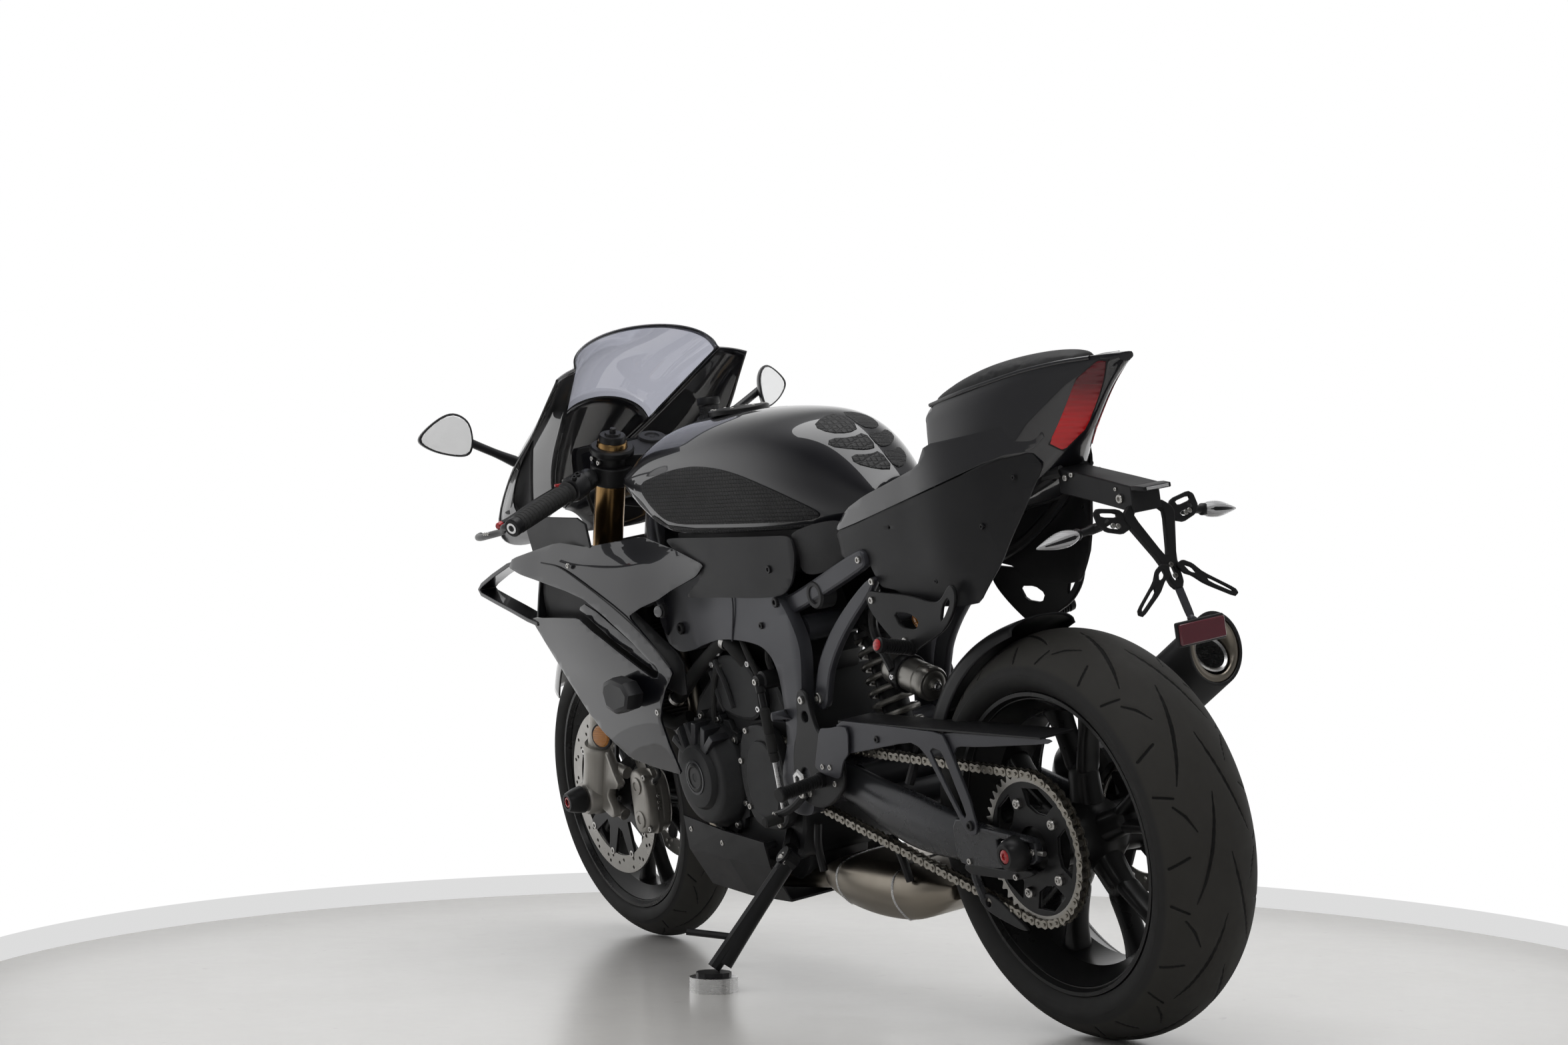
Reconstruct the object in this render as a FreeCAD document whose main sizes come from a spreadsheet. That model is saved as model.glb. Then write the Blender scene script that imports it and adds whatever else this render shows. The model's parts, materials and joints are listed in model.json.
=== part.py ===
import FreeCAD, Part
import math
import os

import Sketcher
from FreeCAD import Placement, Rotation, Vector

# Sport motorcycle, leaning on its side stand with a puck under the foot.
# All shapes are drawn upright: X forward, Y left, Z up, rear axle above x = 0.
# Every piece then gets the same placement, which leans the motorcycle to its left
# and puts the middle of its footprint at the origin, on the floor.

doc = FreeCAD.newDocument("SportMotorcycle")
sheet = doc.addObject("Spreadsheet::Sheet", "Sizes")

# Driving sizes in millimetres and degrees: alias, value, meaning.
DRIVING_SIZES = [
    ("swingarm_length", 605, "swingarm pivot ahead of the rear axle"),
    ("front_length", 815, "front axle ahead of the swingarm pivot"),
    ("pivot_height", 398, "swingarm pivot above the ground"),
    ("lean_angle", 9.8, "lean to the left when parked"),
    ("rake_angle", 22.4, "steering axis from the vertical"),
    ("trail", 94, "contact patch behind the steering axis on the ground"),
    ("running_gap", 0.3, "clearance of an axle or a stem in its bore"),
    ("panel_gap", 0.4, "clearance of a panel from what carries it"),
    ("rear_tyre_radius", 315, "rear tyre, outside"),
    ("rear_tyre_half", 90, "rear tyre, half width"),
    ("front_tyre_radius", 300, "front tyre, outside"),
    ("front_tyre_half", 60, "front tyre, half width"),
    ("bead_radius", 218, "bead seat of both rims"),
    ("flange_height", 14, "rim flange above the bead seat"),
    ("flange_thick", 7, "rim flange"),
    ("rim_wall", 9, "rim barrel wall"),
    ("rear_rim_half", 78, "rear rim, half width over the flanges"),
    ("front_rim_half", 52, "front rim, half width over the flanges"),
    ("hub_radius", 38, "wheel hub"),
    ("rear_hub_half", 82, "rear hub, half length"),
    ("front_hub_half", 58, "front hub, half length"),
    ("spoke_width", 26, "spoke stem across"),
    ("spoke_thick", 34, "spoke along the axle"),
    ("rear_axle_radius", 14, "rear axle"),
    ("front_axle_radius", 12.5, "front axle"),
    ("front_axle_bore", 8, "bore radius of the hollow front axle"),
    ("spool_radius", 19, "slider block at each end of the rear axle"),
    ("spool_length", 34, "slider block, along the axle"),
    ("front_disc_radius", 160, "front brake disc"),
    ("front_disc_inner", 126, "front brake disc, inside of the swept ring"),
    ("front_disc_place", 66, "middle of a front disc from the wheel middle"),
    ("rear_disc_radius", 110, "rear brake disc"),
    ("rear_disc_inner", 82, "rear brake disc, inside of the swept ring"),
    ("rear_disc_place", 90, "middle of the rear disc from the wheel middle"),
    ("disc_thick", 5, "brake disc"),
    ("carrier_bore", 22, "bore radius of a disc carrier"),
    ("chain_line", 107, "middle of the chain from the wheel middle"),
    ("chain_half", 11, "chain, half width over its plates"),
    ("chain_pitch", 15.875, "chain pin to chain pin"),
    ("chain_height", 15, "height of a chain plate"),
    ("sprocket_teeth", 45, "rear sprocket"),
    ("drive_teeth", 16, "front sprocket"),
    ("sprocket_thick", 7, "rear sprocket"),
    ("drive_ahead", 95, "front sprocket ahead of the swingarm pivot"),
    ("drive_height", 405, "front sprocket above the ground"),
    ("swingarm_inner", 97, "inside face of a swingarm leg between the chain runs"),
    ("swingarm_end_inner", 121, "inside face of a swingarm leg at the axle"),
    ("swingarm_outer", 138, "outside face of a swingarm leg at the axle"),
    ("pivot_radius", 14.7, "swingarm pivot shaft"),
    ("fork_spread", 105, "fork leg from the middle plane"),
    ("fork_upper_radius", 28, "fork outer tube"),
    ("fork_inner_radius", 21.5, "fork sliding tube"),
    ("fork_overlap", 55, "length of sliding tube that shows inside the outer tube"),
    ("fork_bottom", 265, "lower end of the outer tube, up the leg from the axle"),
    ("fork_top", 735, "upper end of the outer tube, up the leg from the axle"),
    ("lower_yoke", 500, "lower yoke, up the leg from the axle"),
    ("upper_yoke", 700, "upper yoke, up the leg from the axle"),
    ("yoke_thick", 26, "upper yoke"),
    ("stem_radius", 15, "steering stem"),
    ("head_tube_radius", 34, "steering head of the frame"),
    ("engine_half", 104, "crankcase, half width"),
    ("frame_inner", 121, "inside face of the frame at the swingarm"),
    ("spar_inner", 110, "inside face of a frame spar above the engine"),
    ("frame_outer", 140, "outside face of the frame"),
    ("tank_half", 163, "fuel tank, greatest half width"),
    ("tank_top", 1010, "top of the fuel tank"),
    ("tank_floor", 806, "lower edge of the fuel tank"),
    ("cap_radius", 42, "fuel cap"),
    ("cap_thick", 10, "fuel cap"),
    ("panel_wall", 4, "fairing panel"),
    ("screen_wall", 3, "windscreen"),
    ("bar_end_half", 352, "handlebar end from the middle plane"),
    ("grip_radius", 17, "handlebar grip"),
    ("bar_radius", 11, "handlebar tube"),
    ("mirror_half", 405, "mirror, outer end from the middle plane"),
    ("silencer_radius", 54, "silencer"),
    ("pipe_radius", 19, "exhaust header pipe"),
    ("puck_radius", 41, "side stand puck"),
    ("puck_height", 25, "side stand puck"),
    ("stand_pin_radius", 7, "side stand pivot pin"),
    ("plate_bolt_spread", 84, "between the two number plate bolts"),
    ("plate_bolt_radius", 3, "number plate bolt hole"),
]
for row, (alias, value, meaning) in enumerate(DRIVING_SIZES, start=1):
    sheet.set("A%d" % row, alias)
    sheet.set("B%d" % row, str(value))
    sheet.set("C%d" % row, meaning)
    sheet.setAlias("B%d" % row, alias)
doc.recompute()


class Formula:
    """A number together with the sheet formula that gives it."""

    def __init__(self, value, text):
        self.value = float(value)
        self.text = text

    def __float__(self):
        return self.value

    def joined(self, sign, other, value):
        text = other.text if isinstance(other, Formula) else repr(float(other))
        return Formula(value, "(%s %s %s)" % (self.text, sign, text))

    def __add__(self, other):
        return self.joined("+", other, self.value + float(other))

    def __sub__(self, other):
        return self.joined("-", other, self.value - float(other))

    def __mul__(self, other):
        return self.joined("*", other, self.value * float(other))

    def __truediv__(self, other):
        return self.joined("/", other, self.value / float(other))

    def __neg__(self):
        return Formula(-self.value, "(0 - %s)" % self.text)


class Sizes:
    """The driving sizes: plain numbers in one set, sheet formulas in the other."""


size = Sizes()
cell = Sizes()
for alias, value, meaning in DRIVING_SIZES:
    number = float(sheet.get(alias))
    setattr(size, alias, number)
    setattr(cell, alias, Formula(number, "Sizes." + alias))

RAKE = math.radians(size.rake_angle)
LEAN = math.radians(size.lean_angle)
STEER_AXIS = Vector(-math.sin(RAKE), 0, math.cos(RAKE))
FORK_AHEAD = Vector(math.cos(RAKE), 0, math.sin(RAKE))
SIDE = Vector(0, 1, 0)
REAR_AXLE = Vector(0, 0, size.rear_tyre_radius)
PIVOT = Vector(size.swingarm_length, 0, size.pivot_height)
FRONT_AXLE = Vector(size.swingarm_length + size.front_length, 0, size.front_tyre_radius)
DRIVE_SHAFT = Vector(PIVOT.x + size.drive_ahead, 0, size.drive_height)
STEM_OFFSET = math.cos(RAKE) * size.trail - math.sin(RAKE) * size.front_tyre_radius
SPROCKET_RADIUS = size.chain_pitch / (2 * math.sin(math.pi / size.sprocket_teeth))
DRIVE_RADIUS = size.chain_pitch / (2 * math.sin(math.pi / size.drive_teeth))
# The chassis outlines are drawn with the pivot this far ahead and follow it when it moves.
DRAWN_PIVOT = 605
CHASSIS_SHIFT = size.swingarm_length - DRAWN_PIVOT
PIECES = []


# Plain shapes
def box(x0, x1, y0, y1, z0, z1):
    return Part.makeBox(x1 - x0, y1 - y0, z1 - z0, Vector(x0, y0, z0))


def ring_of(centre, way, radius, sides):
    """Points evenly round a centre, square to a way."""
    first = way.cross(SIDE if abs(way.y) < 0.9 else Vector(1, 0, 0)).normalize()
    other = way.cross(first).normalize()
    turns = [2 * math.pi * k / sides for k in range(sides)]
    return [centre + first * (radius * math.cos(t)) + other * (radius * math.sin(t)) for t in turns]


def rod(start, end, radius, sides=12):
    ring = ring_of(start, (end - start).normalize(), radius, sides)
    return Part.Face(Part.makePolygon(ring + [ring[0]])).extrude(end - start)


def hole(start, end, radius):
    """Room for a round bar with its running gap."""
    return rod(start, end, (radius + size.running_gap) / math.cos(math.pi / 16), 16)


def side_wheel(centre, radius, y0, y1, sides=20):
    """A disc whose axis runs across the motorcycle."""
    return rod(Vector(centre.x, y0, centre.z), Vector(centre.x, y1, centre.z), radius, sides)


def taper(start, end, first, last, sides=16):
    """A bar whose radius changes evenly from one end to the other."""
    way = (end - start).normalize()
    return skin([ring_of(start, way, first, sides), ring_of(end, way, last, sides)])


def turned_ring(centre, profile, sides, first=0.0, last=360.0):
    """A form turned about an axle in flat steps; corners are radius and place along the axle."""
    closed = last - first > 359.9
    sections = []
    for k in range(sides if closed else sides + 1):
        turn = math.radians(first + (last - first) * k / sides)
        out = Vector(math.cos(turn), 0, math.sin(turn))
        sections.append([centre + out * float(r) + SIDE * float(y) for r, y in profile])
    if not closed:
        return skin(sections)
    triangles = []
    for k, section in enumerate(sections):
        triangles += between(section, sections[(k + 1) % sides], True)
    return solid_from(triangles)


def plate(points, y0, y1):
    """A side-view outline, given as x and z, made thick across the motorcycle."""
    corners = [Vector(x, y0, z) for x, z in points]
    face = Part.Face(Part.makePolygon(corners + [corners[0]]))
    return face.extrude(Vector(0, y1 - y0, 0))


def solid_from(triangles):
    """A closed solid of flat three-cornered faces."""
    faces = [Part.Face(Part.makePolygon([a, b, c, a])) for a, b, c in triangles
             if (b - a).cross(c - a).Length > 1e-6]
    solid = Part.Solid(Part.Shell(faces))
    if solid.Volume < 0:
        solid.reverse()
    return solid


def between(first, second, closed):
    """Flat faces that join two rows of points with as many points each."""
    found = []
    count = len(first)
    for k in range(count if closed else count - 1):
        n = (k + 1) % count
        found.append((first[k], second[k], second[n]))
        found.append((first[k], second[n], first[n]))
    return found


def skin(sections):
    """A solid body through closed sections, from the first to the last."""
    triangles = []
    for first, second in zip(sections, sections[1:]):
        triangles += between(first, second, True)
    for section, turned in ((sections[0], False), (sections[-1], True)):
        middle = sum(section, Vector()) / len(section)
        for k, corner in enumerate(section):
            after = section[(k + 1) % len(section)]
            triangles.append((middle, after, corner) if turned else (middle, corner, after))
    return solid_from(triangles)


def panel(rows, wall):
    """A thin sheet: a grid of points on its outer face, made thick along its own normals."""
    def at(r, k):
        return rows[min(max(r, 0), len(rows) - 1)][min(max(k, 0), len(rows[0]) - 1)]
    inner = []
    for r, row in enumerate(rows):
        line = []
        for k, point in enumerate(row):
            along = at(r + 1, k) - at(r - 1, k)
            over = at(r, k + 1) - at(r, k - 1)
            line.append(point - along.cross(over).normalize() * wall)
        inner.append(line)
    triangles = []
    for out_a, out_b, in_a, in_b in zip(rows, rows[1:], inner, inner[1:]):
        triangles += between(out_a, out_b, False)
        triangles += between(in_b, in_a, False)
        triangles += between([in_a[0], out_a[0]], [in_b[0], out_b[0]], False)
        triangles += between([out_a[-1], in_a[-1]], [out_b[-1], in_b[-1]], False)
    triangles += between(inner[0], rows[0], False)
    triangles += between(rows[-1], inner[-1], False)
    return solid_from(triangles)


def grid(text_rows):
    """Rows of points from rows of plain x, y, z numbers, moved with the chassis."""
    return [[Vector(x + CHASSIS_SHIFT, y, z) for x, y, z in row] for row in text_rows]


def bent_bar(points, radius, bend, sides=8):
    """A bar of flat-sided section along straight runs joined by arcs of three steps."""
    stations = [points[0]]
    for before, corner, after in zip(points, points[1:], points[2:]):
        back = (before - corner).normalize()
        ahead = (after - corner).normalize()
        half = back.getAngle(ahead) / 2
        reach = min(bend / math.tan(half), 0.45 * (before - corner).Length, 0.45 * (after - corner).Length)
        first = corner + back * reach
        last = corner + ahead * reach
        middle = (first + last) / 2 + (corner - (first + last) / 2) * 0.5
        stations += [first, middle, last]
    stations.append(points[-1])
    flow = (stations[1] - stations[0]).normalize()
    start = flow.cross(SIDE if abs(flow.y) < 0.9 else Vector(1, 0, 0)).normalize()
    sections = []
    for k, station in enumerate(stations):
        before = stations[max(k - 1, 0)]
        after = stations[min(k + 1, len(stations) - 1)]
        flow = (after - before).normalize()
        start = (start - flow * start.dot(flow)).normalize()
        other = flow.cross(start)
        ring = []
        for turn in range(sides):
            angle = 2 * math.pi * (turn + 0.5) / sides
            ring.append(station + (start * math.cos(angle) + other * math.sin(angle)) * radius)
        sections.append(ring)
    return skin(sections)


def mirrored(shape):
    return shape.mirror(Vector(0, 0, 0), SIDE)


def both_sides(shape):
    return shape.fuse(mirrored(shape))


def pair(left):
    """A left piece and its mirror image, as two solids that stay apart."""
    return Part.makeCompound([left, mirrored(left)])


def on_chassis(x, z, y=0.0):
    """A point of the chassis, drawn with the pivot at its standard place."""
    return Vector(x + CHASSIS_SHIFT, y, z)


def on_fork(height_along, side=0.0, ahead=0.0):
    """A point on a fork leg: distance up the leg from the axle, side and offset ahead."""
    return FRONT_AXLE + STEER_AXIS * height_along + SIDE * side + FORK_AHEAD * ahead


def on_stem(height_along, side=0.0, ahead=0.0):
    """A point on the steering axis, at the level of a place on the fork."""
    return on_fork(height_along, side, ahead + STEM_OFFSET)


# Document objects whose sizes are bound to the sheet
def bind(item, name, value):
    setattr(item, name, float(value))
    if isinstance(value, Formula):
        item.setExpression(name, value.text)


def plain(shape, name="form"):
    item = doc.addObject("Part::Feature", name)
    item.Shape = shape
    return item


def cylinder(start, way, radius, length):
    item = doc.addObject("Part::Cylinder", "round")
    bind(item, "Radius", radius)
    bind(item, "Height", length)
    item.Placement = Placement(start, Rotation(Vector(0, 0, 1), way))
    return item


def prism(start, way, radius, length, sides=14):
    """A bar with many flat sides."""
    item = doc.addObject("Part::Prism", "bar")
    item.Polygon = sides
    bind(item, "Circumradius", radius)
    bind(item, "Height", length)
    item.Placement = Placement(start, Rotation(Vector(0, 0, 1), way))
    return item


def across(centre, radius, half, sides=20):
    """A bar through the middle plane, as long on both sides."""
    item = prism(Vector(centre.x, -float(half), centre.z), SIDE, radius, half * 2, sides)
    if isinstance(half, Formula):
        item.setExpression("Placement.Base.y", (-half).text)
    return item


def side_disc(centre, radius, near, thick, sides):
    """A flat many-sided disc, from its inner face outwards to the left."""
    item = prism(Vector(centre.x, float(near), centre.z), SIDE, radius, thick, sides)
    if isinstance(near, Formula):
        item.setExpression("Placement.Base.y", near.text)
    return item


def joined(items):
    item = doc.addObject("Part::MultiFuse", "joined")
    item.Shapes = items
    return item


def cut(base, tool):
    item = doc.addObject("Part::Cut", "cut")
    item.Base = base
    item.Tool = tool
    return item


def grouped(items):
    item = doc.addObject("Part::Compound", "group")
    item.Links = items
    return item


def with_mirror(left):
    twin = doc.addObject("Part::Mirroring", "twin")
    twin.Source = left
    twin.Normal = SIDE
    return grouped([left, twin])


def body_at(origin):
    body = doc.addObject("PartDesign::Body", "body")
    body.Placement = Placement(origin, Rotation())
    return body


def own_plane(body, role):
    return next(part for part in body.Origin.OriginFeatures if part.Role == role)


def sketch_on(body, role, corners=(), circles=(), level=0.0):
    """A sketch of one closed outline and some circles on one of the body's own planes."""
    sketch = body.newObject("Sketcher::SketchObject", "sketch")
    sketch.AttachmentSupport = (own_plane(body, role), [""])
    sketch.MapMode = "FlatFace"
    sketch.AttachmentOffset = Placement(Vector(0, 0, float(level)), Rotation())
    if isinstance(level, Formula):
        sketch.setExpression("AttachmentOffset.Base.z", level.text)
    count = len(corners)
    spots = [Vector(float(x), float(y), 0) for x, y in corners]
    for k in range(count):
        sketch.addGeometry(Part.LineSegment(spots[k], spots[(k + 1) % count]), False)
    for k in range(count):
        sketch.addConstraint(Sketcher.Constraint("Coincident", k, 2, (k + 1) % count, 1))
    for k, corner in enumerate(corners):
        for kind, value in zip(("DistanceX", "DistanceY"), corner):
            if isinstance(value, Formula):
                number = sketch.addConstraint(Sketcher.Constraint(kind, -1, 1, k, 1, float(value)))
                sketch.setExpression("Constraints[%d]" % number, value.text)
    for x, y, radius in circles:
        ring = sketch.addGeometry(Part.Circle(Vector(float(x), float(y), 0), Vector(0, 0, 1), float(radius)), False)
        number = sketch.addConstraint(Sketcher.Constraint("Radius", ring, float(radius)))
        if isinstance(radius, Formula):
            sketch.setExpression("Constraints[%d]" % number, radius.text)
    return sketch


def spun(body, corners, angle=360.0):
    """A turned form about the body's Y axis: corners are radius and place along the axis."""
    turned = body.newObject("PartDesign::Revolution", "turned")
    turned.Profile = sketch_on(body, "XY_Plane", corners)
    turned.ReferenceAxis = (own_plane(body, "Y_Axis"), [""])
    turned.Angle = angle
    return turned


def pad(body, sketch, length, middle=True, to_left=True):
    form = body.newObject("PartDesign::Pad", "pad")
    form.Profile = sketch
    bind(form, "Length", length)
    form.Midplane = middle
    form.Reversed = to_left and not middle
    return form


def through(body, sketch):
    form = body.newObject("PartDesign::Pocket", "through")
    form.Profile = sketch
    form.Type = "ThroughAll"
    form.Midplane = True
    return form


def around(body, form, count):
    pattern = body.newObject("PartDesign::PolarPattern", "around")
    pattern.Originals = [form]
    pattern.Axis = (own_plane(body, "Y_Axis"), [""])
    pattern.Angle = 360
    pattern.Occurrences = int(count)
    body.Tip = pattern
    return pattern


def side_plate(corners, near, thick, holes=()):
    """A flat piece seen from the side, from its inner face outwards to the left."""
    body = body_at(Vector(CHASSIS_SHIFT, 0, 0))
    pad(body, sketch_on(body, "XZ_Plane", corners, holes, -near), thick, middle=False)
    return body


def piece(name, item):
    """Keep a finished form as a sub-part under its own name."""
    if isinstance(item, Part.Shape):
        item = plain(item, name)
    item.Label = name
    PIECES.append(item)
    return item


# Wheels
WHEEL_SIDES = 40


def tyre(centre, radius, half, rim_half, crown):
    seat_half = rim_half - size.flange_thick - size.panel_gap
    side = [(radius * f, half * g) for f, g in crown]
    side.append((size.bead_radius + size.flange_height + size.panel_gap, seat_half))
    side.append((size.bead_radius + size.running_gap + 0.4, seat_half))
    profile = side + [(r, -y) for r, y in reversed(side[1:])]
    return turned_ring(centre, profile, WHEEL_SIDES)


def rim(centre, half, hub_half, axle_radius):
    seat = size.bead_radius
    inside = float(half) - size.flange_thick
    inner = seat - size.rim_wall - 4
    side = [(seat + size.flange_height, inside), (seat + size.flange_height, float(half)),
            (seat - 2, float(half)), (inner, float(half) * 0.7)]
    profile = [(seat, inside)] + side + [(r, -y) for r, y in reversed(side)] + [(seat, -inside)]
    barrel = plain(turned_ring(centre, profile, WHEEL_SIDES))
    hub = across(centre, cell.hub_radius, hub_half, 16)
    body = body_at(centre)
    stem = size.spoke_width / 2
    fork = 0.46 * seat
    reach = inner + 3
    spread = 0.36
    tip_x, tip_z = reach * math.cos(spread), reach * math.sin(spread)
    limb = stem * 0.75
    half_outline = [(size.hub_radius - 8, stem), (fork, stem + 2), (tip_x - limb * 0.4, tip_z + limb),
                    (tip_x + limb * 0.4, tip_z - limb), (fork + 3.2 * stem, 0.4)]
    outline = half_outline + [(x, -z) for x, z in reversed(half_outline)]
    around(body, pad(body, sketch_on(body, "XZ_Plane", outline), cell.spoke_thick), 5)
    bore = across(centre, axle_radius + cell.running_gap, 200)
    return cut(joined([barrel, hub, body]), bore)


def brake_disc(centre, radius, inner, place, hub_face):
    """A swept ring on six arms, whose foot meets the hub face."""
    near = place - cell.disc_thick * 0.5
    swept = cut(side_disc(centre, radius, near, cell.disc_thick, 32),
                side_disc(centre, inner, near - 1, cell.disc_thick + 2, 32))
    body = body_at(centre)
    arm_outline = [(size.carrier_bore, -9), (float(inner) + 4, -5.5), (float(inner) + 4, 5.5),
                   (size.carrier_bore, 9)]
    around(body, pad(body, sketch_on(body, "XZ_Plane", arm_outline, level=-place), cell.disc_thick * 0.8), 6)
    foot = side_disc(centre, cell.hub_radius - 1, hub_face, place - hub_face + cell.disc_thick * 0.3, 20)
    return cut(joined([swept, body, foot]), across(centre, cell.carrier_bore, 200))


def sprocket():
    line = cell.chain_line
    near = line - cell.sprocket_thick * 0.5
    root = SPROCKET_RADIUS - 5
    blank = side_disc(REAR_AXLE, root, near, cell.sprocket_thick, 45)
    body = body_at(REAR_AXLE)
    top = SPROCKET_RADIUS + 4
    tooth_outline = [(root - 4, -5.5), (top, -1.6), (top, 1.6), (root - 4, 5.5)]
    tooth = pad(body, sketch_on(body, "XZ_Plane", tooth_outline, level=-line), cell.sprocket_thick)
    around(body, tooth, size.sprocket_teeth)
    foot = side_disc(REAR_AXLE, 54, cell.rear_hub_half, line - cell.rear_hub_half - cell.sprocket_thick * 0.3, 20)
    solid = joined([blank, body, foot])
    openings = [across(REAR_AXLE, 30, 200, 16)]
    for k in range(5):
        turn = 2 * math.pi * k / 5
        centre = REAR_AXLE + Vector(math.cos(turn), 0, math.sin(turn)) * 78
        openings.append(across(centre, 19, 200, 8))
    return cut(solid, joined(openings))


REAR_CROWN = [(1.0, 0.0), (0.978, 0.38), (0.93, 0.70), (0.86, 0.96), (0.775, 0.985)]
FRONT_CROWN = [(1.0, 0.0), (0.965, 0.50), (0.885, 0.93), (0.79, 1.0)]
piece("rear_tyre", tyre(REAR_AXLE, size.rear_tyre_radius, size.rear_tyre_half, size.rear_rim_half, REAR_CROWN))
piece("rear_rim", rim(REAR_AXLE, cell.rear_rim_half, cell.rear_hub_half, cell.rear_axle_radius))
piece("front_tyre", tyre(FRONT_AXLE, size.front_tyre_radius, size.front_tyre_half, size.front_rim_half,
                         FRONT_CROWN))
piece("front_rim", rim(FRONT_AXLE, cell.front_rim_half, cell.front_hub_half, cell.front_axle_radius))
rear_disc = brake_disc(REAR_AXLE, cell.rear_disc_radius, cell.rear_disc_inner, cell.rear_disc_place,
                       cell.rear_hub_half)
rear_disc_right = doc.addObject("Part::Mirroring", "right_side")
rear_disc_right.Source = rear_disc
rear_disc_right.Normal = SIDE
piece("rear_disc", rear_disc_right)
piece("rear_sprocket", sprocket())
piece("front_discs", with_mirror(brake_disc(FRONT_AXLE, cell.front_disc_radius, cell.front_disc_inner,
                                            cell.front_disc_place, cell.front_hub_half)))


# Fork and steering
def fork_tube():
    foot = on_fork(size.fork_bottom, size.fork_spread)
    length = cell.fork_top - cell.fork_bottom
    outer = prism(foot, STEER_AXIS, cell.fork_upper_radius, length, 18)
    cap = prism(on_fork(size.fork_top, size.fork_spread), STEER_AXIS, cell.fork_upper_radius - 4, 17)
    hollow = prism(foot, STEER_AXIS, cell.fork_inner_radius + 1, cell.fork_overlap + 5)
    return cut(joined([outer, cap]), hollow)


CALIPER_TURN = math.radians(160)
CALIPER_FACE = -28


def caliper_point(along, outwards, side):
    """A point of the left front caliper: along its length, outwards from the axle, and side."""
    reach = size.front_disc_radius - 8 + outwards
    out = Vector(math.cos(CALIPER_TURN), 0, math.sin(CALIPER_TURN))
    over = Vector(-math.sin(CALIPER_TURN), 0, math.cos(CALIPER_TURN))
    return FRONT_AXLE + out * reach + over * along + SIDE * side


def fork_leg():
    slider = prism(on_fork(60, size.fork_spread), STEER_AXIS, cell.fork_inner_radius,
                   cell.fork_bottom - 60 + cell.fork_overlap)
    casting = prism(on_fork(-28, size.fork_spread), STEER_AXIS, cell.fork_inner_radius + 6, 138, 16)
    lug = prism(FRONT_AXLE + SIDE * (size.fork_spread - 27), SIDE, 30, 54)
    near, far = size.fork_spread - 14, size.fork_spread + 5
    seat_near, seat_far = size.front_disc_place + 14, size.front_disc_place + 28
    face = CALIPER_FACE - size.running_gap
    arm = skin([[on_fork(h, y, -18) for h, y in ((20, near), (20, far), (112, far), (112, near))],
                [caliper_point(t, face, y) for t, y in ((30, seat_near), (30, seat_far), (-50, seat_far),
                                                        (-50, seat_near))]])
    bore = across(FRONT_AXLE, cell.front_axle_radius + cell.running_gap, 300)
    return cut(joined([slider, casting, lug, plain(arm)]), bore)


def front_axle():
    half = cell.fork_spread + 34
    bar = across(FRONT_AXLE, cell.front_axle_radius, half)
    ends = []
    for way in (1, -1):
        start = FRONT_AXLE + SIDE * way * (float(half) - 1)
        ends.append(plain(taper(start, start + SIDE * way * 34, 24, 18, 20)))
    bore = cylinder(Vector(FRONT_AXLE.x, -200, FRONT_AXLE.z), SIDE, cell.front_axle_bore, 400)
    return cut(joined([bar] + ends), bore)


def yoke(level, thick, stem_cover):
    """A clamp that joins both fork tubes and the stem at one level."""
    spread = size.fork_spread
    grip = size.fork_upper_radius + 12
    around_tube = [(spread - 30, -grip), (spread + 18, -grip), (spread + grip, -16), (spread + grip, 16),
                   (spread + 18, grip), (spread - 30, grip)]
    front = around_tube + [(0, grip - 8), (-spread + 30, grip)]
    left = [(y, a) for y, a in around_tube]
    right = [(-y, a) for y, a in reversed(around_tube)]
    outline = left + [(0, grip - 8)] + right + [(-30, STEM_OFFSET - stem_cover), (30, STEM_OFFSET - stem_cover)]
    corners = [on_fork(level, y, a) for y, a in outline]
    blank = Part.Face(Part.makePolygon(corners + [corners[0]])).extrude(STEER_AXIS * thick)
    for side in (-spread, spread):
        blank = blank.cut(hole(on_fork(level - 1, side), on_fork(level + thick + 1, side), size.fork_upper_radius))
    return blank


def triple_clamps():
    top = yoke(size.upper_yoke, size.yoke_thick, 30)
    bottom = yoke(size.lower_yoke, size.yoke_thick + 8, 30)
    stem = rod(on_stem(size.lower_yoke + 2), on_stem(size.upper_yoke + size.yoke_thick + 8), size.stem_radius)
    return top.fuse([bottom, stem])


def handlebar():
    level = size.upper_yoke - 40
    clamp = rod(on_fork(level, size.fork_spread), on_fork(level + 30, size.fork_spread),
                size.fork_upper_radius + 9)
    room = hole(on_fork(level - 1, size.fork_spread), on_fork(level + 31, size.fork_spread), size.fork_upper_radius)
    inner_end = on_fork(level + 15, size.fork_spread + size.fork_upper_radius + 3)
    outer_end = Vector(inner_end.x - 84, size.bar_end_half, inner_end.z - 62)
    way = (outer_end - inner_end).normalize()
    bar = rod(inner_end, outer_end, size.bar_radius)
    grip = rod(outer_end - way * 134, outer_end - way * 10, size.grip_radius)
    switch = bent_bar([outer_end - way * 188, outer_end - way * 137], size.grip_radius + 6, 1)
    root = outer_end - way * 160
    pivot = root + Vector(40, 0, 4)
    bracket = bent_bar([root, pivot], 9, 1, 6)
    lever = bent_bar([pivot - way * 6, pivot + way * 60 + Vector(8, 0, 0), outer_end + Vector(58, -8, -6)], 6, 30, 6)
    guard = bent_bar([outer_end + way * 4, outer_end + way * 8 + Vector(50, 2, -8),
                      outer_end + Vector(150, -2, -18), outer_end + Vector(200, -22, -18)], 7, 40, 6)
    return clamp.fuse([bar, grip, switch, bracket, lever, guard]).cut(room)


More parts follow.
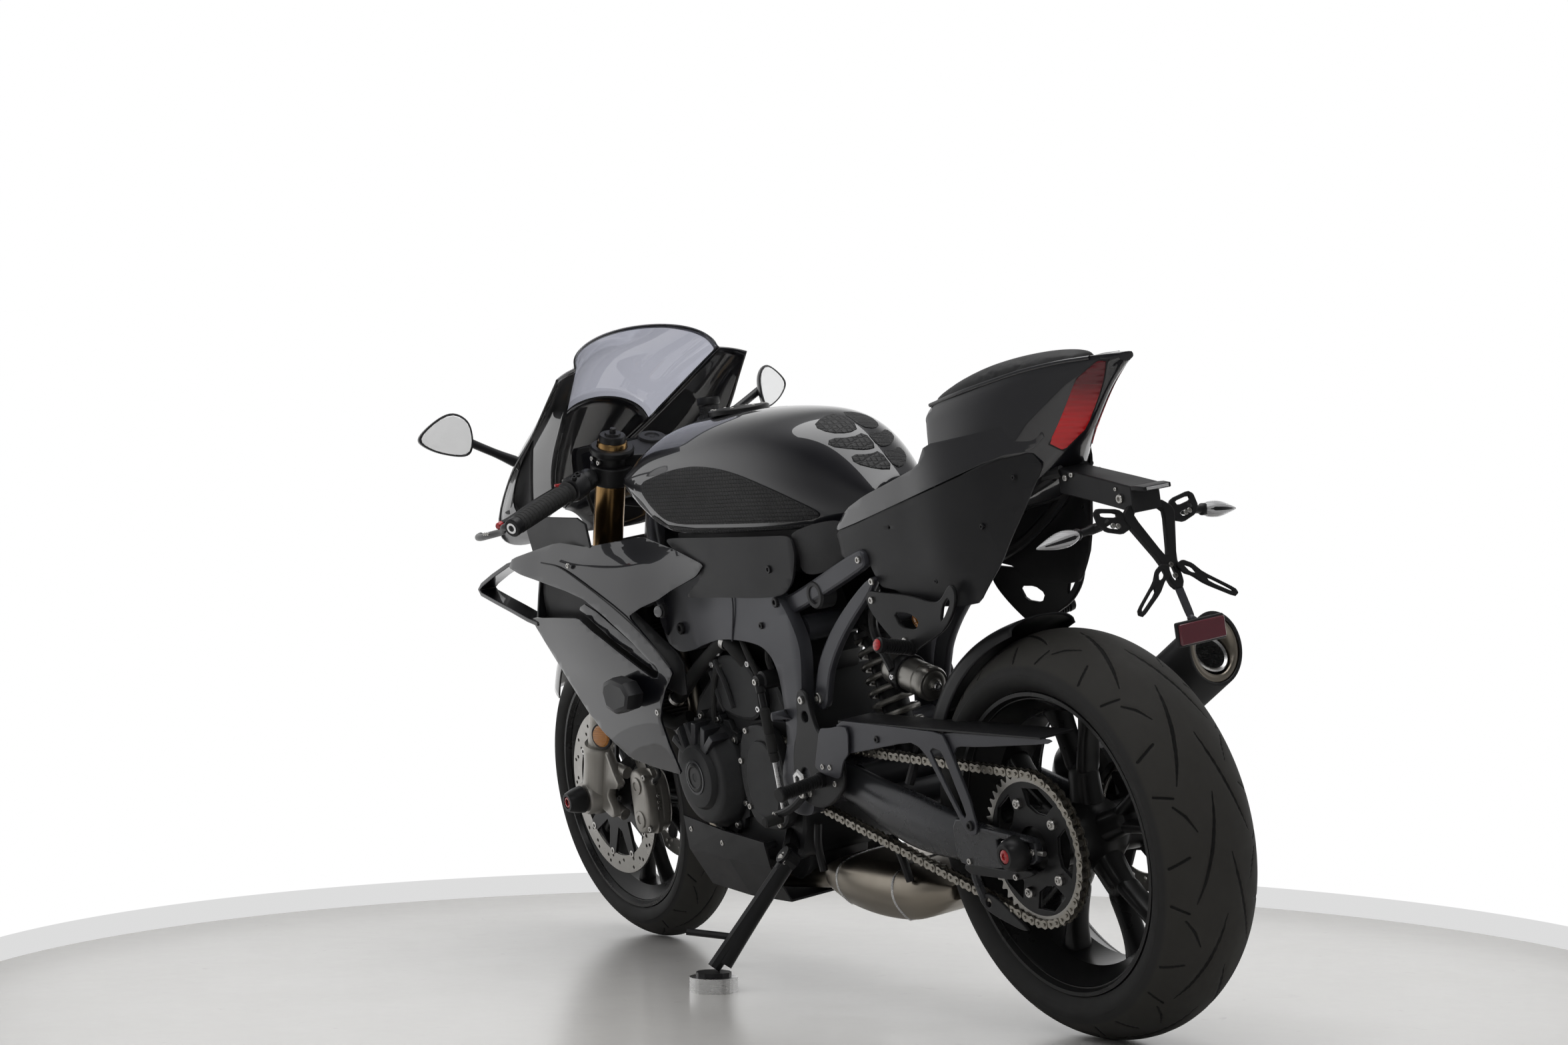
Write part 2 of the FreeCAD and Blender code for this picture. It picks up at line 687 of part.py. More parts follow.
def brake_reservoir():
    """The fluid cup ahead of the right fork top, on its own arm."""
    foot = on_fork(size.upper_yoke + 12, -size.fork_spread - 38, 56)
    cup = rod(foot, foot + Vector(-6, 0, 52), 21)
    arm = bent_bar([on_fork(size.upper_yoke - 26, -size.fork_spread - 36, 9), foot + Vector(0, 0, 4)], 6, 1, 6)
    return cup.fuse(arm)


def handlebars():
    left = handlebar()
    right = mirrored(left).fuse(brake_reservoir())
    return Part.makeCompound([left, right])


def front_caliper():
    """A radial caliper behind the fork leg, straddling its disc."""
    place = size.front_disc_place
    outline = [(-60, CALIPER_FACE), (60, CALIPER_FACE), (64, -6), (48, 26), (-48, 26), (-64, -6)]

    def block(corners, near, far):
        points = [caliper_point(along, out, near) for along, out in corners]
        return Part.Face(Part.makePolygon(points + [points[0]])).extrude(SIDE * (far - near))

    blank = block(outline, place - 26, place + 26)
    return blank.cut(block([(-80, -40), (80, -40), (80, 10), (-80, 10)], place - 5, place + 5))


def arched_cover(centre, inner, half, first, last, flare):
    """A thin arc over a wheel, flat across its crown with sloping sides."""
    wall = size.panel_wall
    section = [(inner, half * 0.6), (inner - flare, half), (inner - flare + 1.5, half + wall),
               (inner + wall, half * 0.62)]
    outline = section + [(r, -y) for r, y in reversed(section)]
    return turned_ring(centre, outline, 12, first, last)


def front_fender():
    cover = arched_cover(FRONT_AXLE, size.front_tyre_radius + 12, size.front_tyre_half + 4, 38, 168, 26)
    near = size.front_tyre_half + 5
    far = size.fork_spread - size.fork_upper_radius - size.panel_gap
    middle = on_fork(size.fork_bottom + 25)
    return cover.fuse(both_sides(rod(middle + SIDE * near, middle + SIDE * far, 9)))


piece("triple_clamps", triple_clamps())
piece("fork_tubes", with_mirror(fork_tube()))
piece("fork_legs", with_mirror(fork_leg()))
piece("front_axle", front_axle())
piece("handlebars", handlebars())
piece("front_calipers", pair(front_caliper()))
piece("front_fender", front_fender())


# Chain drive
def belt_point(share, offset):
    """A point on the chain line, by its share of the loop, moved outwards."""
    run = DRIVE_SHAFT - REAR_AXLE
    slope = math.atan2(run.z, run.x)
    lean_in = math.acos((SPROCKET_RADIUS - DRIVE_RADIUS) / run.Length)
    straight = run.Length * math.sin(lean_in)
    front_arc = DRIVE_RADIUS * 2 * lean_in
    rear_arc = SPROCKET_RADIUS * (2 * math.pi - 2 * lean_in)
    way = share * (2 * straight + front_arc + rear_arc)

    def on_wheel(centre, radius, angle):
        return centre + Vector(math.cos(angle), 0, math.sin(angle)) * (radius + offset)

    top, bottom = slope + lean_in, slope - lean_in
    if way < straight:
        first, last = on_wheel(REAR_AXLE, SPROCKET_RADIUS, top), on_wheel(DRIVE_SHAFT, DRIVE_RADIUS, top)
        return first + (last - first) * (way / straight)
    way -= straight
    if way < front_arc:
        return on_wheel(DRIVE_SHAFT, DRIVE_RADIUS, top - way / DRIVE_RADIUS)
    way -= front_arc
    if way < straight:
        first, last = on_wheel(DRIVE_SHAFT, DRIVE_RADIUS, bottom), on_wheel(REAR_AXLE, SPROCKET_RADIUS, bottom)
        return first + (last - first) * (way / straight)
    way -= straight
    return on_wheel(REAR_AXLE, SPROCKET_RADIUS, bottom - way / SPROCKET_RADIUS)


def belt(offset, y0, y1, steps=56):
    """A solid belt shape round both sprockets, grown outwards from the chain line."""
    points = [belt_point(k / steps, offset) for k in range(steps)]
    return plate([(p.x, p.z) for p in points], y0, y1)


def drive_chain():
    """Two rows of side plates, with waisted links along the outside of the outer row."""
    links = 120
    high = size.chain_height / 2
    low = high * 0.62
    near = size.sprocket_thick / 2 + 0.8
    outer_edge = []
    for k in range(links * 2):
        p = belt_point(k / (links * 2), high if k % 2 == 0 else low)
        outer_edge.append((p.x, p.z))
    line = size.chain_line
    outer_row = plate(outer_edge, line + near, line + size.chain_half)
    inner_row = belt(high, line - size.chain_half, line - near)
    hollow = belt(-high, line - size.chain_half - 1, line + size.chain_half + 1)
    pins = []
    for k in range(6, 42, 12):
        for share in (k / links, 0.5 + k / links):
            at = belt_point(share, 0)
            pins.append(bent_bar([at + SIDE * (line - near - 1), at + SIDE * (line + near + 1)], 4.5, 1, 6))
    return outer_row.fuse(inner_row).cut(hollow).fuse(pins)


piece("drive_chain", drive_chain())


# Frame, engine and running gear
def main_frame():
    inner, outer, near = size.frame_inner, size.frame_outer, size.spar_inner
    head_low = on_stem(size.lower_yoke + size.yoke_thick + 14)
    head_top = on_stem(size.upper_yoke - 6)

    def station(x, y0, y1, z0, z1):
        return [Vector(x, y0, z0), Vector(x, y1, z0 + 8), Vector(x, y1, z1 - 8), Vector(x, y0, z1)]

    middle_x = (head_low.x + head_top.x) / 2
    spar = skin([station(middle_x, 14, 38, head_low.z + 12, head_top.z - 30),
                 station(middle_x - 116, 88, 114, 700, 852),
                 station(930 + CHASSIS_SHIFT, near, outer, 600, 780),
                 station(780 + CHASSIS_SHIFT, near, outer, 626, 740),
                 station(660 + CHASSIS_SHIFT, near, outer, 618, 704)])
    leg = side_plate([(780, 740), (590, 702), (546, 665), (522, 615), (545, 540), (560, 467), (553, 400),
                      (566, 330), (640, 330), (655, 398), (611, 465), (606, 540), (614, 585), (650, 612),
                      (780, 626)],
                     cell.frame_inner, cell.frame_outer - cell.frame_inner,
                     [(DRAWN_PIVOT, size.pivot_height, cell.pivot_radius + cell.running_gap)])
    head = rod(head_low, head_top, size.head_tube_radius)
    cross = box(PIVOT.x - 45, PIVOT.x - 5, -inner - 2, inner + 2, 560, 640)
    nose_root = on_stem(size.upper_yoke - 75, 0, size.head_tube_radius - 6)
    nose_tip = on_stem(size.upper_yoke - 75, 0, 190)
    stay = bent_bar([nose_root, nose_tip], 15, 1, 6).cut(box(1319.2 + CHASSIS_SHIFT, 1450 + CHASSIS_SHIFT,
                                                             -60, 60, 800, 1000))
    bore = rod(on_stem(size.lower_yoke), on_stem(size.upper_yoke + 40), size.stem_radius + size.running_gap + 0.5)
    core = both_sides(spar).fuse([head, cross, stay]).cut(bore)
    twin = doc.addObject("Part::Mirroring", "twin")
    twin.Source = leg
    twin.Normal = SIDE
    return joined([plain(core), leg, twin])


def engine():
    half = cell.engine_half
    low = -half + 0
    case = side_plate([(655, 300), (690, 240), (760, 222), (930, 232), (1000, 290), (1010, 400), (985, 500),
                       (900, 560), (700, 560), (655, 480)], low, half * 2)
    cylinders = side_plate([(800, 540), (985, 490), (1040, 625), (860, 690)], low + 22, half * 2 - 44)
    head = side_plate([(850, 660), (1030, 600), (1045, 650), (1015, 702), (900, 735)], low + 16, half * 2 - 32)
    intake = side_plate([(660, 540), (820, 540), (900, 690), (720, 715)], low + 30, half * 2 - 60)
    x = CHASSIS_SHIFT
    out = size.engine_half
    left_cover = plain(taper(Vector(915 + x, out - 1, 378), Vector(915 + x, out + 43, 378), 98, 84))
    left_boss = plain(taper(Vector(915 + x, out + 42, 378), Vector(915 + x, out + 58, 378), 66, 56))
    right_cover = plain(taper(Vector(800 + x, 1 - out, 370), Vector(800 + x, -45 - out, 370), 104, 90))
    spacing = size.chain_half + 5
    chain_space = plain(belt(16, size.chain_line - spacing, 200))
    solid = cut(joined([case, cylinders, head, intake]), chain_space)
    cover_inner = size.chain_line + spacing
    cover = plain(plate([(662 + x, 340), (680 + x, 300), (760 + x, 300), (790 + x, 380), (770 + x, 460),
                         (690 + x, 470)], cover_inner, cover_inner + 8))
    post = prism(Vector(782 + x, size.engine_half - 1, 380), SIDE, 12, cover_inner - size.engine_half + 2, 12)
    shaft = prism(DRIVE_SHAFT + SIDE * (size.engine_half - 24), SIDE, 14, 44, 12)
    mount_near = cell.engine_half - 17
    mount = prism(Vector(900 + x, float(mount_near), 690), SIDE, 14, cell.spar_inner - cell.running_gap - mount_near, 10)
    mount_right = doc.addObject("Part::Mirroring", "mount_right")
    mount_right.Source = mount
    mount_right.Normal = SIDE
    return joined([solid, left_cover, left_boss, right_cover, cover, post, shaft, mount, mount_right])


def radiator():
    """A finned core with two side tanks and two lugs that reach the frame spars."""
    body = body_at(on_chassis(1098, 572))
    pad(body, sketch_on(body, "XZ_Plane", [(-24, -120), (-2, -120), (24, 118), (0, 120)]), 300)
    groove = body.newObject("PartDesign::Pocket", "groove")
    groove.Profile = sketch_on(body, "XZ_Plane", [(-14, -104), (30, -104), (30, -98), (-14, -98)])
    groove.Length = 250
    groove.Midplane = True
    fins = body.newObject("PartDesign::LinearPattern", "fins")
    fins.Originals = [groove]
    fins.Direction = (own_plane(body, "Z_Axis"), [""])
    fins.Length = 198
    fins.Occurrences = 10
    body.Tip = fins
    lug = rod(on_chassis(1116, 680, 54), on_chassis(1116, 758.5, 54), 7, 8)
    return joined([body, plain(both_sides(lug))])


SILENCER_START = on_chassis(305, 330, -196)
SILENCER_END = on_chassis(-95, 560, -204)
SILENCER_WAY = (SILENCER_END - SILENCER_START).normalize()


def exhaust_pipes():
    pipes = []
    for side in (-62, 0, 62):
        port = on_chassis(1043, 628, side)
        points = [port, port + Vector(28, 0, -13), on_chassis(1050, 520, side), on_chassis(1036, 300, side),
                  on_chassis(960, 192, side * 0.8), on_chassis(700, 186, side * 0.5)]
        pipes.append(bent_bar(points, size.pipe_radius, 60))
    rear = max(size.rear_tyre_radius - 3, 312)
    chamber = plate([(690 + CHASSIS_SHIFT, 205), (600 + CHASSIS_SHIFT, 232), (418 + CHASSIS_SHIFT, 240),
                     (rear + 10, 215), (rear, 190), (375 + CHASSIS_SHIFT, 150), (560 + CHASSIS_SHIFT, 150),
                     (690 + CHASSIS_SHIFT, 172)], -95, 85)
    tail_pipe = bent_bar([on_chassis(372, 200, -70), on_chassis(372, 205, -150),
                          SILENCER_START - SILENCER_WAY * 60, SILENCER_START - SILENCER_WAY * 0.4], 24, 60, 10)
    return pipes[0].fuse(pipes[1:] + [chamber, tail_pipe])


def silencer():
    start, end, way = SILENCER_START, SILENCER_END, SILENCER_WAY
    length = (end - start).Length
    shell = prism(start + way * 40, way, cell.silencer_radius, length - 40, 20)
    entry = plain(taper(start, start + way * 42, 26, size.silencer_radius, 20))
    hollow = prism(end - way * 80, way, cell.silencer_radius - 12, 100, 20)
    slash = plain(Part.makeBox(300, 300, 300, Vector(-150, -150, 0)))
    slash.Placement = Placement(end - way * 20, Rotation(Vector(0, 0, 1), Vector(-0.55, 0, 0.95)))
    strap = bent_bar([start + way * 130 + Vector(0, 48, 20), on_chassis(268, 642, -118)], 9, 1, 6)
    strap = plain(strap.cut(box(0, 500, -125.8, 0, 400, 800)))
    return joined([cut(cut(joined([shell, entry]), hollow), slash), strap])


def swingarm():
    inner, outer, end_inner = size.swingarm_inner, size.swingarm_outer, size.swingarm_end_inner
    cross_x = size.rear_tyre_radius + 37
    front = PIVOT.x - 60

    def share(x):
        return x / DRAWN_PIVOT * PIVOT.x

    def down(z):
        return z + REAR_AXLE.z - 315

    beam = plate([(front, PIVOT.z + 30), (share(470), PIVOT.z + 22), (share(394), PIVOT.z - 2),
                  (share(300), down(386)), (share(220), down(366)), (150, down(352)), (150, down(281)),
                  (share(290), down(286)), (share(380), down(312)), (share(470), PIVOT.z - 48),
                  (front, PIVOT.z - 42)], inner, outer - 10)
    end = plate([(share(230), down(362)), (138, down(349)), (60, down(345)), (-30, down(338)), (-38, down(300)),
                 (60, down(282)), (share(230), down(284))], end_inner, outer)
    cross = box(cross_x, front, -inner - 2, inner + 2, PIVOT.z - 30, PIVOT.z + 26)
    neck = box(front - 5, PIVOT.x - 5, -inner, inner, PIVOT.z - 26, PIVOT.z + 26)
    tube = side_wheel(PIVOT, 32, 1 - size.frame_inner, size.frame_inner - 1)
    solid = both_sides(beam.fuse(end)).fuse([cross, neck, tube])
    solid = solid.cut(side_wheel(REAR_AXLE, size.rear_axle_radius + size.running_gap, -300, 300))
    return solid.cut(side_wheel(PIVOT, size.pivot_radius + size.running_gap, -300, 300))


def axle_shafts():
    bar = across(REAR_AXLE, cell.rear_axle_radius, cell.swingarm_outer + 8)
    spools = []
    for way in (1, -1):
        near = REAR_AXLE + SIDE * way * (size.swingarm_outer + 6)
        spools.append(cylinder(near, SIDE * way, cell.spool_radius, cell.spool_length))
    pivot = across(PIVOT, cell.pivot_radius, cell.frame_outer + 12)
    return grouped([joined([bar] + spools), pivot])


def chain_guard():
    """A machined blade over the chain, with a triangular window and a foot on the swingarm."""
    near = cell.swingarm_outer + 4
    outline = [(446, 498), (148, 492), (-121, 494), (-124, 488), (60, 472), (134, 458), (98, 372), (104, 336),
               (118, 340), (196, 462), (232, 472), (430, 440), (446, 444)]
    blade = side_plate(outline, near, 4.0, [(330, 472, 7)])
    window = plain(plate([(150 + CHASSIS_SHIFT, 462), (182 + CHASSIS_SHIFT, 462), (116 + CHASSIS_SHIFT, 362)],
                         130, 150))
    boss = prism(on_chassis(110, 345, size.swingarm_outer + 0.3), SIDE, 7, 4.5, 8)
    front_boss = prism(on_chassis(436, 446, size.swingarm_outer + 0.3), SIDE, 7, 4.5, 8)
    return joined([cut(blade, window), boss, front_boss])


def rear_hugger():
    cover = arched_cover(REAR_AXLE, size.rear_tyre_radius + 12, size.rear_tyre_half - 4, 33, 100, 40)
    lift = REAR_AXLE.z - 315
    seat_x = size.rear_tyre_radius + 37
    seat_z = PIVOT.z + 26 + size.panel_gap
    bracket = plate([(240, 478 + lift), (266, 492 + lift), (seat_x + 52, seat_z), (seat_x + 10, seat_z)],
                    size.rear_tyre_half - 10, size.swingarm_inner - 3)
    return cover.fuse(both_sides(bracket))


def rear_shock():
    low = Vector(PIVOT.x - 135, 0, PIVOT.z + 27)
    high = Vector(PIVOT.x - 85, 0, 640)
    way = (high - low).normalize()
    body = prism(low, way, 20, (high - low).Length, 12)
    coils = [prism(low + way * (34 + 22 * k), way, 35, 12, 12) for k in range(6)]
    sleeve = prism(low + way * 30, way, 29, 138, 12)
    reservoir = prism(on_chassis(330, 560, 62), Vector(120, 0, 30).normalize(), 27, 122, 12)
    hose = plain(bent_bar([on_chassis(446, 586, 60), high - way * 24 + Vector(0, 10, 0)], 7, 1, 6))
    floor = plain(box(PIVOT.x - 220, PIVOT.x, -60, 60, PIVOT.z - 60, PIVOT.z + 26 + size.panel_gap))
    return cut(joined([body, sleeve, reservoir, hose] + coils), floor)


def rear_caliper():
    """A floating caliper over the top of the rear disc, on its bracket above the swingarm."""
    place = size.rear_disc_place
    blank = plate([(-48, -26), (48, -26), (50, 0), (36, 24), (-36, 24), (-50, 0)], -place - 21, -place + 21)
    solid = blank.cut(box(-60, 60, -place - 5, -place + 5, -40, 12))
    solid.rotate(Vector(0, 0, 0), SIDE, 40)
    solid.translate(Vector(78, 0, REAR_AXLE.z + 82))
    bracket = plate([(70, REAR_AXLE.z + 60), (110, REAR_AXLE.z + 60), (134, REAR_AXLE.z + 34.6),
                     (70, REAR_AXLE.z + 31)], -size.swingarm_outer + 2, -place - 19)
    return solid.fuse(bracket)


piece("main_frame", main_frame())
piece("engine", engine())
piece("radiator", radiator())
piece("exhaust_pipes", exhaust_pipes())
piece("silencer", silencer())
piece("swingarm", swingarm())
piece("axle_shafts", axle_shafts())
piece("chain_guard", chain_guard())
piece("rear_hugger", rear_hugger())
piece("rear_shock", rear_shock())
piece("rear_caliper", rear_caliper())


# Tank, seats and tail
def half_ring(x, points):
    """A closed section across the motorcycle from its left half, bottom to top."""
    left = [Vector(x + CHASSIS_SHIFT, y, z) for y, z in points]
    right = [Vector(p.x, -p.y, p.z) for p in reversed(left[:-1])]
    return left + right


def tank_ring(x, low, widths, heights):
    wide, floor, top = size.tank_half, size.tank_floor, size.tank_top
    points = [(w * wide, floor + low + h * (top - floor)) for w, h in zip(widths, heights)]
    return half_ring(x, points)


TANK_RINGS = [
    (1040, 92, (0.55, 0.90, 0.92, 0.92, 0.86, 0.50, 0.0), (0.0, 0.0, 0.03, 0.06, 0.14, 0.26, 0.30)),
    (985, 52, (0.66, 0.96, 0.99, 0.97, 0.84, 0.50, 0.0), (0.0, 0.02, 0.14, 0.30, 0.49, 0.65, 0.69)),
    (904, 0, (0.66, 0.92, 0.98, 1.0, 0.87, 0.52, 0.0), (0.0, 0.03, 0.22, 0.48, 0.75, 0.93, 0.985)),
    (800, 0, (0.62, 0.86, 0.92, 0.98, 0.86, 0.52, 0.0), (0.0, 0.0, 0.22, 0.53, 0.78, 0.945, 1.0)),
    (700, 0, (0.58, 0.81, 0.88, 0.945, 0.83, 0.49, 0.0), (0.0, 0.0, 0.22, 0.52, 0.78, 0.94, 1.0)),
    (600, 0, (0.54, 0.75, 0.81, 0.87, 0.76, 0.45, 0.0), (0.0, 0.0, 0.21, 0.46, 0.73, 0.90, 0.965)),
    (530, 0, (0.48, 0.66, 0.72, 0.77, 0.67, 0.40, 0.0), (0.0, 0.0, 0.18, 0.38, 0.63, 0.83, 0.92)),
    (470, 0, (0.40, 0.56, 0.60, 0.63, 0.56, 0.34, 0.0), (0.0, 0.0, 0.14, 0.30, 0.50, 0.69, 0.78)),
    (420, 6, (0.28, 0.48, 0.49, 0.49, 0.43, 0.27, 0.0), (0.0, 0.0, 0.11, 0.22, 0.33, 0.45, 0.53)),
    (374, 14, (0.20, 0.38, 0.38, 0.37, 0.32, 0.18, 0.0), (0.0, 0.0, 0.06, 0.13, 0.19, 0.24, 0.27)),
]
CAP_PLACE = on_chassis(850, size.tank_top)
TANK_SEAT = 778.0


def fuel_tank():
    shell = plain(skin([tank_ring(*ring) for ring in TANK_RINGS]))
    floor = size.tank_top - 24
    recess = prism(Vector(CAP_PLACE.x, 0, floor), Vector(0, 0, 1), cell.cap_radius + 7, 60, 20)
    neck = prism(Vector(CAP_PLACE.x, 0, floor - 1), Vector(0, 0, 1), cell.cap_radius - 4, 9.0, 20)
    feet = plain(both_sides(rod(on_chassis(915, TANK_SEAT, 116), on_chassis(915, size.tank_floor + 12, 116), 8)))
    return joined([cut(shell, recess), neck, feet])


def fuel_cap():
    """The flush cap above the filler neck."""
    low = size.tank_top - 24 + 8 + size.panel_gap
    return prism(Vector(CAP_PLACE.x, 0, low), Vector(0, 0, 1), cell.cap_radius, cell.cap_thick, 20)


piece("fuel_tank", fuel_tank())
piece("fuel_cap", fuel_cap())


def rider_seat():
    rings = [(371, [(62, 802), (101, 806), (110, 823), (96, 837), (0, 838)]),
             (340, [(80, 802), (106, 806), (114, 824), (100, 838), (0, 836)]),
             (250, [(84, 814), (108, 820), (117, 842), (102, 860), (0, 852)]),
             (184, [(84, 826), (106, 834), (113, 868), (98, 892), (0, 884)]),
             (142.4, [(70, 838), (90, 850), (98, 884), (84, 906), (0, 900)])]
    cushion = skin([half_ring(x, points) for x, points in rings])
    horns = both_sides(skin([[on_chassis(x, z, y) for y, z in section] for x, section in (
        (370, [(66, 803), (101, 806), (110, 823), (96, 837), (66, 838)]),
        (420, [(83, 803), (93, 804), (98, 822), (90, 836), (83, 836)]))]))
    return cushion.fuse(horns)


PAD_RINGS = [(154, [(64, 958), (84, 960), (86, 984), (70, 1002), (0, 1006)]),
             (60, [(62, 968), (80, 972), (82, 996), (68, 1018), (0, 1024)]),
             (-40, [(50, 982), (64, 986), (65, 1008), (52, 1030), (0, 1036)]),
             (-120, [(30, 1002), (42, 1006), (42, 1022), (34, 1032), (0, 1038)]),
             (-152, [(16, 1016), (26, 1018), (26, 1026), (20, 1033), (0, 1036)])]


def passenger_seat():
    return skin([half_ring(x, points) for x, points in PAD_RINGS])


piece("rider_seat", rider_seat())
piece("passenger_seat", passenger_seat())

LAMP_OUTLINE = [(-84, 911), (-98, 897), (-139, 926), (-222, 1022), (-206, 1025), (-162, 1000)]


def lamp_prism(y0, y1, grow):
    middle_x = sum(x for x, z in LAMP_OUTLINE) / len(LAMP_OUTLINE)
    middle_z = sum(z for x, z in LAMP_OUTLINE) / len(LAMP_OUTLINE)
    points = []
    for x, z in LAMP_OUTLINE:
        away = math.hypot(x - middle_x, z - middle_z)
        points.append((x + (x - middle_x) / away * grow + CHASSIS_SHIFT, z + (z - middle_z) / away * grow))
    return plate(points, y0, y1)


TAIL_RINGS = [(142, [(60, 800), (90, 810), (102, 880), (97, 944), (0, 948)]),
              (60, [(58, 806), (86, 816), (96, 884), (91, 956), (0, 960)]),
              (-10, [(44, 826), (66, 836), (76, 894), (76, 970), (0, 974)]),
              (-60, [(26, 856), (42, 866), (56, 916), (64, 984), (0, 990)]),
              (-98, [(14, 894), (24, 900), (42, 940), (54, 1000), (0, 1006)]),
              (-140, [(4, 924), (9, 930), (33, 970), (42, 1010), (0, 1016)]),
              (-190, [(3, 984), (7, 988), (25, 1008), (28, 1022), (0, 1026)]),
              (-243, [(3, 1018), (7, 1019), (14, 1024), (11, 1029), (0, 1031)])]


def tail_cowl():
    """The raised tail, wedge-shaped behind, with room for the pad, the lamps and the plate arm."""
    body = skin([half_ring(x, points) for x, points in TAIL_RINGS])
    gap = size.panel_gap
    arm_space = box(-400 + CHASSIS_SHIFT, -71.6 + CHASSIS_SHIFT, -30, 30, 700, 877)
    pad_space = skin([half_ring(x, [(y + gap if y else 0, z - gap) for y, z in points])
                      for x, points in [(155, PAD_RINGS[0][1])] + PAD_RINGS[1:-1] + [(-152.4, PAD_RINGS[-1][1])]])
    lamps = both_sides(lamp_prism(2.6, 200, gap))
    return body.cut(arm_space).cut(pad_space).cut(lamps)


def tail_lamp():
    """The two red lenses on the sloping back of the tail."""
    lens = lamp_prism(3, 200, 0)
    rings = [(x, [(y + 1.5 if y else 0, z) for y, z in points]) for x, points in TAIL_RINGS[2:]]
    return pair(lens.common(skin([half_ring(x, points) for x, points in rings])))


def seat_side_panel():
    """The side panel under the rider seat, from its pointed front to the tail."""
    rows = grid([
        [(404, 118, 806), (402, 119, 790), (398, 119, 774), (396, 118, 760)],
        [(350, 120, 822), (344, 121, 800), (338, 120, 778), (330, 118, 755)],
        [(300, 121, 826), (296, 121, 800), (292, 119, 752), (290, 116, 710)],
        [(200, 119, 846), (200, 119, 800), (196, 117, 740), (190, 110, 682)],
        [(112, 117, 866), (112, 117, 806), (108, 114, 744), (104, 104, 684)],
        [(20, 100, 880), (20, 100, 832), (16, 96, 784), (20, 90, 738)],
        [(-44, 76, 896), (-44, 74, 870), (-46, 70, 840), (-40, 64, 806)],
    ])
    skin_part = panel(rows, -size.panel_wall)
    boss = rod(on_chassis(250, 762, 93.9), on_chassis(250, 762, 116), 8)
    return skin_part.fuse(boss)


def side_cover():
    left = plate([(x + CHASSIS_SHIFT, z) for x, z in
                  ((900, 800), (520, 800), (506, 770), (530, 722), (590, 702), (868, 702), (800, 735), (905, 790))],
                 size.frame_outer + 8, size.frame_outer + 13)
    post = rod(on_chassis(700, 716, size.frame_outer + size.running_gap), on_chassis(700, 716, size.frame_outer + 9), 8)
    return left.fuse(post)


piece("tail_cowl", tail_cowl())
piece("tail_lamp", tail_lamp())
piece("side_panels", Part.makeCompound([shape for left in (seat_side_panel(), side_cover())
                                        for shape in (left, mirrored(left))]))


def subframe():
    def rail(stations, half_height, wide):
        return skin([[on_chassis(x, z - half_height, y), on_chassis(x, z - half_height, y + wide),
                      on_chassis(x, z + half_height, y + wide), on_chassis(x, z + half_height, y)]
                     for x, y, z in stations])
    seat_y = size.frame_outer + size.panel_gap
    upper = rail([(600, seat_y, 672), (560, seat_y, 686), (500, seat_y - 14, 703), (330, 84, 752),
                  (150, 76, 786)], 10, 13)
    lower = rail([(522, size.frame_inner - 14, 528), (300, 84, 690), (150, 76, 770)], 9, 13)
    cross = rod(on_chassis(300, 758, -86), on_chassis(300, 758, 86), 9)
    tail_rail = rail([(160, 50, 786), (60, 36, 790), (-20, 18, 812), (-71.6, 12, 838)], 8, 12)
    tie = box(146 + CHASSIS_SHIFT, 166 + CHASSIS_SHIFT, -84, 84, 778, 792)
    return both_sides(upper.fuse([lower, tail_rail])).fuse([cross, tie])


def plate_holder():
    """A box arm with a slotted frame for the number plate and a strip for the reflector."""
    arm = skin([[on_chassis(x, z, y) for y, z in ((-24, low), (24, low), (26, top), (-26, top))]
                for x, low, top in ((-72, 836, 874), (-195, 812, 850), (-240, 802, 841))])
    frame = plate([(x + CHASSIS_SHIFT, z) for x, z in ((-205, 812), (-262, 808), (-300, 688), (-286, 684))], -5, 5)
    bar = rod(on_chassis(-222, 798, -96), on_chassis(-222, 798, 96), 7)
    brace_left = bent_bar([on_chassis(-226, 796, 60), on_chassis(-268, 726, 6)], 6, 1, 6)
    foot = box(-292 + CHASSIS_SHIFT, -284 + CHASSIS_SHIFT, -56, 56, 676, 698)
    holes = [rod(on_chassis(-300, 687, y), on_chassis(-270, 687, y), size.plate_bolt_radius)
             for y in (-size.plate_bolt_spread / 2, size.plate_bolt_spread / 2)]
    strip = plate([(x + CHASSIS_SHIFT, z) for x, z in ((-286, 690), (-296, 690), (-318, 640), (-318, 632),
                                                       (-308, 632))], -8, 8)
    solid = arm.fuse([frame, bar, both_sides(brace_left), foot, strip])
    return solid.cut(holes[0]).cut(holes[1])


def indicator():
    stalk = rod(on_chassis(-222, 798, 98.2), on_chassis(-215, 790, 126), 5, 8)
    lens = skin([[on_chassis(x, z, 124) for x, z in ((-200, 778), (-232, 780), (-230, 800), (-200, 798))],
                 [on_chassis(x, z, 150) for x, z in ((-190, 764), (-232, 768), (-230, 796), (-190, 790))],
                 [on_chassis(x, z, 186) for x, z in ((-204, 770), (-212, 771), (-212, 777), (-204, 776))]])
    return stalk.fuse(lens)


piece("subframe", subframe())
piece("plate_holder", plate_holder())
piece("rear_reflector", box(-326 + CHASSIS_SHIFT, -318.3 + CHASSIS_SHIFT, -44, 44, 612, 648))
piece("rear_indicators", pair(indicator()))


# Fairing
PROTECTOR = on_chassis(1000, 536)


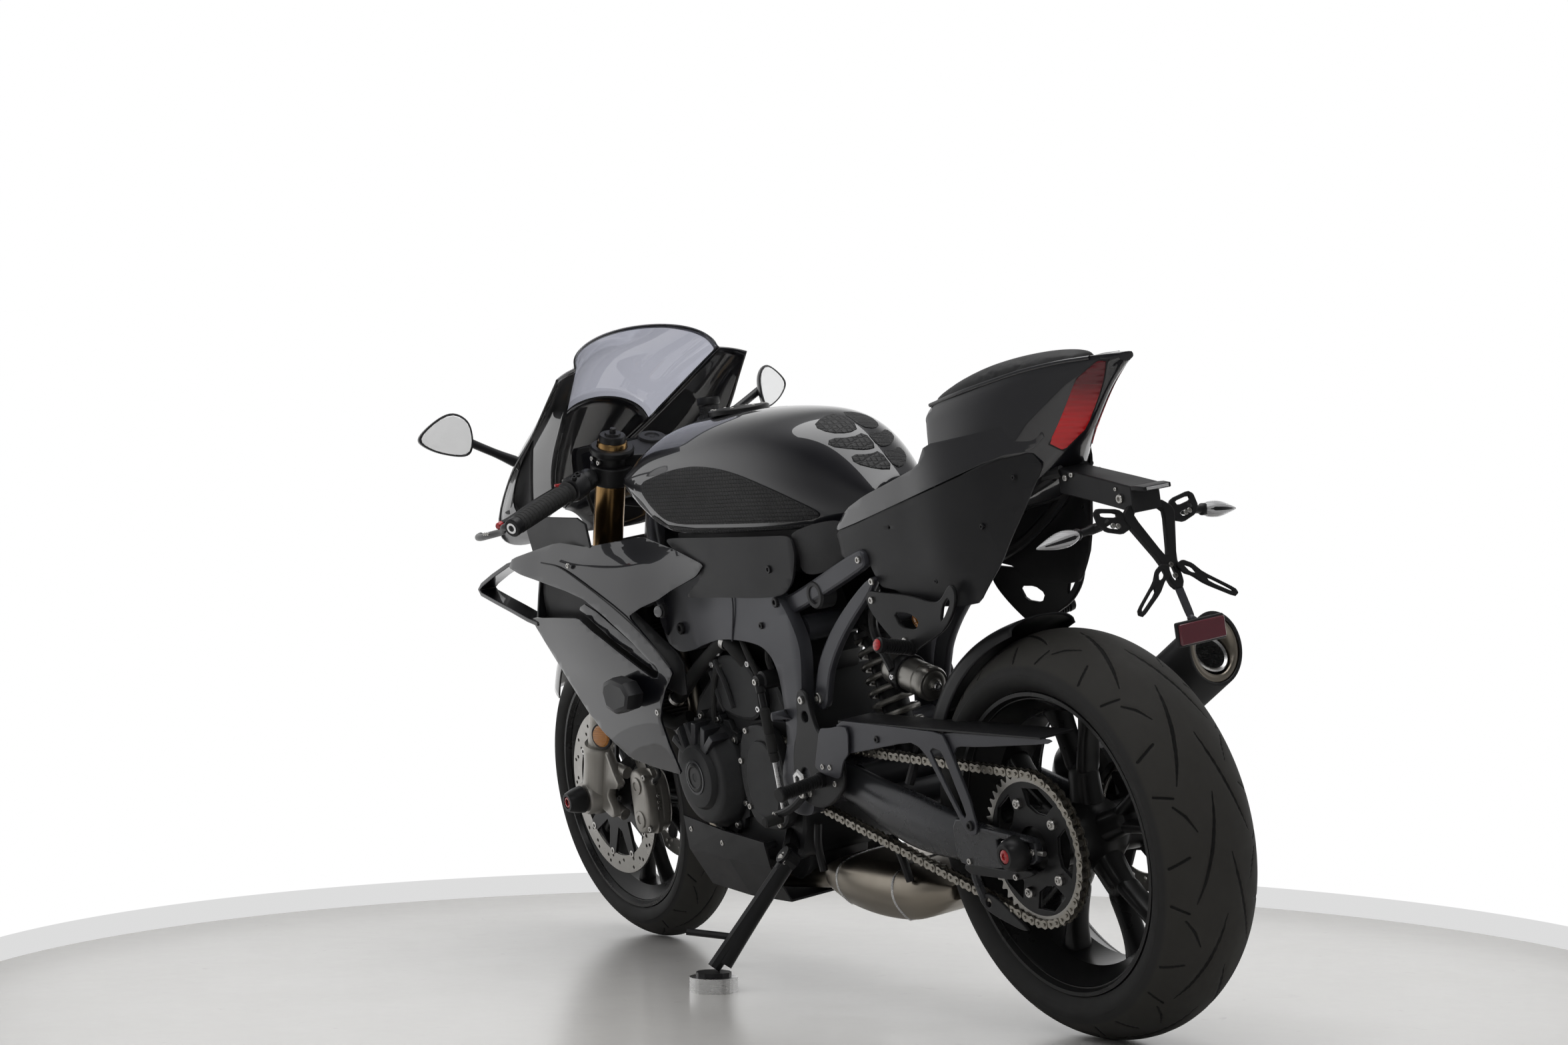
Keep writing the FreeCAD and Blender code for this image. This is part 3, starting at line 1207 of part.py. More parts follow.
def side_fairing():
    """The large side panel with its slot and its swept lower edge, on two bosses."""
    rows = grid([
        [(1330, 206, 880), (1330, 250, 800), (1330, 264, 735), (1330, 256, 680), (1330, 240, 600), (1330, 224, 370)],
        [(1240, 198, 860), (1240, 240, 785), (1240, 252, 715), (1240, 246, 655), (1240, 232, 570), (1240, 216, 370)],
        [(1120, 182, 840), (1120, 222, 770), (1120, 236, 700), (1120, 232, 630), (1120, 220, 540), (1120, 206, 370)],
        [(1000, 170, 822), (1000, 200, 756), (1000, 212, 694), (1000, 210, 620), (1000, 204, 520), (1000, 194, 370)],
        [(880, 160, 812), (880, 174, 750), (880, 184, 690), (880, 184, 620), (880, 184, 520), (880, 182, 370)],
        [(765, 155, 800), (765, 160, 750), (765, 162, 690), (765, 164, 620), (765, 170, 520), (765, 174, 370)],
    ])
    sheet_part = panel(rows, size.panel_wall)
    shape = plate([(x + CHASSIS_SHIFT, z) for x, z in
                   ((963, 812), (771, 755), (868, 717), (905, 700), (983, 674), (889, 569), (920, 541),
                    (949, 487), (915, 386), (1065, 413), (1135, 459), (1170, 496), (1222, 565), (1277, 679),
                    (1310, 790), (1200, 812), (1113, 800))], 100, 300)
    slot = plate([(x + CHASSIS_SHIFT, z) for x, z in ((1171, 677), (1142, 722), (1100, 708), (930, 575),
                                                      (950, 562), (1095, 650))], 100, 300)
    boss = rod(on_chassis(868, 728, size.frame_outer + size.running_gap), on_chassis(868, 728, 172), 10)
    low_boss = rod(on_chassis(954, 518, size.engine_half + size.running_gap), on_chassis(954, 518, 192), 8)
    stud_hole = side_wheel(PROTECTOR, 12 + size.panel_gap, 100, 300)
    return sheet_part.common(shape).cut(slot).fuse([boss, low_boss]).cut(stud_hole)


def duct_loop():
    """The hollow winglet ahead of the side fairing, open across."""
    outer = [(1290, 780), (1361, 768), (1447, 732), (1277, 679), (1215, 706), (1230, 770)]
    inner = [(1290, 764), (1355, 754), (1420, 731), (1282, 692), (1230, 714), (1242, 758)]
    ring = plate([(x + CHASSIS_SHIFT, z) for x, z in outer], 222, 262)
    return ring.cut(plate([(x + CHASSIS_SHIFT, z) for x, z in inner], 200, 270))


piece("side_fairings", pair(side_fairing().fuse(duct_loop())))

# Upper fairing: rows from the rear edge to the nose, each from the screen down to the lower edge
NOSE_ROWS = [
    [(1149, 153, 1122), (1143, 172, 1118), (1137, 190, 1112), (1132, 203, 1106)],
    [(1250, 125, 1064), (1251, 165, 1056), (1252, 198, 1032), (1252, 217, 997)],
    [(1355, 96, 1004), (1352, 150, 1006), (1345, 200, 985), (1332, 225, 952)],
    [(1430, 74, 966), (1432, 130, 960), (1436, 185, 930), (1450, 218, 850)],
    [(1500, 52, 925), (1500, 100, 915), (1498, 150, 880), (1488, 190, 806)],
    [(1560, 28, 882), (1560, 62, 872), (1556, 98, 842), (1540, 120, 792)],
    [(1600, 10, 848), (1600, 26, 842), (1597, 42, 826), (1590, 50, 796)],
]
SCREEN_RISES = [(62, 0.42), (75, 0.42), (58, 0.4), (40, 0.4), (24, 0.4)]


def headlamp(grow):
    """The outline of a lamp lens, seen from the side."""
    return plate([(1506 - grow + CHASSIS_SHIFT, 812 - grow), (1552 + grow + CHASSIS_SHIFT, 804 - grow),
                  (1564 + grow + CHASSIS_SHIFT, 846 + grow), (1512 - grow + CHASSIS_SHIFT, 862 + grow)], 20, 300)


SCREEN_INSET = 0.8


def screen_rows():
    """Arches between the two upper edges of the fairing, from the rear edge forwards."""
    rows = []
    for (x, y, z), (rise, lean_back) in zip([row[0] for row in NOSE_ROWS], SCREEN_RISES):
        line = []
        for k in range(9):
            turn = math.pi * k / 8
            up = math.sin(turn) * rise
            line.append(on_chassis(x + up * lean_back, z + up - 0.2, (y - SCREEN_INSET) * math.cos(turn)))
        rows.append(line)
    return rows


def windscreen():
    return panel(screen_rows(), -size.screen_wall)


def upper_fairing():
    left = panel(grid(NOSE_ROWS), -size.panel_wall).cut(headlamp(size.panel_gap))
    top_rows = grid([[(x, y + 1, z + 0.5), (x + 0.32 * y, 0, z + 0.35 * y), (x, -y - 1, z + 0.5)]
                     for x, y, z in [(1505, 51, 921)] + [row[0] for row in NOSE_ROWS[5:]]])
    top = panel(top_rows, -size.panel_wall)
    chin = panel(grid([[(x, y - 1, z + 1), (x + 4, 0, z - 4), (x, 1 - y, z + 1)]
                       for x, y, z in [row[3] for row in NOSE_ROWS[4:]]]), size.panel_wall)
    arm = bent_bar([on_chassis(1346.2, 938, -1), on_chassis(1398, 930, 203)], 6, 1, 6)
    return both_sides(left.fuse(arm)).fuse([top, chin])


piece("upper_fairing", upper_fairing())
piece("windscreen", windscreen())


def mirror():
    outer = size.mirror_half
    rim_points = [(310, 1020), (322, 1062), (340, 1076), (outer - 16, 1048), (outer, 1030), (360, 996), (316, 990)]
    front = [(322, 1024), (330, 1052), (344, 1062), (outer - 26, 1042), (outer - 18, 1030), (356, 1004), (326, 1002)]

    def slant(y):
        return 1284 + (y - 310) * 0.5

    head = skin([[on_chassis(slant(y), z, y) for y, z in rim_points],
                 [on_chassis(slant(y) + 26, z, y) for y, z in front]])
    stalk = bent_bar([on_chassis(1330, 972, 222), on_chassis(1322, 1000, 280), on_chassis(1312, 1022, 330)], 10, 30, 8)
    return head.fuse(stalk)


def belly_pan():
    rows = grid([
        [(1010, 140, 300), (1010, 138, 240), (1010, 104, 170), (1010, -104, 170), (1010, -138, 240), (1010, -140, 300)],
        [(880, 138, 282), (880, 134, 230), (880, 102, 160), (880, -102, 160), (880, -134, 230), (880, -138, 282)],
        [(750, 134, 270), (750, 128, 226), (750, 98, 160), (750, -98, 160), (750, -128, 226), (750, -134, 270)],
    ])
    pan = panel(rows, size.panel_wall)
    posts = both_sides(rod(on_chassis(770, 258, size.engine_half + size.running_gap), on_chassis(770, 258, 131), 7))
    return pan.fuse(posts)


piece("mirrors", pair(mirror()))
piece("belly_pan", belly_pan())
piece("headlamps", pair(headlamp(0).common(panel(grid(NOSE_ROWS), -size.panel_wall))))


def footrest():
    """The rider's footrest plate, its heel guard, peg and lever link."""
    near = cell.frame_outer + cell.panel_gap
    hanger = side_plate([(578, 440), (560, 470), (540, 540), (525, 540), (520, 450), (456, 470), (452, 380),
                         (520, 350), (578, 356)], near, 7.6)
    guard = side_plate([(456, 485), (409, 489), (454, 405), (520, 418)], near + 8.6, 3.0)
    peg = plain(rod(on_chassis(510, 396, size.frame_outer + 7), on_chassis(500, 390, 240), 11))
    link = plain(rod(on_chassis(505, 430, size.frame_outer + 4), on_chassis(480, 450, size.frame_outer + 10), 8))
    return joined([hanger, guard, peg, link])


def passenger_peg():
    inside = 119.4
    hanger = plate([(x + CHASSIS_SHIFT, z) for x, z in
                    ((330, 700), (290, 700), (128, 690), (150, 640), (230, 600), (300, 640))], inside, inside + 6)
    slot = plate([(x + CHASSIS_SHIFT, z) for x, z in ((250, 660), (200, 662), (190, 644), (240, 636))],
                 inside - 10, inside + 12)
    peg = rod(on_chassis(225, 618, inside + 5), on_chassis(222, 634, 190), 10)
    boss = rod(on_chassis(300, 690, 98.4), on_chassis(300, 690, inside + 1), 7, 8)
    return hanger.cut(slot).fuse([peg, boss])


def crash_protector():
    stud = side_wheel(PROTECTOR, 12, size.engine_half + size.running_gap, 224)
    block = plate([(x + CHASSIS_SHIFT, z) for x, z in
                   ((1050, 545), (1030, 568), (965, 562), (950, 540), (965, 512), (1040, 508))], 218, 254)
    return block.fuse(stud)


def dash():
    back = 1339.6 + CHASSIS_SHIFT
    panel_box = box(back - 20, back, -88, 88, 900, 968)
    return panel_box


piece("footrests", with_mirror(footrest()))
piece("passenger_pegs", pair(passenger_peg()))
piece("crash_protectors", pair(crash_protector()))
piece("dash", dash())


# Side stand and its puck, found in the leaned position
def lean_back(point):
    """An upright point for a point of the leaned motorcycle."""
    y, z = point.y, point.z
    return Vector(point.x, y * math.cos(LEAN) - z * math.sin(LEAN), y * math.sin(LEAN) + z * math.cos(LEAN))


STAND_PIVOT = on_chassis(680, 247, 134)
STAND_FOOT = lean_back(on_chassis(722, size.puck_height, 296))
FLOOR_UP = lean_back(Vector(0, 0, 1))
STAND_WAY = (STAND_FOOT + FLOOR_UP * 14 - STAND_PIVOT).normalize()
STAND_FOLDED = Vector(-0.97, 0.2, -0.05).normalize()
STAND_AXIS = STAND_WAY.cross(STAND_FOLDED).normalize()
EYE_HALF = 8


def side_stand():
    foot_top = STAND_FOOT + FLOOR_UP * 14
    leg = bent_bar([STAND_PIVOT, foot_top], 12, 1)
    foot = rod(STAND_FOOT + FLOOR_UP * size.running_gap, STAND_FOOT + FLOOR_UP * 8, 30)
    eye = rod(STAND_PIVOT - STAND_AXIS * EYE_HALF, STAND_PIVOT + STAND_AXIS * EYE_HALF, 17)
    bore = rod(STAND_PIVOT - STAND_AXIS * 9, STAND_PIVOT + STAND_AXIS * 9, size.stand_pin_radius + size.running_gap)
    trim = rod(STAND_PIVOT - STAND_AXIS * 30, STAND_PIVOT - STAND_AXIS * EYE_HALF, 26)
    trim = trim.fuse(rod(STAND_PIVOT + STAND_AXIS * EYE_HALF, STAND_PIVOT + STAND_AXIS * 30, 26))
    prong_root = STAND_PIVOT + (foot_top - STAND_PIVOT) * 0.72
    prong = bent_bar([prong_root, prong_root + Vector(55, 60, 18)], 6, 1)
    return leg.cut(trim).fuse([foot, eye, prong]).cut(bore)


def stand_bracket():
    """A clevis on the crankcase with the pivot pin of the stand."""
    inward = (STAND_WAY + STAND_FOLDED).normalize() * -1
    gap = EYE_HALF + size.running_gap
    ears = []
    for way in (-1, 1):
        near = STAND_PIVOT + STAND_AXIS * way * gap
        ears.append(rod(near, near + STAND_AXIS * way * 6, 16))
        ears.append(bent_bar([near + STAND_AXIS * way * 3, near + STAND_AXIS * way * 3 + inward * 60], 2.9, 1, 6))
    pin = rod(STAND_PIVOT - STAND_AXIS * (gap + 3), STAND_PIVOT + STAND_AXIS * (gap + 3), size.stand_pin_radius)
    arm = bent_bar([STAND_PIVOT + inward * 22, STAND_PIVOT + inward * 90], 15, 1)
    return arm.fuse(ears + [pin]).cut(box(500, 900, -100, size.engine_half + size.running_gap, 100, 500))


def puck():
    return prism(STAND_FOOT - FLOOR_UP * size.puck_height, FLOOR_UP, cell.puck_radius, cell.puck_height, 32)


piece("side_stand", side_stand())
piece("stand_bracket", stand_bracket())
piece("stand_puck", puck())

doc.recompute()

# Lean every piece and stand it on the floor, with the middle of the box at the origin
lean_only = Placement(Vector(0, 0, 0), Rotation(Vector(1, 0, 0), -size.lean_angle))
bounds = FreeCAD.BoundBox()
for item in PIECES:
    bounds.add(item.Shape.transformed(lean_only.toMatrix()).BoundBox)
middle = Vector((bounds.XMin + bounds.XMax) / 2, (bounds.YMin + bounds.YMax) / 2, 0)
standing = Placement(-middle, lean_only.Rotation)
for item in PIECES:
    item.Placement = standing.multiply(item.Placement)
doc.recompute()

for item in doc.Objects:
    if "Invalid" in item.State or "Error" in item.State:
        raise RuntimeError("failed: " + item.Label)
for item in PIECES:
    if item.Shape.isNull() or not item.Shape.isValid() or not item.Shape.Solids:
        raise RuntimeError("bad shape: " + item.Label)

os.makedirs("parts", exist_ok=True)
for item in PIECES:
    item.Shape.exportStep(os.path.join("parts", item.Label + ".step"))


def report(name, point, way=None):
    spot = standing.multVec(point)
    text = "%s at %.3f %.3f %.3f" % (name, spot.x, spot.y, spot.z)
    if way:
        turned = standing.Rotation.multVec(way)
        text += " along %.6f %.6f %.6f" % (turned.x, turned.y, turned.z)
    print(text)


report("rear_axle", REAR_AXLE, SIDE)
report("front_axle", FRONT_AXLE, SIDE)
report("steering", on_stem(600), STEER_AXIS)
report("side_stand", STAND_PIVOT, STAND_AXIS)
print("fold", math.degrees(STAND_WAY.getAngle(STAND_FOLDED)))
report("spool_left", REAR_AXLE + SIDE * (size.swingarm_outer + 6), SIDE)
report("spool_right", REAR_AXLE - SIDE * (size.swingarm_outer + 6), -SIDE)
report("plate", on_chassis(-292, 687), Vector(-1, 0, 0))
print("pieces", len(PIECES), "box", bounds.XLength, bounds.YLength, bounds.ZLength, "zmin", bounds.ZMin)
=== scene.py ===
import json
import math

import bmesh
import bpy
from mathutils import Matrix, Vector
from mathutils.bvhtree import BVHTree


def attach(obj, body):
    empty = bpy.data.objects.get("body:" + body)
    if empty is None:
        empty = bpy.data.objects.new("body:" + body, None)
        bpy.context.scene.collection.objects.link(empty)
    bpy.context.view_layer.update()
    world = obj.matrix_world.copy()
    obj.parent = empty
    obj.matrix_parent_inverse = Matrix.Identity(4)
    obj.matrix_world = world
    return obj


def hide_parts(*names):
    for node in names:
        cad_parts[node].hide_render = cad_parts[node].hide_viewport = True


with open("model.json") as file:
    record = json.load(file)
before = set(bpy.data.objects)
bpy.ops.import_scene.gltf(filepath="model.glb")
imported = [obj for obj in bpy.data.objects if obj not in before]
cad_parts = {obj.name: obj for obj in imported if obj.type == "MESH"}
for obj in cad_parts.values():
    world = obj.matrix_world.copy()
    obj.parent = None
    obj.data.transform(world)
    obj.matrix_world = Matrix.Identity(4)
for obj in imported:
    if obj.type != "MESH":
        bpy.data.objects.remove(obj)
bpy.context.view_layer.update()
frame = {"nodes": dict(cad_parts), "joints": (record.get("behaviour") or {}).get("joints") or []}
print("frame loaded")

# The motorcycle is drawn upright in millimetres: x forward, y left, z up, rear axle over x = 0.
joints = {joint["name"]: joint for joint in frame["joints"]}
rearAxle = Vector(joints["rear_wheel"]["pos_m"])
frontAxle = Vector(joints["front_wheel"]["pos_m"])
sideWay = Vector(joints["rear_wheel"]["axis"]).normalized()
upWay = Vector((1, 0, 0)).cross(sideWay)
leanTurn = Matrix((Vector((1, 0, 0)), sideWay, upWay)).transposed().to_4x4()
rearRadius = 315
frontRadius = 300
wheelbase = 1420
bikePlace = Matrix.Translation(rearAxle - upWay * (rearRadius / 1000)) @ leanTurn
rearPlace = Matrix.Translation(rearAxle) @ leanTurn
frontPlace = Matrix.Translation(frontAxle) @ leanTurn
rake = math.radians(22.4)
bothSides = ((1, "Left"), (-1, "Right"))
forkUp = Vector((-math.sin(rake), 0, math.cos(rake)))
forkAhead = Vector((math.cos(rake), 0, math.sin(rake)))


def onFork(along, side=0, ahead=0):
    return Vector((wheelbase, side, frontRadius)) + forkUp * along + forkAhead * ahead


# Node groups that several finishes share
def makeGroup(name, inputs, outputs):
    group = bpy.data.node_groups.new(name, "ShaderNodeTree")
    for label, kind, value in inputs:
        group.interface.new_socket(name=label, in_out="INPUT", socket_type=kind).default_value = value
    for label, kind in outputs:
        group.interface.new_socket(name=label, in_out="OUTPUT", socket_type=kind)
    return group, group.nodes.new("NodeGroupInput"), group.nodes.new("NodeGroupOutput")


def addNode(tree, kind, values=(), **settings):
    node = tree.nodes.new("ShaderNode" + kind)
    for name, value in settings.items():
        setattr(node, name, value)
    for socket, value in dict(values).items():
        if isinstance(value, bpy.types.NodeSocket):
            tree.links.new(value, node.inputs[socket])
        else:
            node.inputs[socket].default_value = value
    return node


def calc(tree, operation, first, second=0.0, third=0.0):
    return addNode(tree, "Math", {0: first, 1: second, 2: third}, operation=operation).outputs[0]


def makeGrainGroup():
    group, entry, leave = makeGroup(
        "mouldedGrain",
        [("Vector", "NodeSocketVector", (0, 0, 0)), ("Scale", "NodeSocketFloat", 900.0),
         ("Cells", "NodeSocketFloat", 0.5)],
        [("Height", "NodeSocketFloat")])
    noise = addNode(
        group, "TexNoise",
        {"Vector": entry.outputs["Vector"], "Scale": entry.outputs["Scale"], "Detail": 4.0})
    cells = addNode(
        group, "TexVoronoi", {"Vector": entry.outputs["Vector"], "Scale": entry.outputs["Scale"]},
        feature="DISTANCE_TO_EDGE")
    rounded = calc(group, "MULTIPLY", cells.outputs["Distance"], entry.outputs["Cells"])
    group.links.new(calc(group, "ADD", noise.outputs["Fac"], rounded), leave.inputs["Height"])
    return group


def makeWearGroup():
    group, entry, leave = makeGroup(
        "handlingWear",
        [("Vector", "NodeSocketVector", (0, 0, 0)), ("Scale", "NodeSocketFloat", 6.0),
         ("Smooth", "NodeSocketFloat", 0.2), ("Rough", "NodeSocketFloat", 0.4),
         ("Color", "NodeSocketColor", (0, 0, 0, 1)), ("Dust", "NodeSocketColor", (0.2, 0.2, 0.2, 1)),
         ("Amount", "NodeSocketFloat", 0.05)],
        [("Roughness", "NodeSocketFloat"), ("Color", "NodeSocketColor")])
    broad = addNode(
        group, "TexNoise",
        {"Vector": entry.outputs["Vector"], "Scale": entry.outputs["Scale"], "Detail": 6.0,
         "Roughness": 0.65})
    spread = addNode(
        group, "MapRange",
        {"Value": broad.outputs["Fac"], "From Min": 0.3, "From Max": 0.7, "To Min": entry.outputs["Smooth"],
         "To Max": entry.outputs["Rough"]})
    share = calc(group, "MULTIPLY", broad.outputs["Fac"], entry.outputs["Amount"])
    tinted = addNode(
        group, "Mix", {0: share, 6: entry.outputs["Color"], 7: entry.outputs["Dust"]}, data_type="RGBA")
    group.links.new(spread.outputs["Result"], leave.inputs["Roughness"])
    group.links.new(tinted.outputs[2], leave.inputs["Color"])
    return group


grainGroup = makeGrainGroup()
wearGroup = makeWearGroup()


def makeFinish(
        name, colour, rough, metallic=0.0, coat=0.0, grain=0.0, grainDepth=0.1, cells=0.5,
        wearScale=6.0, dust=0.02, dustColour=(0.16, 0.155, 0.15), stretch=(1, 1, 1), gloss=0.3, coatIor=1.5):
    finish = bpy.data.materials.new(name)
    finish.use_nodes = True
    tree = finish.node_tree
    shader = tree.nodes["Principled BSDF"]
    shader.inputs["Metallic"].default_value = metallic
    shader.inputs["IOR"].default_value = 1.5
    shader.inputs["Coat Weight"].default_value = coat
    shader.inputs["Coat Roughness"].default_value = 0.02
    shader.inputs["Coat IOR"].default_value = coatIor
    shader.inputs["Specular IOR Level"].default_value = gloss
    place = addNode(tree, "TexCoord").outputs["Object"]
    scaled = addNode(tree, "Mapping", {"Vector": place, "Scale": stretch}).outputs[0]
    wear = addNode(tree, "Group", node_tree=wearGroup)
    tree.links.new(scaled, wear.inputs["Vector"])
    wear.inputs["Scale"].default_value = wearScale
    wear.inputs["Smooth"].default_value = rough[0]
    wear.inputs["Rough"].default_value = rough[1]
    wear.inputs["Color"].default_value = (*colour, 1)
    wear.inputs["Dust"].default_value = (*dustColour, 1)
    wear.inputs["Amount"].default_value = dust
    tree.links.new(wear.outputs["Roughness"], shader.inputs["Roughness"])
    tree.links.new(wear.outputs["Color"], shader.inputs["Base Color"])
    if grain:
        pores = addNode(tree, "Group", node_tree=grainGroup)
        tree.links.new(scaled, pores.inputs["Vector"])
        pores.inputs["Scale"].default_value = grain
        pores.inputs["Cells"].default_value = cells
        bump = addNode(
            tree, "Bump", {"Height": pores.outputs["Height"], "Strength": grainDepth, "Distance": 0.0005})
        tree.links.new(bump.outputs["Normal"], shader.inputs["Normal"])
    return finish


glossPaint = makeFinish(
    "glossPaint", (0.006, 0.006, 0.009), (0.30, 0.40), metallic=0.2, coat=1.0, grain=2600,
    grainDepth=0.008, dust=0.01, coatIor=1.7)
satinPlastic = makeFinish(
    "satinPlastic", (0.012, 0.012, 0.0135), (0.36, 0.5), grain=1500, grainDepth=0.12)
framePaint = makeFinish(
    "framePaint", (0.045, 0.046, 0.054), (0.30, 0.42), metallic=0.4, grain=1800,
    grainDepth=0.08, gloss=0.6)
armPaint = makeFinish(
    "armPaint", (0.030, 0.031, 0.035), (0.24, 0.34), metallic=0.4, grain=1300, grainDepth=0.06,
    gloss=0.6)
castBlack = makeFinish(
    "castBlack", (0.018, 0.0185, 0.020), (0.42, 0.6), metallic=0.2, grain=700,
    grainDepth=0.25)
blackMetal = makeFinish(
    "blackMetal", (0.014, 0.014, 0.015), (0.3, 0.45), metallic=0.3, grain=1600,
    grainDepth=0.08)
wheelBlack = makeFinish(
    "wheelBlack", (0.010, 0.010, 0.0105), (0.24, 0.36), metallic=0.1, grain=1400,
    grainDepth=0.05)
gripRubber = makeFinish(
    "gripRubber", (0.018, 0.018, 0.018), (0.6, 0.8), grain=900, grainDepth=0.3)
brushedSteel = makeFinish(
    "brushedSteel", (0.36, 0.35, 0.33), (0.24, 0.42), metallic=1.0, wearScale=40, grain=900,
    grainDepth=0.1, stretch=(1, 0.2, 1), dust=0.1)
boltSteel = makeFinish("boltSteel", (0.55, 0.54, 0.52), (0.22, 0.4), metallic=1.0, wearScale=60)
chainSteel = makeFinish(
    "chainSteel", (0.40, 0.38, 0.34), (0.26, 0.46), metallic=1.0, wearScale=120, dust=0.3,
    dustColour=(0.06, 0.05, 0.04))
forkGrey = makeFinish(
    "forkGrey", (0.36, 0.345, 0.32), (0.3, 0.42), metallic=0.75, grain=900, grainDepth=0.08)
forkGold = makeFinish("forkGold", (0.36, 0.22, 0.09), (0.2, 0.3), metallic=1.0)
silverMetal = makeFinish(
    "silverMetal", (0.75, 0.75, 0.75), (0.2, 0.35), metallic=1.0, wearScale=30, grain=700,
    grainDepth=0.06, stretch=(1, 1, 8))
exhaustSteel = makeFinish(
    "exhaustSteel", (0.33, 0.30, 0.255), (0.26, 0.42), metallic=1.0, wearScale=10, grain=500,
    grainDepth=0.1, dust=0.12, dustColour=(0.3, 0.2, 0.1))
pipeBlack = makeFinish(
    "pipeBlack", (0.03, 0.03, 0.031), (0.3, 0.45), metallic=0.6, grain=900, grainDepth=0.08)
radiatorBlack = makeFinish("radiatorBlack", (0.012, 0.012, 0.012), (0.5, 0.6), metallic=0.4)
springGrey = makeFinish("springGrey", (0.30, 0.29, 0.27), (0.26, 0.4), metallic=0.9)
mirrorShell = makeFinish(
    "mirrorShell", (0.016, 0.016, 0.018), (0.26, 0.36), coat=0.4, grain=1800,
    grainDepth=0.06)
print("finishes made")


# Special finishes
def glassFinish(name, colour, rough, weight):
    finish = makeFinish(name, colour, rough, coat=0.5, dust=0.01)
    finish.node_tree.nodes["Principled BSDF"].inputs["Transmission Weight"].default_value = weight
    return finish


def lensFinish(name, colour, ribs):
    finish = glassFinish(name, colour, (0.04, 0.09), 0.35)
    tree = finish.node_tree
    place = addNode(tree, "TexCoord").outputs["Object"]
    wave = addNode(tree, "TexWave", {"Vector": place, "Scale": ribs}, bands_direction="Z")
    bump = addNode(tree, "Bump", {"Height": wave.outputs["Fac"], "Strength": 0.35, "Distance": 0.002})
    tree.links.new(bump.outputs["Normal"], tree.nodes["Principled BSDF"].inputs["Normal"])
    return finish


smokeScreen = glassFinish("smokeScreen", (0.50, 0.51, 0.58), (0.02, 0.04), 0.9)
redLens = lensFinish("redLens", (0.50, 0.015, 0.02), 55)


def lampFinish():
    finish = lensFinish("lampRed", (0.50, 0.015, 0.02), 40)
    tree = finish.node_tree
    height = addNode(tree, "SeparateXYZ", {0: addNode(tree, "TexCoord").outputs["Object"]}).outputs["Z"]
    share = addNode(tree, "MapRange", {"Value": height, "From Min": 0.925, "From Max": 0.975})
    shade = addNode(
        tree, "Mix", {0: share.outputs["Result"], 6: (0.75, 0.012, 0.016, 1), 7: (0.14, 0.006, 0.012, 1)},
        data_type="RGBA")
    tree.links.new(shade.outputs[2], tree.nodes["Principled BSDF"].inputs["Base Color"])
    return finish


lampRed = lampFinish()
darkLens = makeFinish(
    "darkLens", (0.085, 0.010, 0.018), (0.16, 0.24), coat=0.6, grain=420, grainDepth=0.2,
    gloss=0.5)
clearLens = lensFinish("clearLens", (0.55, 0.55, 0.56), 130)
amberLens = lensFinish("amberLens", (0.62, 0.24, 0.03), 90)
mirrorFace = makeFinish(
    "mirrorFace", (0.95, 0.955, 0.96), (0.02, 0.05), metallic=0.2, dust=0.01)


def padFinish(name, spread):
    finish = makeFinish(name, (0.020, 0.020, 0.021), (0.5, 0.66))
    tree = finish.node_tree
    place = addNode(tree, "TexCoord").outputs["Object"]
    turned = addNode(tree, "Mapping", {"Vector": place, "Scale": spread}).outputs[0]
    cells = addNode(
        tree, "TexVoronoi", {"Vector": turned, "Scale": 125.0, "Randomness": 0.12},
        feature="DISTANCE_TO_EDGE").outputs["Distance"]
    ridge = addNode(tree, "MapRange", {"Value": cells, "From Min": 0.02, "From Max": 0.16})
    bump = addNode(tree, "Bump", {"Height": ridge.outputs["Result"], "Strength": 0.9, "Distance": 0.0012})
    tree.links.new(bump.outputs["Normal"], tree.nodes["Principled BSDF"].inputs["Normal"])
    return finish


padRubber = padFinish("padRubber", (1, 0.001, 1.25))
padBack = padFinish("padBack", (0.5, 1, 1.0))
seatCover = makeFinish(
    "seatCover", (0.016, 0.016, 0.017), (0.5, 0.62), grain=650, grainDepth=0.35, cells=1.4)

# Tread pattern: "dark" is painted shade, a near-black colour laid into the grooves where the recess is
# shaded; "worn" is the lighter worn rubber of the tread band.
treadSettings = {
    "span": 178.0, "reach": 98.0, "deep": 1.9, "dark": (0.004, 0.004, 0.004), "worn": (0.036, 0.0335, 0.029),
    "cuts": [
        [(0.02, 0.06, 0.6), (0.20, 0.13, 2.0), (0.46, 0.26, 2.6), (0.72, 0.42, 2.0), (0.90, 0.55, 0.5)],
        [(0.50, 0.62, 1.6), (0.58, 0.93, 2.2)], [(0.99, 0.66, 1.6), (0.93, 0.92, 2.0)],
        [(0.30, 0.44, 0.5), (0.16, 0.56, 1.8), (0.06, 0.70, 1.2)]],
}


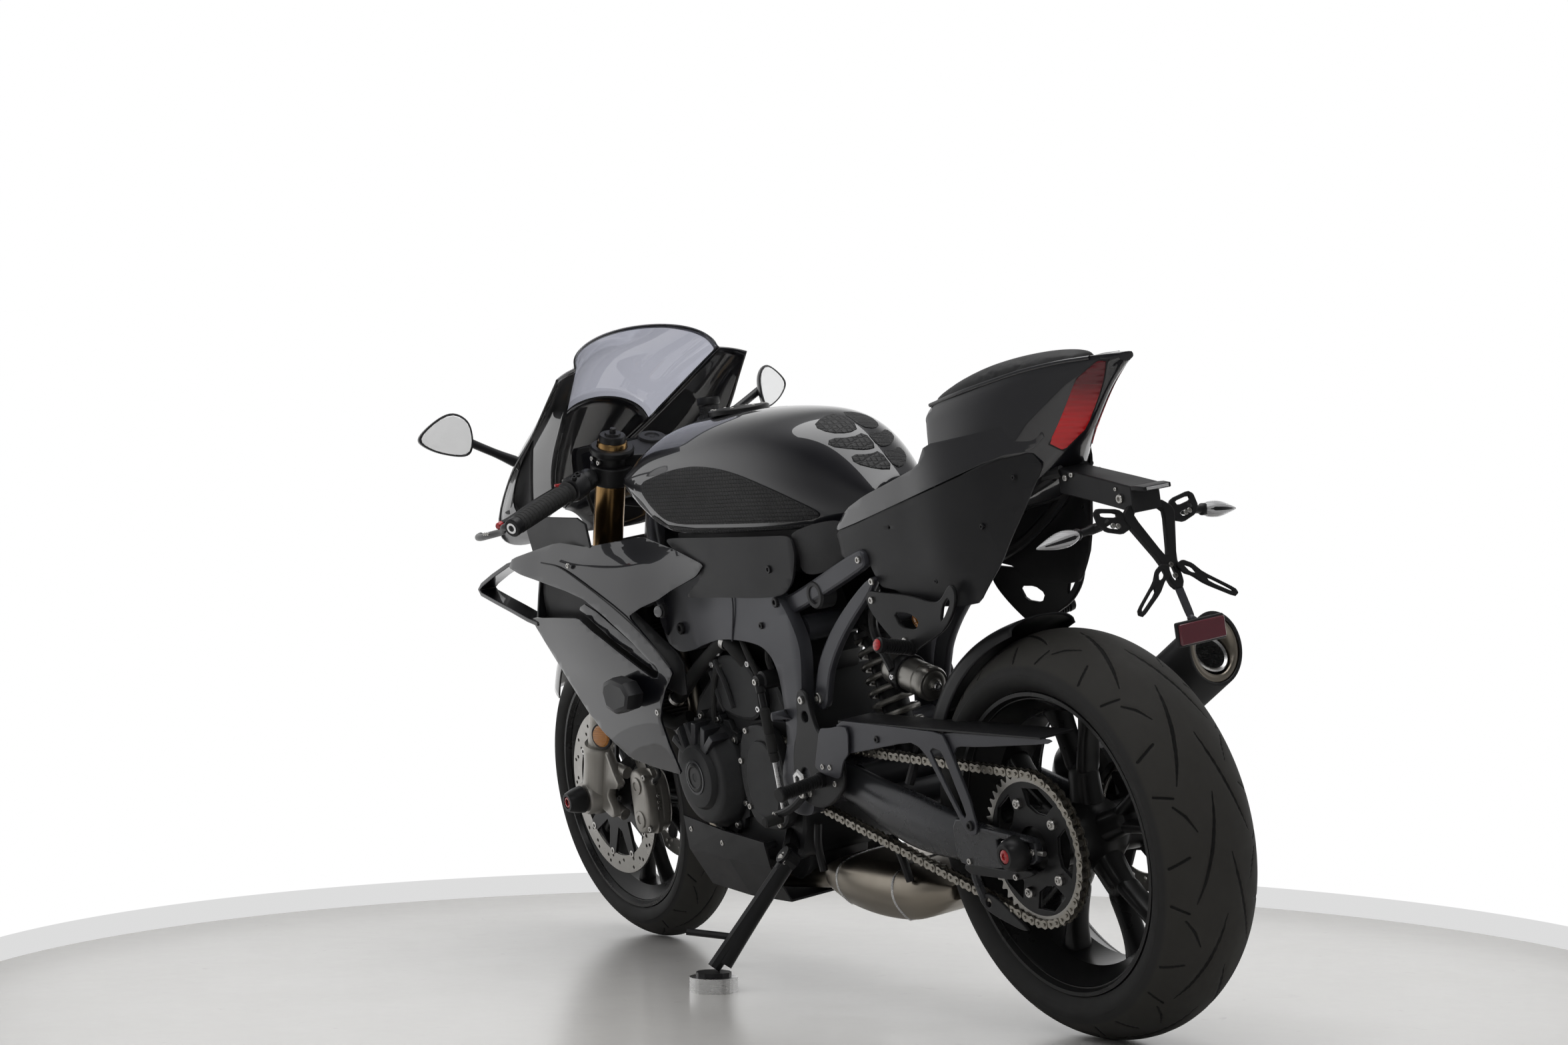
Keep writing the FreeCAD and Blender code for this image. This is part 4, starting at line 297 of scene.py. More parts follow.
def makeTreadGroup():
    group, entry, leave = makeGroup(
        "treadCuts", [("Vector", "NodeSocketVector", (0, 0, 0))],
        [("Groove", "NodeSocketFloat"), ("Tread", "NodeSocketFloat")])
    parts = addNode(group, "SeparateXYZ", {0: entry.outputs["Vector"]})
    across = calc(group, "ABSOLUTE", parts.outputs["Y"])
    shift = calc(group, "MULTIPLY", calc(group, "GREATER_THAN", parts.outputs["Y"], 0.0), 0.5)
    along = calc(group, "FRACT", calc(group, "ADD", parts.outputs["X"], shift))
    spot = addNode(
        group, "CombineXYZ",
        {0: calc(group, "MULTIPLY", along, treadSettings["span"]),
         1: calc(group, "MULTIPLY", across, treadSettings["reach"])}).outputs[0]
    nearest = None
    for cut in treadSettings["cuts"]:
        for (s0, l0, w0), (s1, l1, w1) in zip(cut, cut[1:]):
            start = Vector((s0 * treadSettings["span"], l0 * treadSettings["reach"], 0))
            run = Vector((s1 * treadSettings["span"], l1 * treadSettings["reach"], 0)) - start
            away = addNode(group, "VectorMath", {0: spot, 1: start}, operation="SUBTRACT").outputs[0]
            share = addNode(
                group, "VectorMath", {0: away, 1: run / run.length_squared},
                operation="DOT_PRODUCT").outputs["Value"]
            share = addNode(group, "Clamp", {0: share}).outputs[0]
            foot = addNode(group, "VectorMath", {0: run, "Scale": share}, operation="SCALE").outputs[0]
            gap = addNode(group, "VectorMath", {0: away, 1: foot}, operation="DISTANCE").outputs["Value"]
            gap = calc(group, "SUBTRACT", gap, calc(group, "MULTIPLY_ADD", share, w1 - w0, w0))
            nearest = gap if nearest is None else calc(group, "MINIMUM", nearest, gap)
    # The groove mask drives both the painted groove shade in the colour and the dent in the normal.
    groove = addNode(group, "MapRange", {"Value": nearest, "From Min": 0.7, "From Max": -0.3})
    tread = addNode(group, "MapRange", {"Value": across, "From Min": 1.03, "From Max": 0.97})
    group.links.new(groove.outputs["Result"], leave.inputs["Groove"])
    group.links.new(tread.outputs["Result"], leave.inputs["Tread"])
    return group


def tyreFinish():
    finish = makeFinish(
        "tyreRubber", (0.018, 0.018, 0.0185), (0.62, 0.82), grain=520, grainDepth=0.22, wearScale=9,
        dust=0.12, dustColour=(0.07, 0.066, 0.058))
    tree = finish.node_tree
    cuts = addNode(tree, "Group", node_tree=makeTreadGroup())
    tree.links.new(addNode(tree, "UVMap").outputs[0], cuts.inputs["Vector"])
    shader = tree.nodes["Principled BSDF"]
    wear = shader.inputs["Base Color"].links[0].from_socket
    rubbed = addNode(
        tree, "Mix",
        {0: calc(tree, "MULTIPLY", cuts.outputs["Tread"], 0.62), 6: wear, 7: (*treadSettings["worn"], 1)},
        data_type="RGBA")
    # Painted shade: where the groove mask is set the colour goes near black, standing in for the shade inside
    # the grooves; the same mask dents the normal below.
    cut = addNode(
        tree, "Mix", {0: cuts.outputs["Groove"], 6: rubbed.outputs[2], 7: (*treadSettings["dark"], 1)},
        data_type="RGBA")
    tree.links.new(cut.outputs[2], shader.inputs["Base Color"])
    grain = shader.inputs["Normal"].links[0].from_socket
    dent = addNode(
        tree, "Bump",
        {"Height": cuts.outputs["Groove"], "Normal": grain, "Strength": 1.0, "Distance": 0.0012}, invert=True)
    tree.links.new(dent.outputs["Normal"], shader.inputs["Normal"])
    return finish


tyreRubber = tyreFinish()

# Shapes
drawn = []


def keepPiece(name, mesh, finish, body, place, hides, smooth):
    piece = bpy.data.objects.new(name, mesh)
    bpy.context.scene.collection.objects.link(piece)
    piece.matrix_world = place or bikePlace
    drawn.append(name)
    mesh.materials.append(finish)
    if smooth:
        mesh.shade_smooth()
        mesh.set_sharp_from_angle(angle=math.radians(smooth))
    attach(piece, body)
    if hides:
        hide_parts(*hides)
    return piece


def reshape(mesh, work):
    shaper = bmesh.new()
    shaper.from_mesh(mesh)
    work(shaper)
    shaper.to_mesh(mesh)
    shaper.free()


def turnOut(shaper):
    bmesh.ops.recalc_face_normals(shaper, faces=shaper.faces)


def turnSheet(mesh, axis, way):
    def work(shaper):
        turnOut(shaper)
        if sum(face.normal[axis] * face.calc_area() for face in shaper.faces) * way < 0:
            bmesh.ops.reverse_faces(shaper, faces=shaper.faces)

    reshape(mesh, work)


def everything(shaper):
    return shaper.verts[:] + shaper.edges[:] + shaper.faces[:]


def addPiece(name, points, faces, finish, body="chassis", place=None, hides=(), smooth=35):
    mesh = bpy.data.meshes.new(name)
    mesh.from_pydata([Vector(point) / 1000 for point in points], [], faces)
    reshape(mesh, turnOut)
    return keepPiece(name, mesh, finish, body, place, hides, smooth)


def gridFaces(rows, columns, around=False, loop=False, start=0):
    faces = []
    for r in range(rows if loop else rows - 1):
        here = start + r * columns
        there = start + (r + 1) % rows * columns
        for c in range(columns if around else columns - 1):
            after = (c + 1) % columns
            faces.append((here + c, here + after, there + after, there + c))
    return faces


def endFaces(start, stop, sides):
    return [tuple(range(start, start + sides)), tuple(range(stop - sides, stop))]


def flipped(rows):
    return [[(x, -y, z) for x, y, z in row] for row in rows]


def soften(piece, levels):
    smoother = piece.modifiers.new("smooth", "SUBSURF")
    smoother.levels = levels
    smoother.render_levels = levels
    smoother.boundary_smooth = "PRESERVE_CORNERS"
    return piece


def thicken(piece, thickness):
    wall = piece.modifiers.new("wall", "SOLIDIFY")
    wall.thickness = thickness / 1000
    wall.offset = -1
    return piece


def roundEdges(piece, width, segments=2, angle=35):
    bevel = piece.modifiers.new("edges", "BEVEL")
    bevel.width = width / 1000
    bevel.segments = segments
    bevel.angle_limit = math.radians(angle)
    bevel.harden_normals = False
    return piece


creaseWeights = {"panel": 0.85, "ring": 0.9}


def creaseEdges(piece, creases, weight):
    if not creases:
        return
    layer = piece.data.attributes.new("crease_edge", "FLOAT", "EDGE")
    wanted = {tuple(sorted(pair)) for pair in creases}
    for edge in piece.data.edges:
        if tuple(sorted(edge.vertices)) in wanted:
            layer.data[edge.index].value = weight


def panelPiece(name, rows, thickness, finish, both=True, creasedRows=(), creasedColumns=(), **rest):
    sheets = [rows, flipped(rows)] if both else [rows]
    points, faces, creases = [], [], []
    count, columns = len(rows), len(rows[0])
    for sheet in sheets:
        start = len(points)
        points += [point for row in sheet for point in row]
        faces += gridFaces(count, columns, start=start)
        for r in creasedRows:
            creases += [(start + r * columns + c, start + r * columns + c + 1) for c in range(columns - 1)]
        for c in creasedColumns:
            creases += [(start + r * columns + c, start + (r + 1) * columns + c) for r in range(count - 1)]
    piece = addPiece(name, points, faces, finish, **rest)
    creaseEdges(piece, creases, creaseWeights["panel"])
    soften(piece, 2)
    return thicken(piece, thickness)


def ringPiece(name, rings, finish, both=False, levels=2, creasedRings=(), creasedLines=(), **rest):
    groups = [rings, flipped(rings)] if both else [rings]
    points, faces, creases = [], [], []
    count, columns = len(rings), len(rings[0])
    for group in groups:
        start = len(points)
        points += [point for ring in group for point in ring]
        faces += gridFaces(count, columns, around=True, start=start)
        faces += endFaces(start, len(points), columns)
        for r in creasedRings:
            base = start + r * columns
            creases += [(base + c, base + (c + 1) % columns) for c in range(columns)]
        for c in creasedLines:
            creases += [(start + r * columns + c, start + (r + 1) * columns + c) for r in range(count - 1)]
    piece = addPiece(name, points, faces, finish, **rest)
    creaseEdges(piece, creases, creaseWeights["ring"])
    if levels:
        soften(piece, levels)
    return piece


def outlineCurve(name, loops):
    curve = bpy.data.curves.new(name, "CURVE")
    curve.dimensions = "2D"
    curve.fill_mode = "BOTH"
    for loop in loops:
        line = curve.splines.new("POLY")
        line.points.add(len(loop) - 1)
        for point, (x, z) in zip(line.points, loop):
            point.co = (x / 1000, z / 1000, 0, 1)
        line.use_cyclic_u = True
    return curve


def curveMesh(name, curve):
    holder = bpy.data.objects.new(name, curve)
    mesh = bpy.data.meshes.new_from_object(holder)
    bpy.data.objects.remove(holder)
    bpy.data.curves.remove(curve)
    mesh.materials.clear()
    return mesh


def outlineMesh(name, outline, near, far, holes, bevel):
    curve = outlineCurve(name, [outline, *holes])
    edge = min(bevel, (far - near) / 2.2) / 1000
    curve.extrude = (far - near) / 2000 - edge
    curve.bevel_depth = edge
    curve.bevel_resolution = 1
    curve.offset = -edge
    mesh = curveMesh(name, curve)
    middle = (near + far) / 2000
    mesh.transform(Matrix(((1, 0, 0, 0), (0, 0, -1, middle), (0, 1, 0, 0), (0, 0, 0, 1))))
    return mesh


def platePiece(
        name, outline, near, far, finish, body="chassis", place=None, holes=(), bevel=0.8, both=False,
        hides=()):
    mesh = outlineMesh(name, outline, near, far, holes, bevel)
    if both:
        reshape(mesh, addTwin)
    return keepPiece(name, mesh, finish, body, place, hides, 30)


def addTwin(shaper):
    twin = bmesh.ops.duplicate(shaper, geom=everything(shaper))["geom"]
    for item in twin:
        if isinstance(item, bmesh.types.BMVert):
            item.co.y = -item.co.y
    bmesh.ops.reverse_faces(shaper, faces=[item for item in twin if isinstance(item, bmesh.types.BMFace)])


def crossWay(way):
    helper = Vector((0, 1, 0)) if abs(way.y) < 0.9 else Vector((1, 0, 0))
    return way.cross(helper).normalized()


def roundRing(centre, way, radius, sides):
    first = crossWay(way)
    other = way.cross(first)
    turns = [2 * math.pi * k / sides for k in range(sides)]
    return [centre + (first * math.cos(turn) + other * math.sin(turn)) * radius for turn in turns]


def lathePoints(start, way, profile, sides):
    return [
        point for along, radius in profile for point in roundRing(start + way * along, way, radius, sides)]


def turnedPiece(name, start, way, profile, finish, sides=40, closed=False, **rest):
    start, way = Vector(start), Vector(way).normalized()
    points = lathePoints(start, way, profile, sides)
    faces = gridFaces(len(profile), sides, around=True, loop=closed)
    if not closed:
        faces += endFaces(0, len(points), sides)
    return addPiece(name, points, faces, finish, **rest)


def between(a, b, c, d, t):
    return 0.5 * (
        2 * b + (c - a) * t + (2 * a - 5 * b + 4 * c - d) * t * t + (3 * b - a - 3 * c + d) * t ** 3)


def smoothLine(points, steps=6):
    points = [Vector(p) for p in points]
    padded = [points[0] * 2 - points[1]] + points + [points[-1] * 2 - points[-2]]
    line = []
    for a, b, c, d in zip(padded, padded[1:], padded[2:], padded[3:]):
        for k in range(steps):
            line.append(between(a, b, c, d, k / steps))
    return line + [points[-1]]


def tubePoints(line, radius, sides):
    first = None
    points = []
    turns = [2 * math.pi * s / sides for s in range(sides)]
    for k, point in enumerate(line):
        way = (line[min(k + 1, len(line) - 1)] - line[max(k - 1, 0)]).normalized()
        if first is None:
            first = crossWay(way)
        first = (first - way * first.dot(way)).normalized()
        other = way.cross(first)
        size = radius[k] if isinstance(radius, list) else radius
        points += [point + (first * math.cos(turn) + other * math.sin(turn)) * size for turn in turns]
    return points


def mirrorSides(both):
    return (1, -1) if both else (1,)


def tubePiece(name, paths, radius, finish, sides=14, steps=6, both=False, **rest):
    points, faces = [], []
    for path in paths:
        line = smoothLine(path, steps) if steps else [Vector(p) for p in path]
        for mirror in mirrorSides(both):
            start = len(points)
            found = tubePoints(line, radius, sides)
            points += [Vector((p.x, p.y * mirror, p.z)) for p in found]
            faces += gridFaces(len(line), sides, around=True, start=start)
            faces += endFaces(start, len(points), sides)
    return addPiece(name, points, faces, finish, **rest)


boltShape = {"sides": 12, "profile": [(0, 1), (0.75, 1), (1, 0.85), (1, 0.5), (0.4, 0.45)]}


def boltHeads(name, bolts, finish, both=False, **rest):
    points, faces = [], []
    sides = boltShape["sides"]
    for x, y, z, way, radius, height in bolts:
        profile = [(height * along, radius * wide) for along, wide in boltShape["profile"]]
        for mirror in mirrorSides(both):
            out = Vector((way[0], way[1] * mirror, way[2])).normalized()
            start = len(points)
            points += lathePoints(Vector((x, y * mirror, z)), out, profile, sides)
            faces += gridFaces(len(profile), sides, around=True, start=start)
            faces += endFaces(start, len(points), sides)
    return addPiece(name, points, faces, finish, smooth=30, **rest)


def sideBolts(name, bolts, finish, **rest):
    boltHeads(
        name, [(x, y, z, (0, 1, 0), radius, height) for x, y, z, radius, height in bolts], finish, **rest)


# Wheels
tyreShapes = {
    "rear": {
        "radius": rearRadius, "half": 90, "around": 638, "repeats": 11,
        "crown": [
            (1.0, 0.0), (0.996, 0.18), (0.984, 0.35), (0.966, 0.51), (0.942, 0.66), (0.912, 0.80),
            (0.880, 0.91), (0.852, 0.97), (0.832, 0.993), (0.826, 1.0), (0.806, 0.998), (0.78, 0.965),
            (0.758, 0.905), (0.742, 0.84), (0.738, 0.80)]},
    "front": {
        "radius": frontRadius, "half": 60, "around": 560, "repeats": 10,
        "crown": [
            (1.0, 0.0), (0.994, 0.20), (0.978, 0.40), (0.952, 0.60), (0.918, 0.78), (0.886, 0.91),
            (0.862, 0.975), (0.855, 1.0), (0.832, 0.998), (0.805, 0.96), (0.788, 0.90), (0.776, 0.80)]},
}


def cutDepth(along, across):
    span, reach = treadSettings["span"], treadSettings["reach"]
    spot = Vector((along * span, abs(across) * reach))
    gap = reach
    for cut in treadSettings["cuts"]:
        for (s0, l0, w0), (s1, l1, w1) in zip(cut, cut[1:]):
            start = Vector((s0 * span, l0 * reach))
            run = Vector((s1 * span, l1 * reach)) - start
            share = min(max((spot - start).dot(run) / run.length_squared, 0), 1)
            gap = min(gap, (spot - start - run * share).length - w0 - (w1 - w0) * share)
    return treadSettings["deep"] * min(max((0.9 - gap) / 2.2, 0), 1)


def tyrePiece(name, shape, place, body, hides):
    radius, half = shape["radius"] - 1.6, shape["half"]
    columns = shape["around"]
    side = [(p.x, p.y) for p in smoothLine([(radius * f, half * g, 0) for f, g in shape["crown"]], 4)]
    runs = [0.0]
    for (r0, y0), (r1, y1) in zip(side, side[1:]):
        runs.append(runs[-1] + math.hypot(r1 - r0, y1 - y0))
    edge = runs[next(k for k, (r, y) in enumerate(side) if y > half * 0.93)]
    rows = [(r, y, -run / edge) for (r, y), run in zip(reversed(side), reversed(runs))]
    rows += [(r, -y, run / edge) for (r, y), run in zip(side[1:], runs[1:])]
    points = []
    block = columns // shape["repeats"]
    for r, y, across in rows:
        inward = Vector((radius - half - r, -y)).normalized()
        shift = 0.5 if across > 0 else 0.0
        depths = [cutDepth((k / block + shift) % 1, across) if abs(across) < 1 else 0.0 for k in range(block)]
        for c in range(columns):
            turn = 2 * math.pi * c / columns
            dented = Vector((r, y)) + inward * depths[c % block]
            points.append((dented.x * math.cos(turn), dented.y, dented.x * math.sin(turn)))
    piece = addPiece(
        name, points, gridFaces(len(rows), columns, around=True), tyreRubber, body=body, place=place,
        hides=hides, smooth=60)
    layer = piece.data.uv_layers.new(name="tread")
    for face in piece.data.polygons:
        spots = [piece.data.loops[k].vertex_index for k in face.loop_indices]
        wraps = any(spot % columns == columns - 1 for spot in spots)
        for k, spot in zip(face.loop_indices, spots):
            around = spot % columns
            share = 1.0 if wraps and around == 0 else around / columns
            layer.data[k].uv = (share * shape["repeats"], rows[spot // columns][2])
    return piece


tyrePiece("tyreRear", tyreShapes["rear"], rearPlace, "rear_wheel", ("rear_tyre",))
tyrePiece("tyreFront", tyreShapes["front"], frontPlace, "front_wheel", ("front_tyre",))

rimCommon = {"seat": 218, "flange": 232, "well": 203, "spokes": 5}
rimShapes = {
    "rear": {"half": 78, "hub": 82, "hubRadius": 38, "spokeDeep": 46, "stem": 46, "limb": 21, "first": 90},
    "front": {"half": 52, "hub": 58, "hubRadius": 36, "spokeDeep": 34, "stem": 34, "limb": 16, "first": 54},
}
spokeCorners = [(-1, -0.5), (-0.6, -1), (0.6, -1), (1, -0.5), (1, 0.5), (0.6, 1), (-0.6, 1), (-1, 0.5)]


def rimPiece(name, shape, place, body, hides):
    half = shape["half"]
    seat, flange, well = rimCommon["seat"], rimCommon["flange"], rimCommon["well"]
    profile = [
        (half, flange - 1), (half - 3, flange), (half - 7, flange), (half - 8, seat + 1),
        (half * 0.68, seat - 2), (half * 0.42, well), (-half * 0.42, well), (-half * 0.68, seat - 2),
        (8 - half, seat + 1), (7 - half, flange), (3 - half, flange), (-half, flange - 1),
        (-half, flange - 7), (9 - half, seat + 2), (-half * 0.66, seat - 10), (-half * 0.4, well - 8),
        (half * 0.4, well - 8), (half * 0.66, seat - 10), (half - 9, seat + 2), (half, flange - 7)]
    turnedPiece(
        name + "Barrel", (0, 0, 0), (0, 1, 0), profile, wheelBlack, sides=96, closed=True, body=body,
        place=place, hides=hides, smooth=24)
    hub, hubRadius = shape["hub"], shape["hubRadius"]
    hubProfile = [
        (-hub, hubRadius), (-hub + 3, hubRadius + 2), (-hub * 0.55, hubRadius), (-hub * 0.3, hubRadius + 14),
        (hub * 0.3, hubRadius + 14), (hub * 0.55, hubRadius), (hub - 3, hubRadius + 2), (hub, hubRadius)]
    turnedPiece(name + "Hub", (0, 0, 0), (0, 1, 0), hubProfile, wheelBlack, sides=48, body=body, place=place)
    points, faces = [], []
    deep, stem, limb = shape["spokeDeep"], shape["stem"], shape["limb"]

    def section(radius, angle, wide, tall):
        out = Vector((math.cos(angle), 0, math.sin(angle)))
        over = Vector((-math.sin(angle), 0, math.cos(angle)))
        return [out * radius + over * (a * wide / 2) + Vector((0, b * tall / 2, 0)) for a, b in spokeCorners]

    def limbOf(sections):
        start = len(points)
        for ring in sections:
            points.extend(ring)
        faces.extend(gridFaces(len(sections), len(spokeCorners), around=True, start=start))
        faces.extend(endFaces(start, len(points), len(spokeCorners)))

    for k in range(rimCommon["spokes"]):
        angle = math.radians(shape["first"] + 360 / rimCommon["spokes"] * k)
        limbOf([
            section(30, angle, stem * 1.25, deep * 1.25), section(60, angle, stem * 0.92, deep * 1.05),
            section(92, angle, stem, deep), section(112, angle, stem * 0.9, deep * 0.8)])
        for way in (-1, 1):
            limbOf([
                section(88, angle + way * 0.10, limb * 1.1, deep * 0.9),
                section(112, angle + way * 0.135, limb, deep * 0.9),
                section(150, angle + way * 0.17, limb * 0.85, deep * 0.85),
                section(186, angle + way * 0.215, limb * 1.15, deep * 0.95),
                section(204, angle + way * 0.24, limb * 2.2, deep * 1.15)])
    soften(addPiece(name + "Spokes", points, faces, wheelBlack, body=body, place=place), 2)


rimPiece("rimRear", rimShapes["rear"], rearPlace, "rear_wheel", ("rear_rim",))
rimPiece("rimFront", rimShapes["front"], frontPlace, "front_wheel", ("front_rim",))


def circle(radius, sides, x=0.0, z=0.0):
    turns = [2 * math.pi * k / sides for k in range(sides)]
    return [(x + radius * math.cos(turn), z + radius * math.sin(turn)) for turn in turns]


def discPiece(name, outer, inner, place, middle, body, hides, both, arms, hubRadius):
    holes = [circle(inner, 60)]
    for k in range(20):
        for step, shift in ((0.2, 0.0), (0.5, 0.42), (0.8, 0.2)):
            if (k + int(step * 10)) % 4 == 3:
                continue
            reach = inner + 4 + (outer - inner - 8) * step
            angle = 2 * math.pi * (k + shift) / 20
            holes.append(circle(3.5, 10, reach * math.cos(angle), reach * math.sin(angle)))
    platePiece(
        name + "Ring", circle(outer, 96), middle - 2.5, middle + 2.5, brushedSteel, body, place, holes,
        bevel=0.4, both=both, hides=hides)
    star = []
    for k in range(arms):
        angle = 2 * math.pi * k / arms
        for reach, turn in (
                (inner - 2, -0.10), (inner + 3, -0.05), (inner + 3, 0.05), (inner - 2, 0.10),
                (inner * 0.62, 0.16), (inner * 0.56, math.pi / arms)):
            star.append((reach * math.cos(angle + turn), reach * math.sin(angle + turn)))
    platePiece(
        name + "Carrier", star, middle - 3.4, middle + 3.4, blackMetal, body, place, [circle(22, 24)],
        bevel=0.8, both=both)
    turnedPiece(
        name + "Foot", (0, min(middle, hubRadius[1]), 0), (0, 1, 0),
        [(0, hubRadius[0]), (abs(middle - hubRadius[1]), hubRadius[0])], blackMetal, sides=40, body=body,
        place=place)
    pins = [(x, middle + 2, z, 7, 2.5) for x, z in circle(inner, arms)]
    sideBolts(name + "Bobbins", pins, boltSteel, both=both, body=body, place=place)
    fixings = []
    for k in range(arms):
        angle = 2 * math.pi * (k + 0.5) / arms
        fixings.append((31 * math.cos(angle), middle + 3.3, 31 * math.sin(angle), 4.5, 4))
    sideBolts(name + "Bolts", fixings, boltSteel, both=both, body=body, place=place)


discPiece("discFront", 160, 126, frontPlace, 66, "front_wheel", ("front_discs",), True, 10, (37, 58))
rearTurn = rearPlace @ Matrix.Rotation(math.pi, 4, "Z")
discPiece("discRear", 110, 82, rearTurn, 90, "rear_wheel", ("rear_disc",), False, 6, (37, 82))
print("wheels made")

# Chain drive
chainShape = {
    "pitch": 15.875, "links": 120, "rearTeeth": 45, "frontTeeth": 16, "line": 107, "front": (700, 405),
    "rollerSides": 8, "studs": 5}
sprocketRadius = chainShape["pitch"] / (2 * math.sin(math.pi / chainShape["rearTeeth"]))
driveRadius = chainShape["pitch"] / (2 * math.sin(math.pi / chainShape["frontTeeth"]))
driveShaft = Vector((chainShape["front"][0], 0, chainShape["front"][1]))
rearShaft = Vector((0, 0, rearRadius))


def chainPoint(share):
    run = driveShaft - rearShaft
    slope = math.atan2(run.z, run.x)
    wrap = math.acos((sprocketRadius - driveRadius) / run.length)
    straight = run.length * math.sin(wrap)
    frontArc, rearArc = driveRadius * 2 * wrap, sprocketRadius * (2 * math.pi - 2 * wrap)
    way = (share % 1.0) * (2 * straight + frontArc + rearArc)

    def onWheel(centre, radius, angle):
        return centre + Vector((math.cos(angle), 0, math.sin(angle))) * radius

    if way < straight:
        first = onWheel(rearShaft, sprocketRadius, slope + wrap)
        last = onWheel(driveShaft, driveRadius, slope + wrap)
        return first.lerp(last, way / straight)
    way -= straight
    if way < frontArc:
        return onWheel(driveShaft, driveRadius, slope + wrap - way / driveRadius)
    way -= frontArc
    if way < straight:
        first = onWheel(driveShaft, driveRadius, slope - wrap)
        last = onWheel(rearShaft, sprocketRadius, slope - wrap)
        return first.lerp(last, way / straight)
    way -= straight
    return onWheel(rearShaft, sprocketRadius, slope - wrap - way / sprocketRadius)


def linkOutline(pitch, high, waist):
    points = []
    for centre, first in ((pitch / 2, -math.pi / 2), (-pitch / 2, math.pi / 2)):
        points += [
            (centre + high * math.cos(first + math.pi * k / 6), high * math.sin(first + math.pi * k / 6))
            for k in range(7)]
        points.append((0, waist if first < 0 else -waist))
    return points


def chainPiece():
    plates, rollers = ([], []), ([], [])
    line, rollerSides = chainShape["line"], chainShape["rollerSides"]
    outline = linkOutline(chainShape["pitch"], 7.2, 4.8)
    for k in range(chainShape["links"]):
        a, b = chainPoint(k / chainShape["links"]), chainPoint((k + 1) / chainShape["links"])
        middle, way = (a + b) / 2, (b - a).normalized()
        up = Vector((0, 1, 0)).cross(way) * -1
        near = 6.2 if k % 2 else 4.3
        for side in (-1, 1):
            start = len(plates[0])
            for y in (near, near + 1.8):
                plates[0].extend(
                    middle + way * x + up * z + Vector((0, line + side * y, 0)) for x, z in outline)
            count = len(outline)
            plates[1].extend(
                (start + c, start + (c + 1) % count, start + count + (c + 1) % count, start + count + c)
                for c in range(count))
            plates[1].extend(endFaces(start, len(plates[0]), count))
        for reach, radius in ((10.2, 2.7), (4.0, 4.9)):
            start = len(rollers[0])
            profile = [
                (-reach, radius * 0.8), (-reach + 0.6, radius), (reach - 0.6, radius), (reach, radius * 0.8)]
            rollers[0].extend(lathePoints(a + Vector((0, line, 0)), Vector((0, 1, 0)), profile, rollerSides))
            rollers[1].extend(gridFaces(len(profile), rollerSides, around=True, start=start))
            rollers[1].extend(endFaces(start, len(rollers[0]), rollerSides))
    addPiece("chainPlates", plates[0], plates[1], chainSteel, hides=("drive_chain",), smooth=30)
    addPiece("chainRollers", rollers[0], rollers[1], chainSteel, smooth=30)


def sprocketPiece():
    teeth = []
    count = chainShape["rearTeeth"]
    for k in range(count):
        angle = 2 * math.pi * k / count
        step = 2 * math.pi / count
        for reach, turn in (
                (sprocketRadius - 5.5, 0.0), (sprocketRadius - 3.5, 0.17), (sprocketRadius + 4, 0.42),
                (sprocketRadius + 4, 0.58), (sprocketRadius - 3.5, 0.83)):
            teeth.append((reach * math.cos(angle + turn * step), reach * math.sin(angle + turn * step)))
    windows = [circle(34, 32)]
    for k in range(chainShape["studs"]):
        turn = 2 * math.pi * (k + 0.5) / chainShape["studs"]
        shape = []
        for reach, swing in ((92, -0.42), (97, 0.0), (92, 0.42), (66, 0.34), (58, 0.0), (66, -0.34)):
            shape.append((reach * math.cos(turn + swing), reach * math.sin(turn + swing)))
        windows.append(shape)
    line = chainShape["line"]
    platePiece(
        "sprocketTeeth", teeth, line - 3.4, line + 3.4, brushedSteel, "rear_wheel", rearPlace,
        [circle(sprocketRadius - 12, 72)], bevel=0.6, hides=("rear_sprocket",))
    platePiece(
        "sprocketWeb", circle(sprocketRadius - 11.8, 72), line - 3, line + 3, blackMetal, "rear_wheel",
        rearPlace, windows, bevel=0.8)
    turnedPiece(
        "sprocketCarrier", (0, 80, 0), (0, 1, 0), [(0, 50), (6, 56), (18, 56), (24, 44)], wheelBlack,
        body="rear_wheel", place=rearPlace)
    nuts, studs = [], []
    for x, z in circle(71, chainShape["studs"]):
        nuts.append((x, line + 2.8, z, 8.5, 7))
        studs.append((x, line + 9, z, 4.2, 3))
    sideBolts("sprocketNuts", nuts, boltSteel, body="rear_wheel", place=rearPlace)
    sideBolts("sprocketStuds", studs, boltSteel, body="rear_wheel", place=rearPlace)


chainPiece()
sprocketPiece()
print("chain drive made")


# Outlines and surfaces seen from the side
def rounded(outline, times=2, share=0.25):
    for _ in range(times):
        outline = [
            point for a, b in zip(outline, outline[1:] + outline[:1])
            for point in (
                (a[0] + (b[0] - a[0]) * share, a[1] + (b[1] - a[1]) * share),
                (a[0] + (b[0] - a[0]) * (1 - share), a[1] + (b[1] - a[1]) * (1 - share)))]
    return outline


def bend(values, t):
    k = min(int(t), len(values) - 2)
    return between(
        values[max(k - 1, 0)], values[k], values[k + 1], values[min(k + 2, len(values) - 1)], t - k)


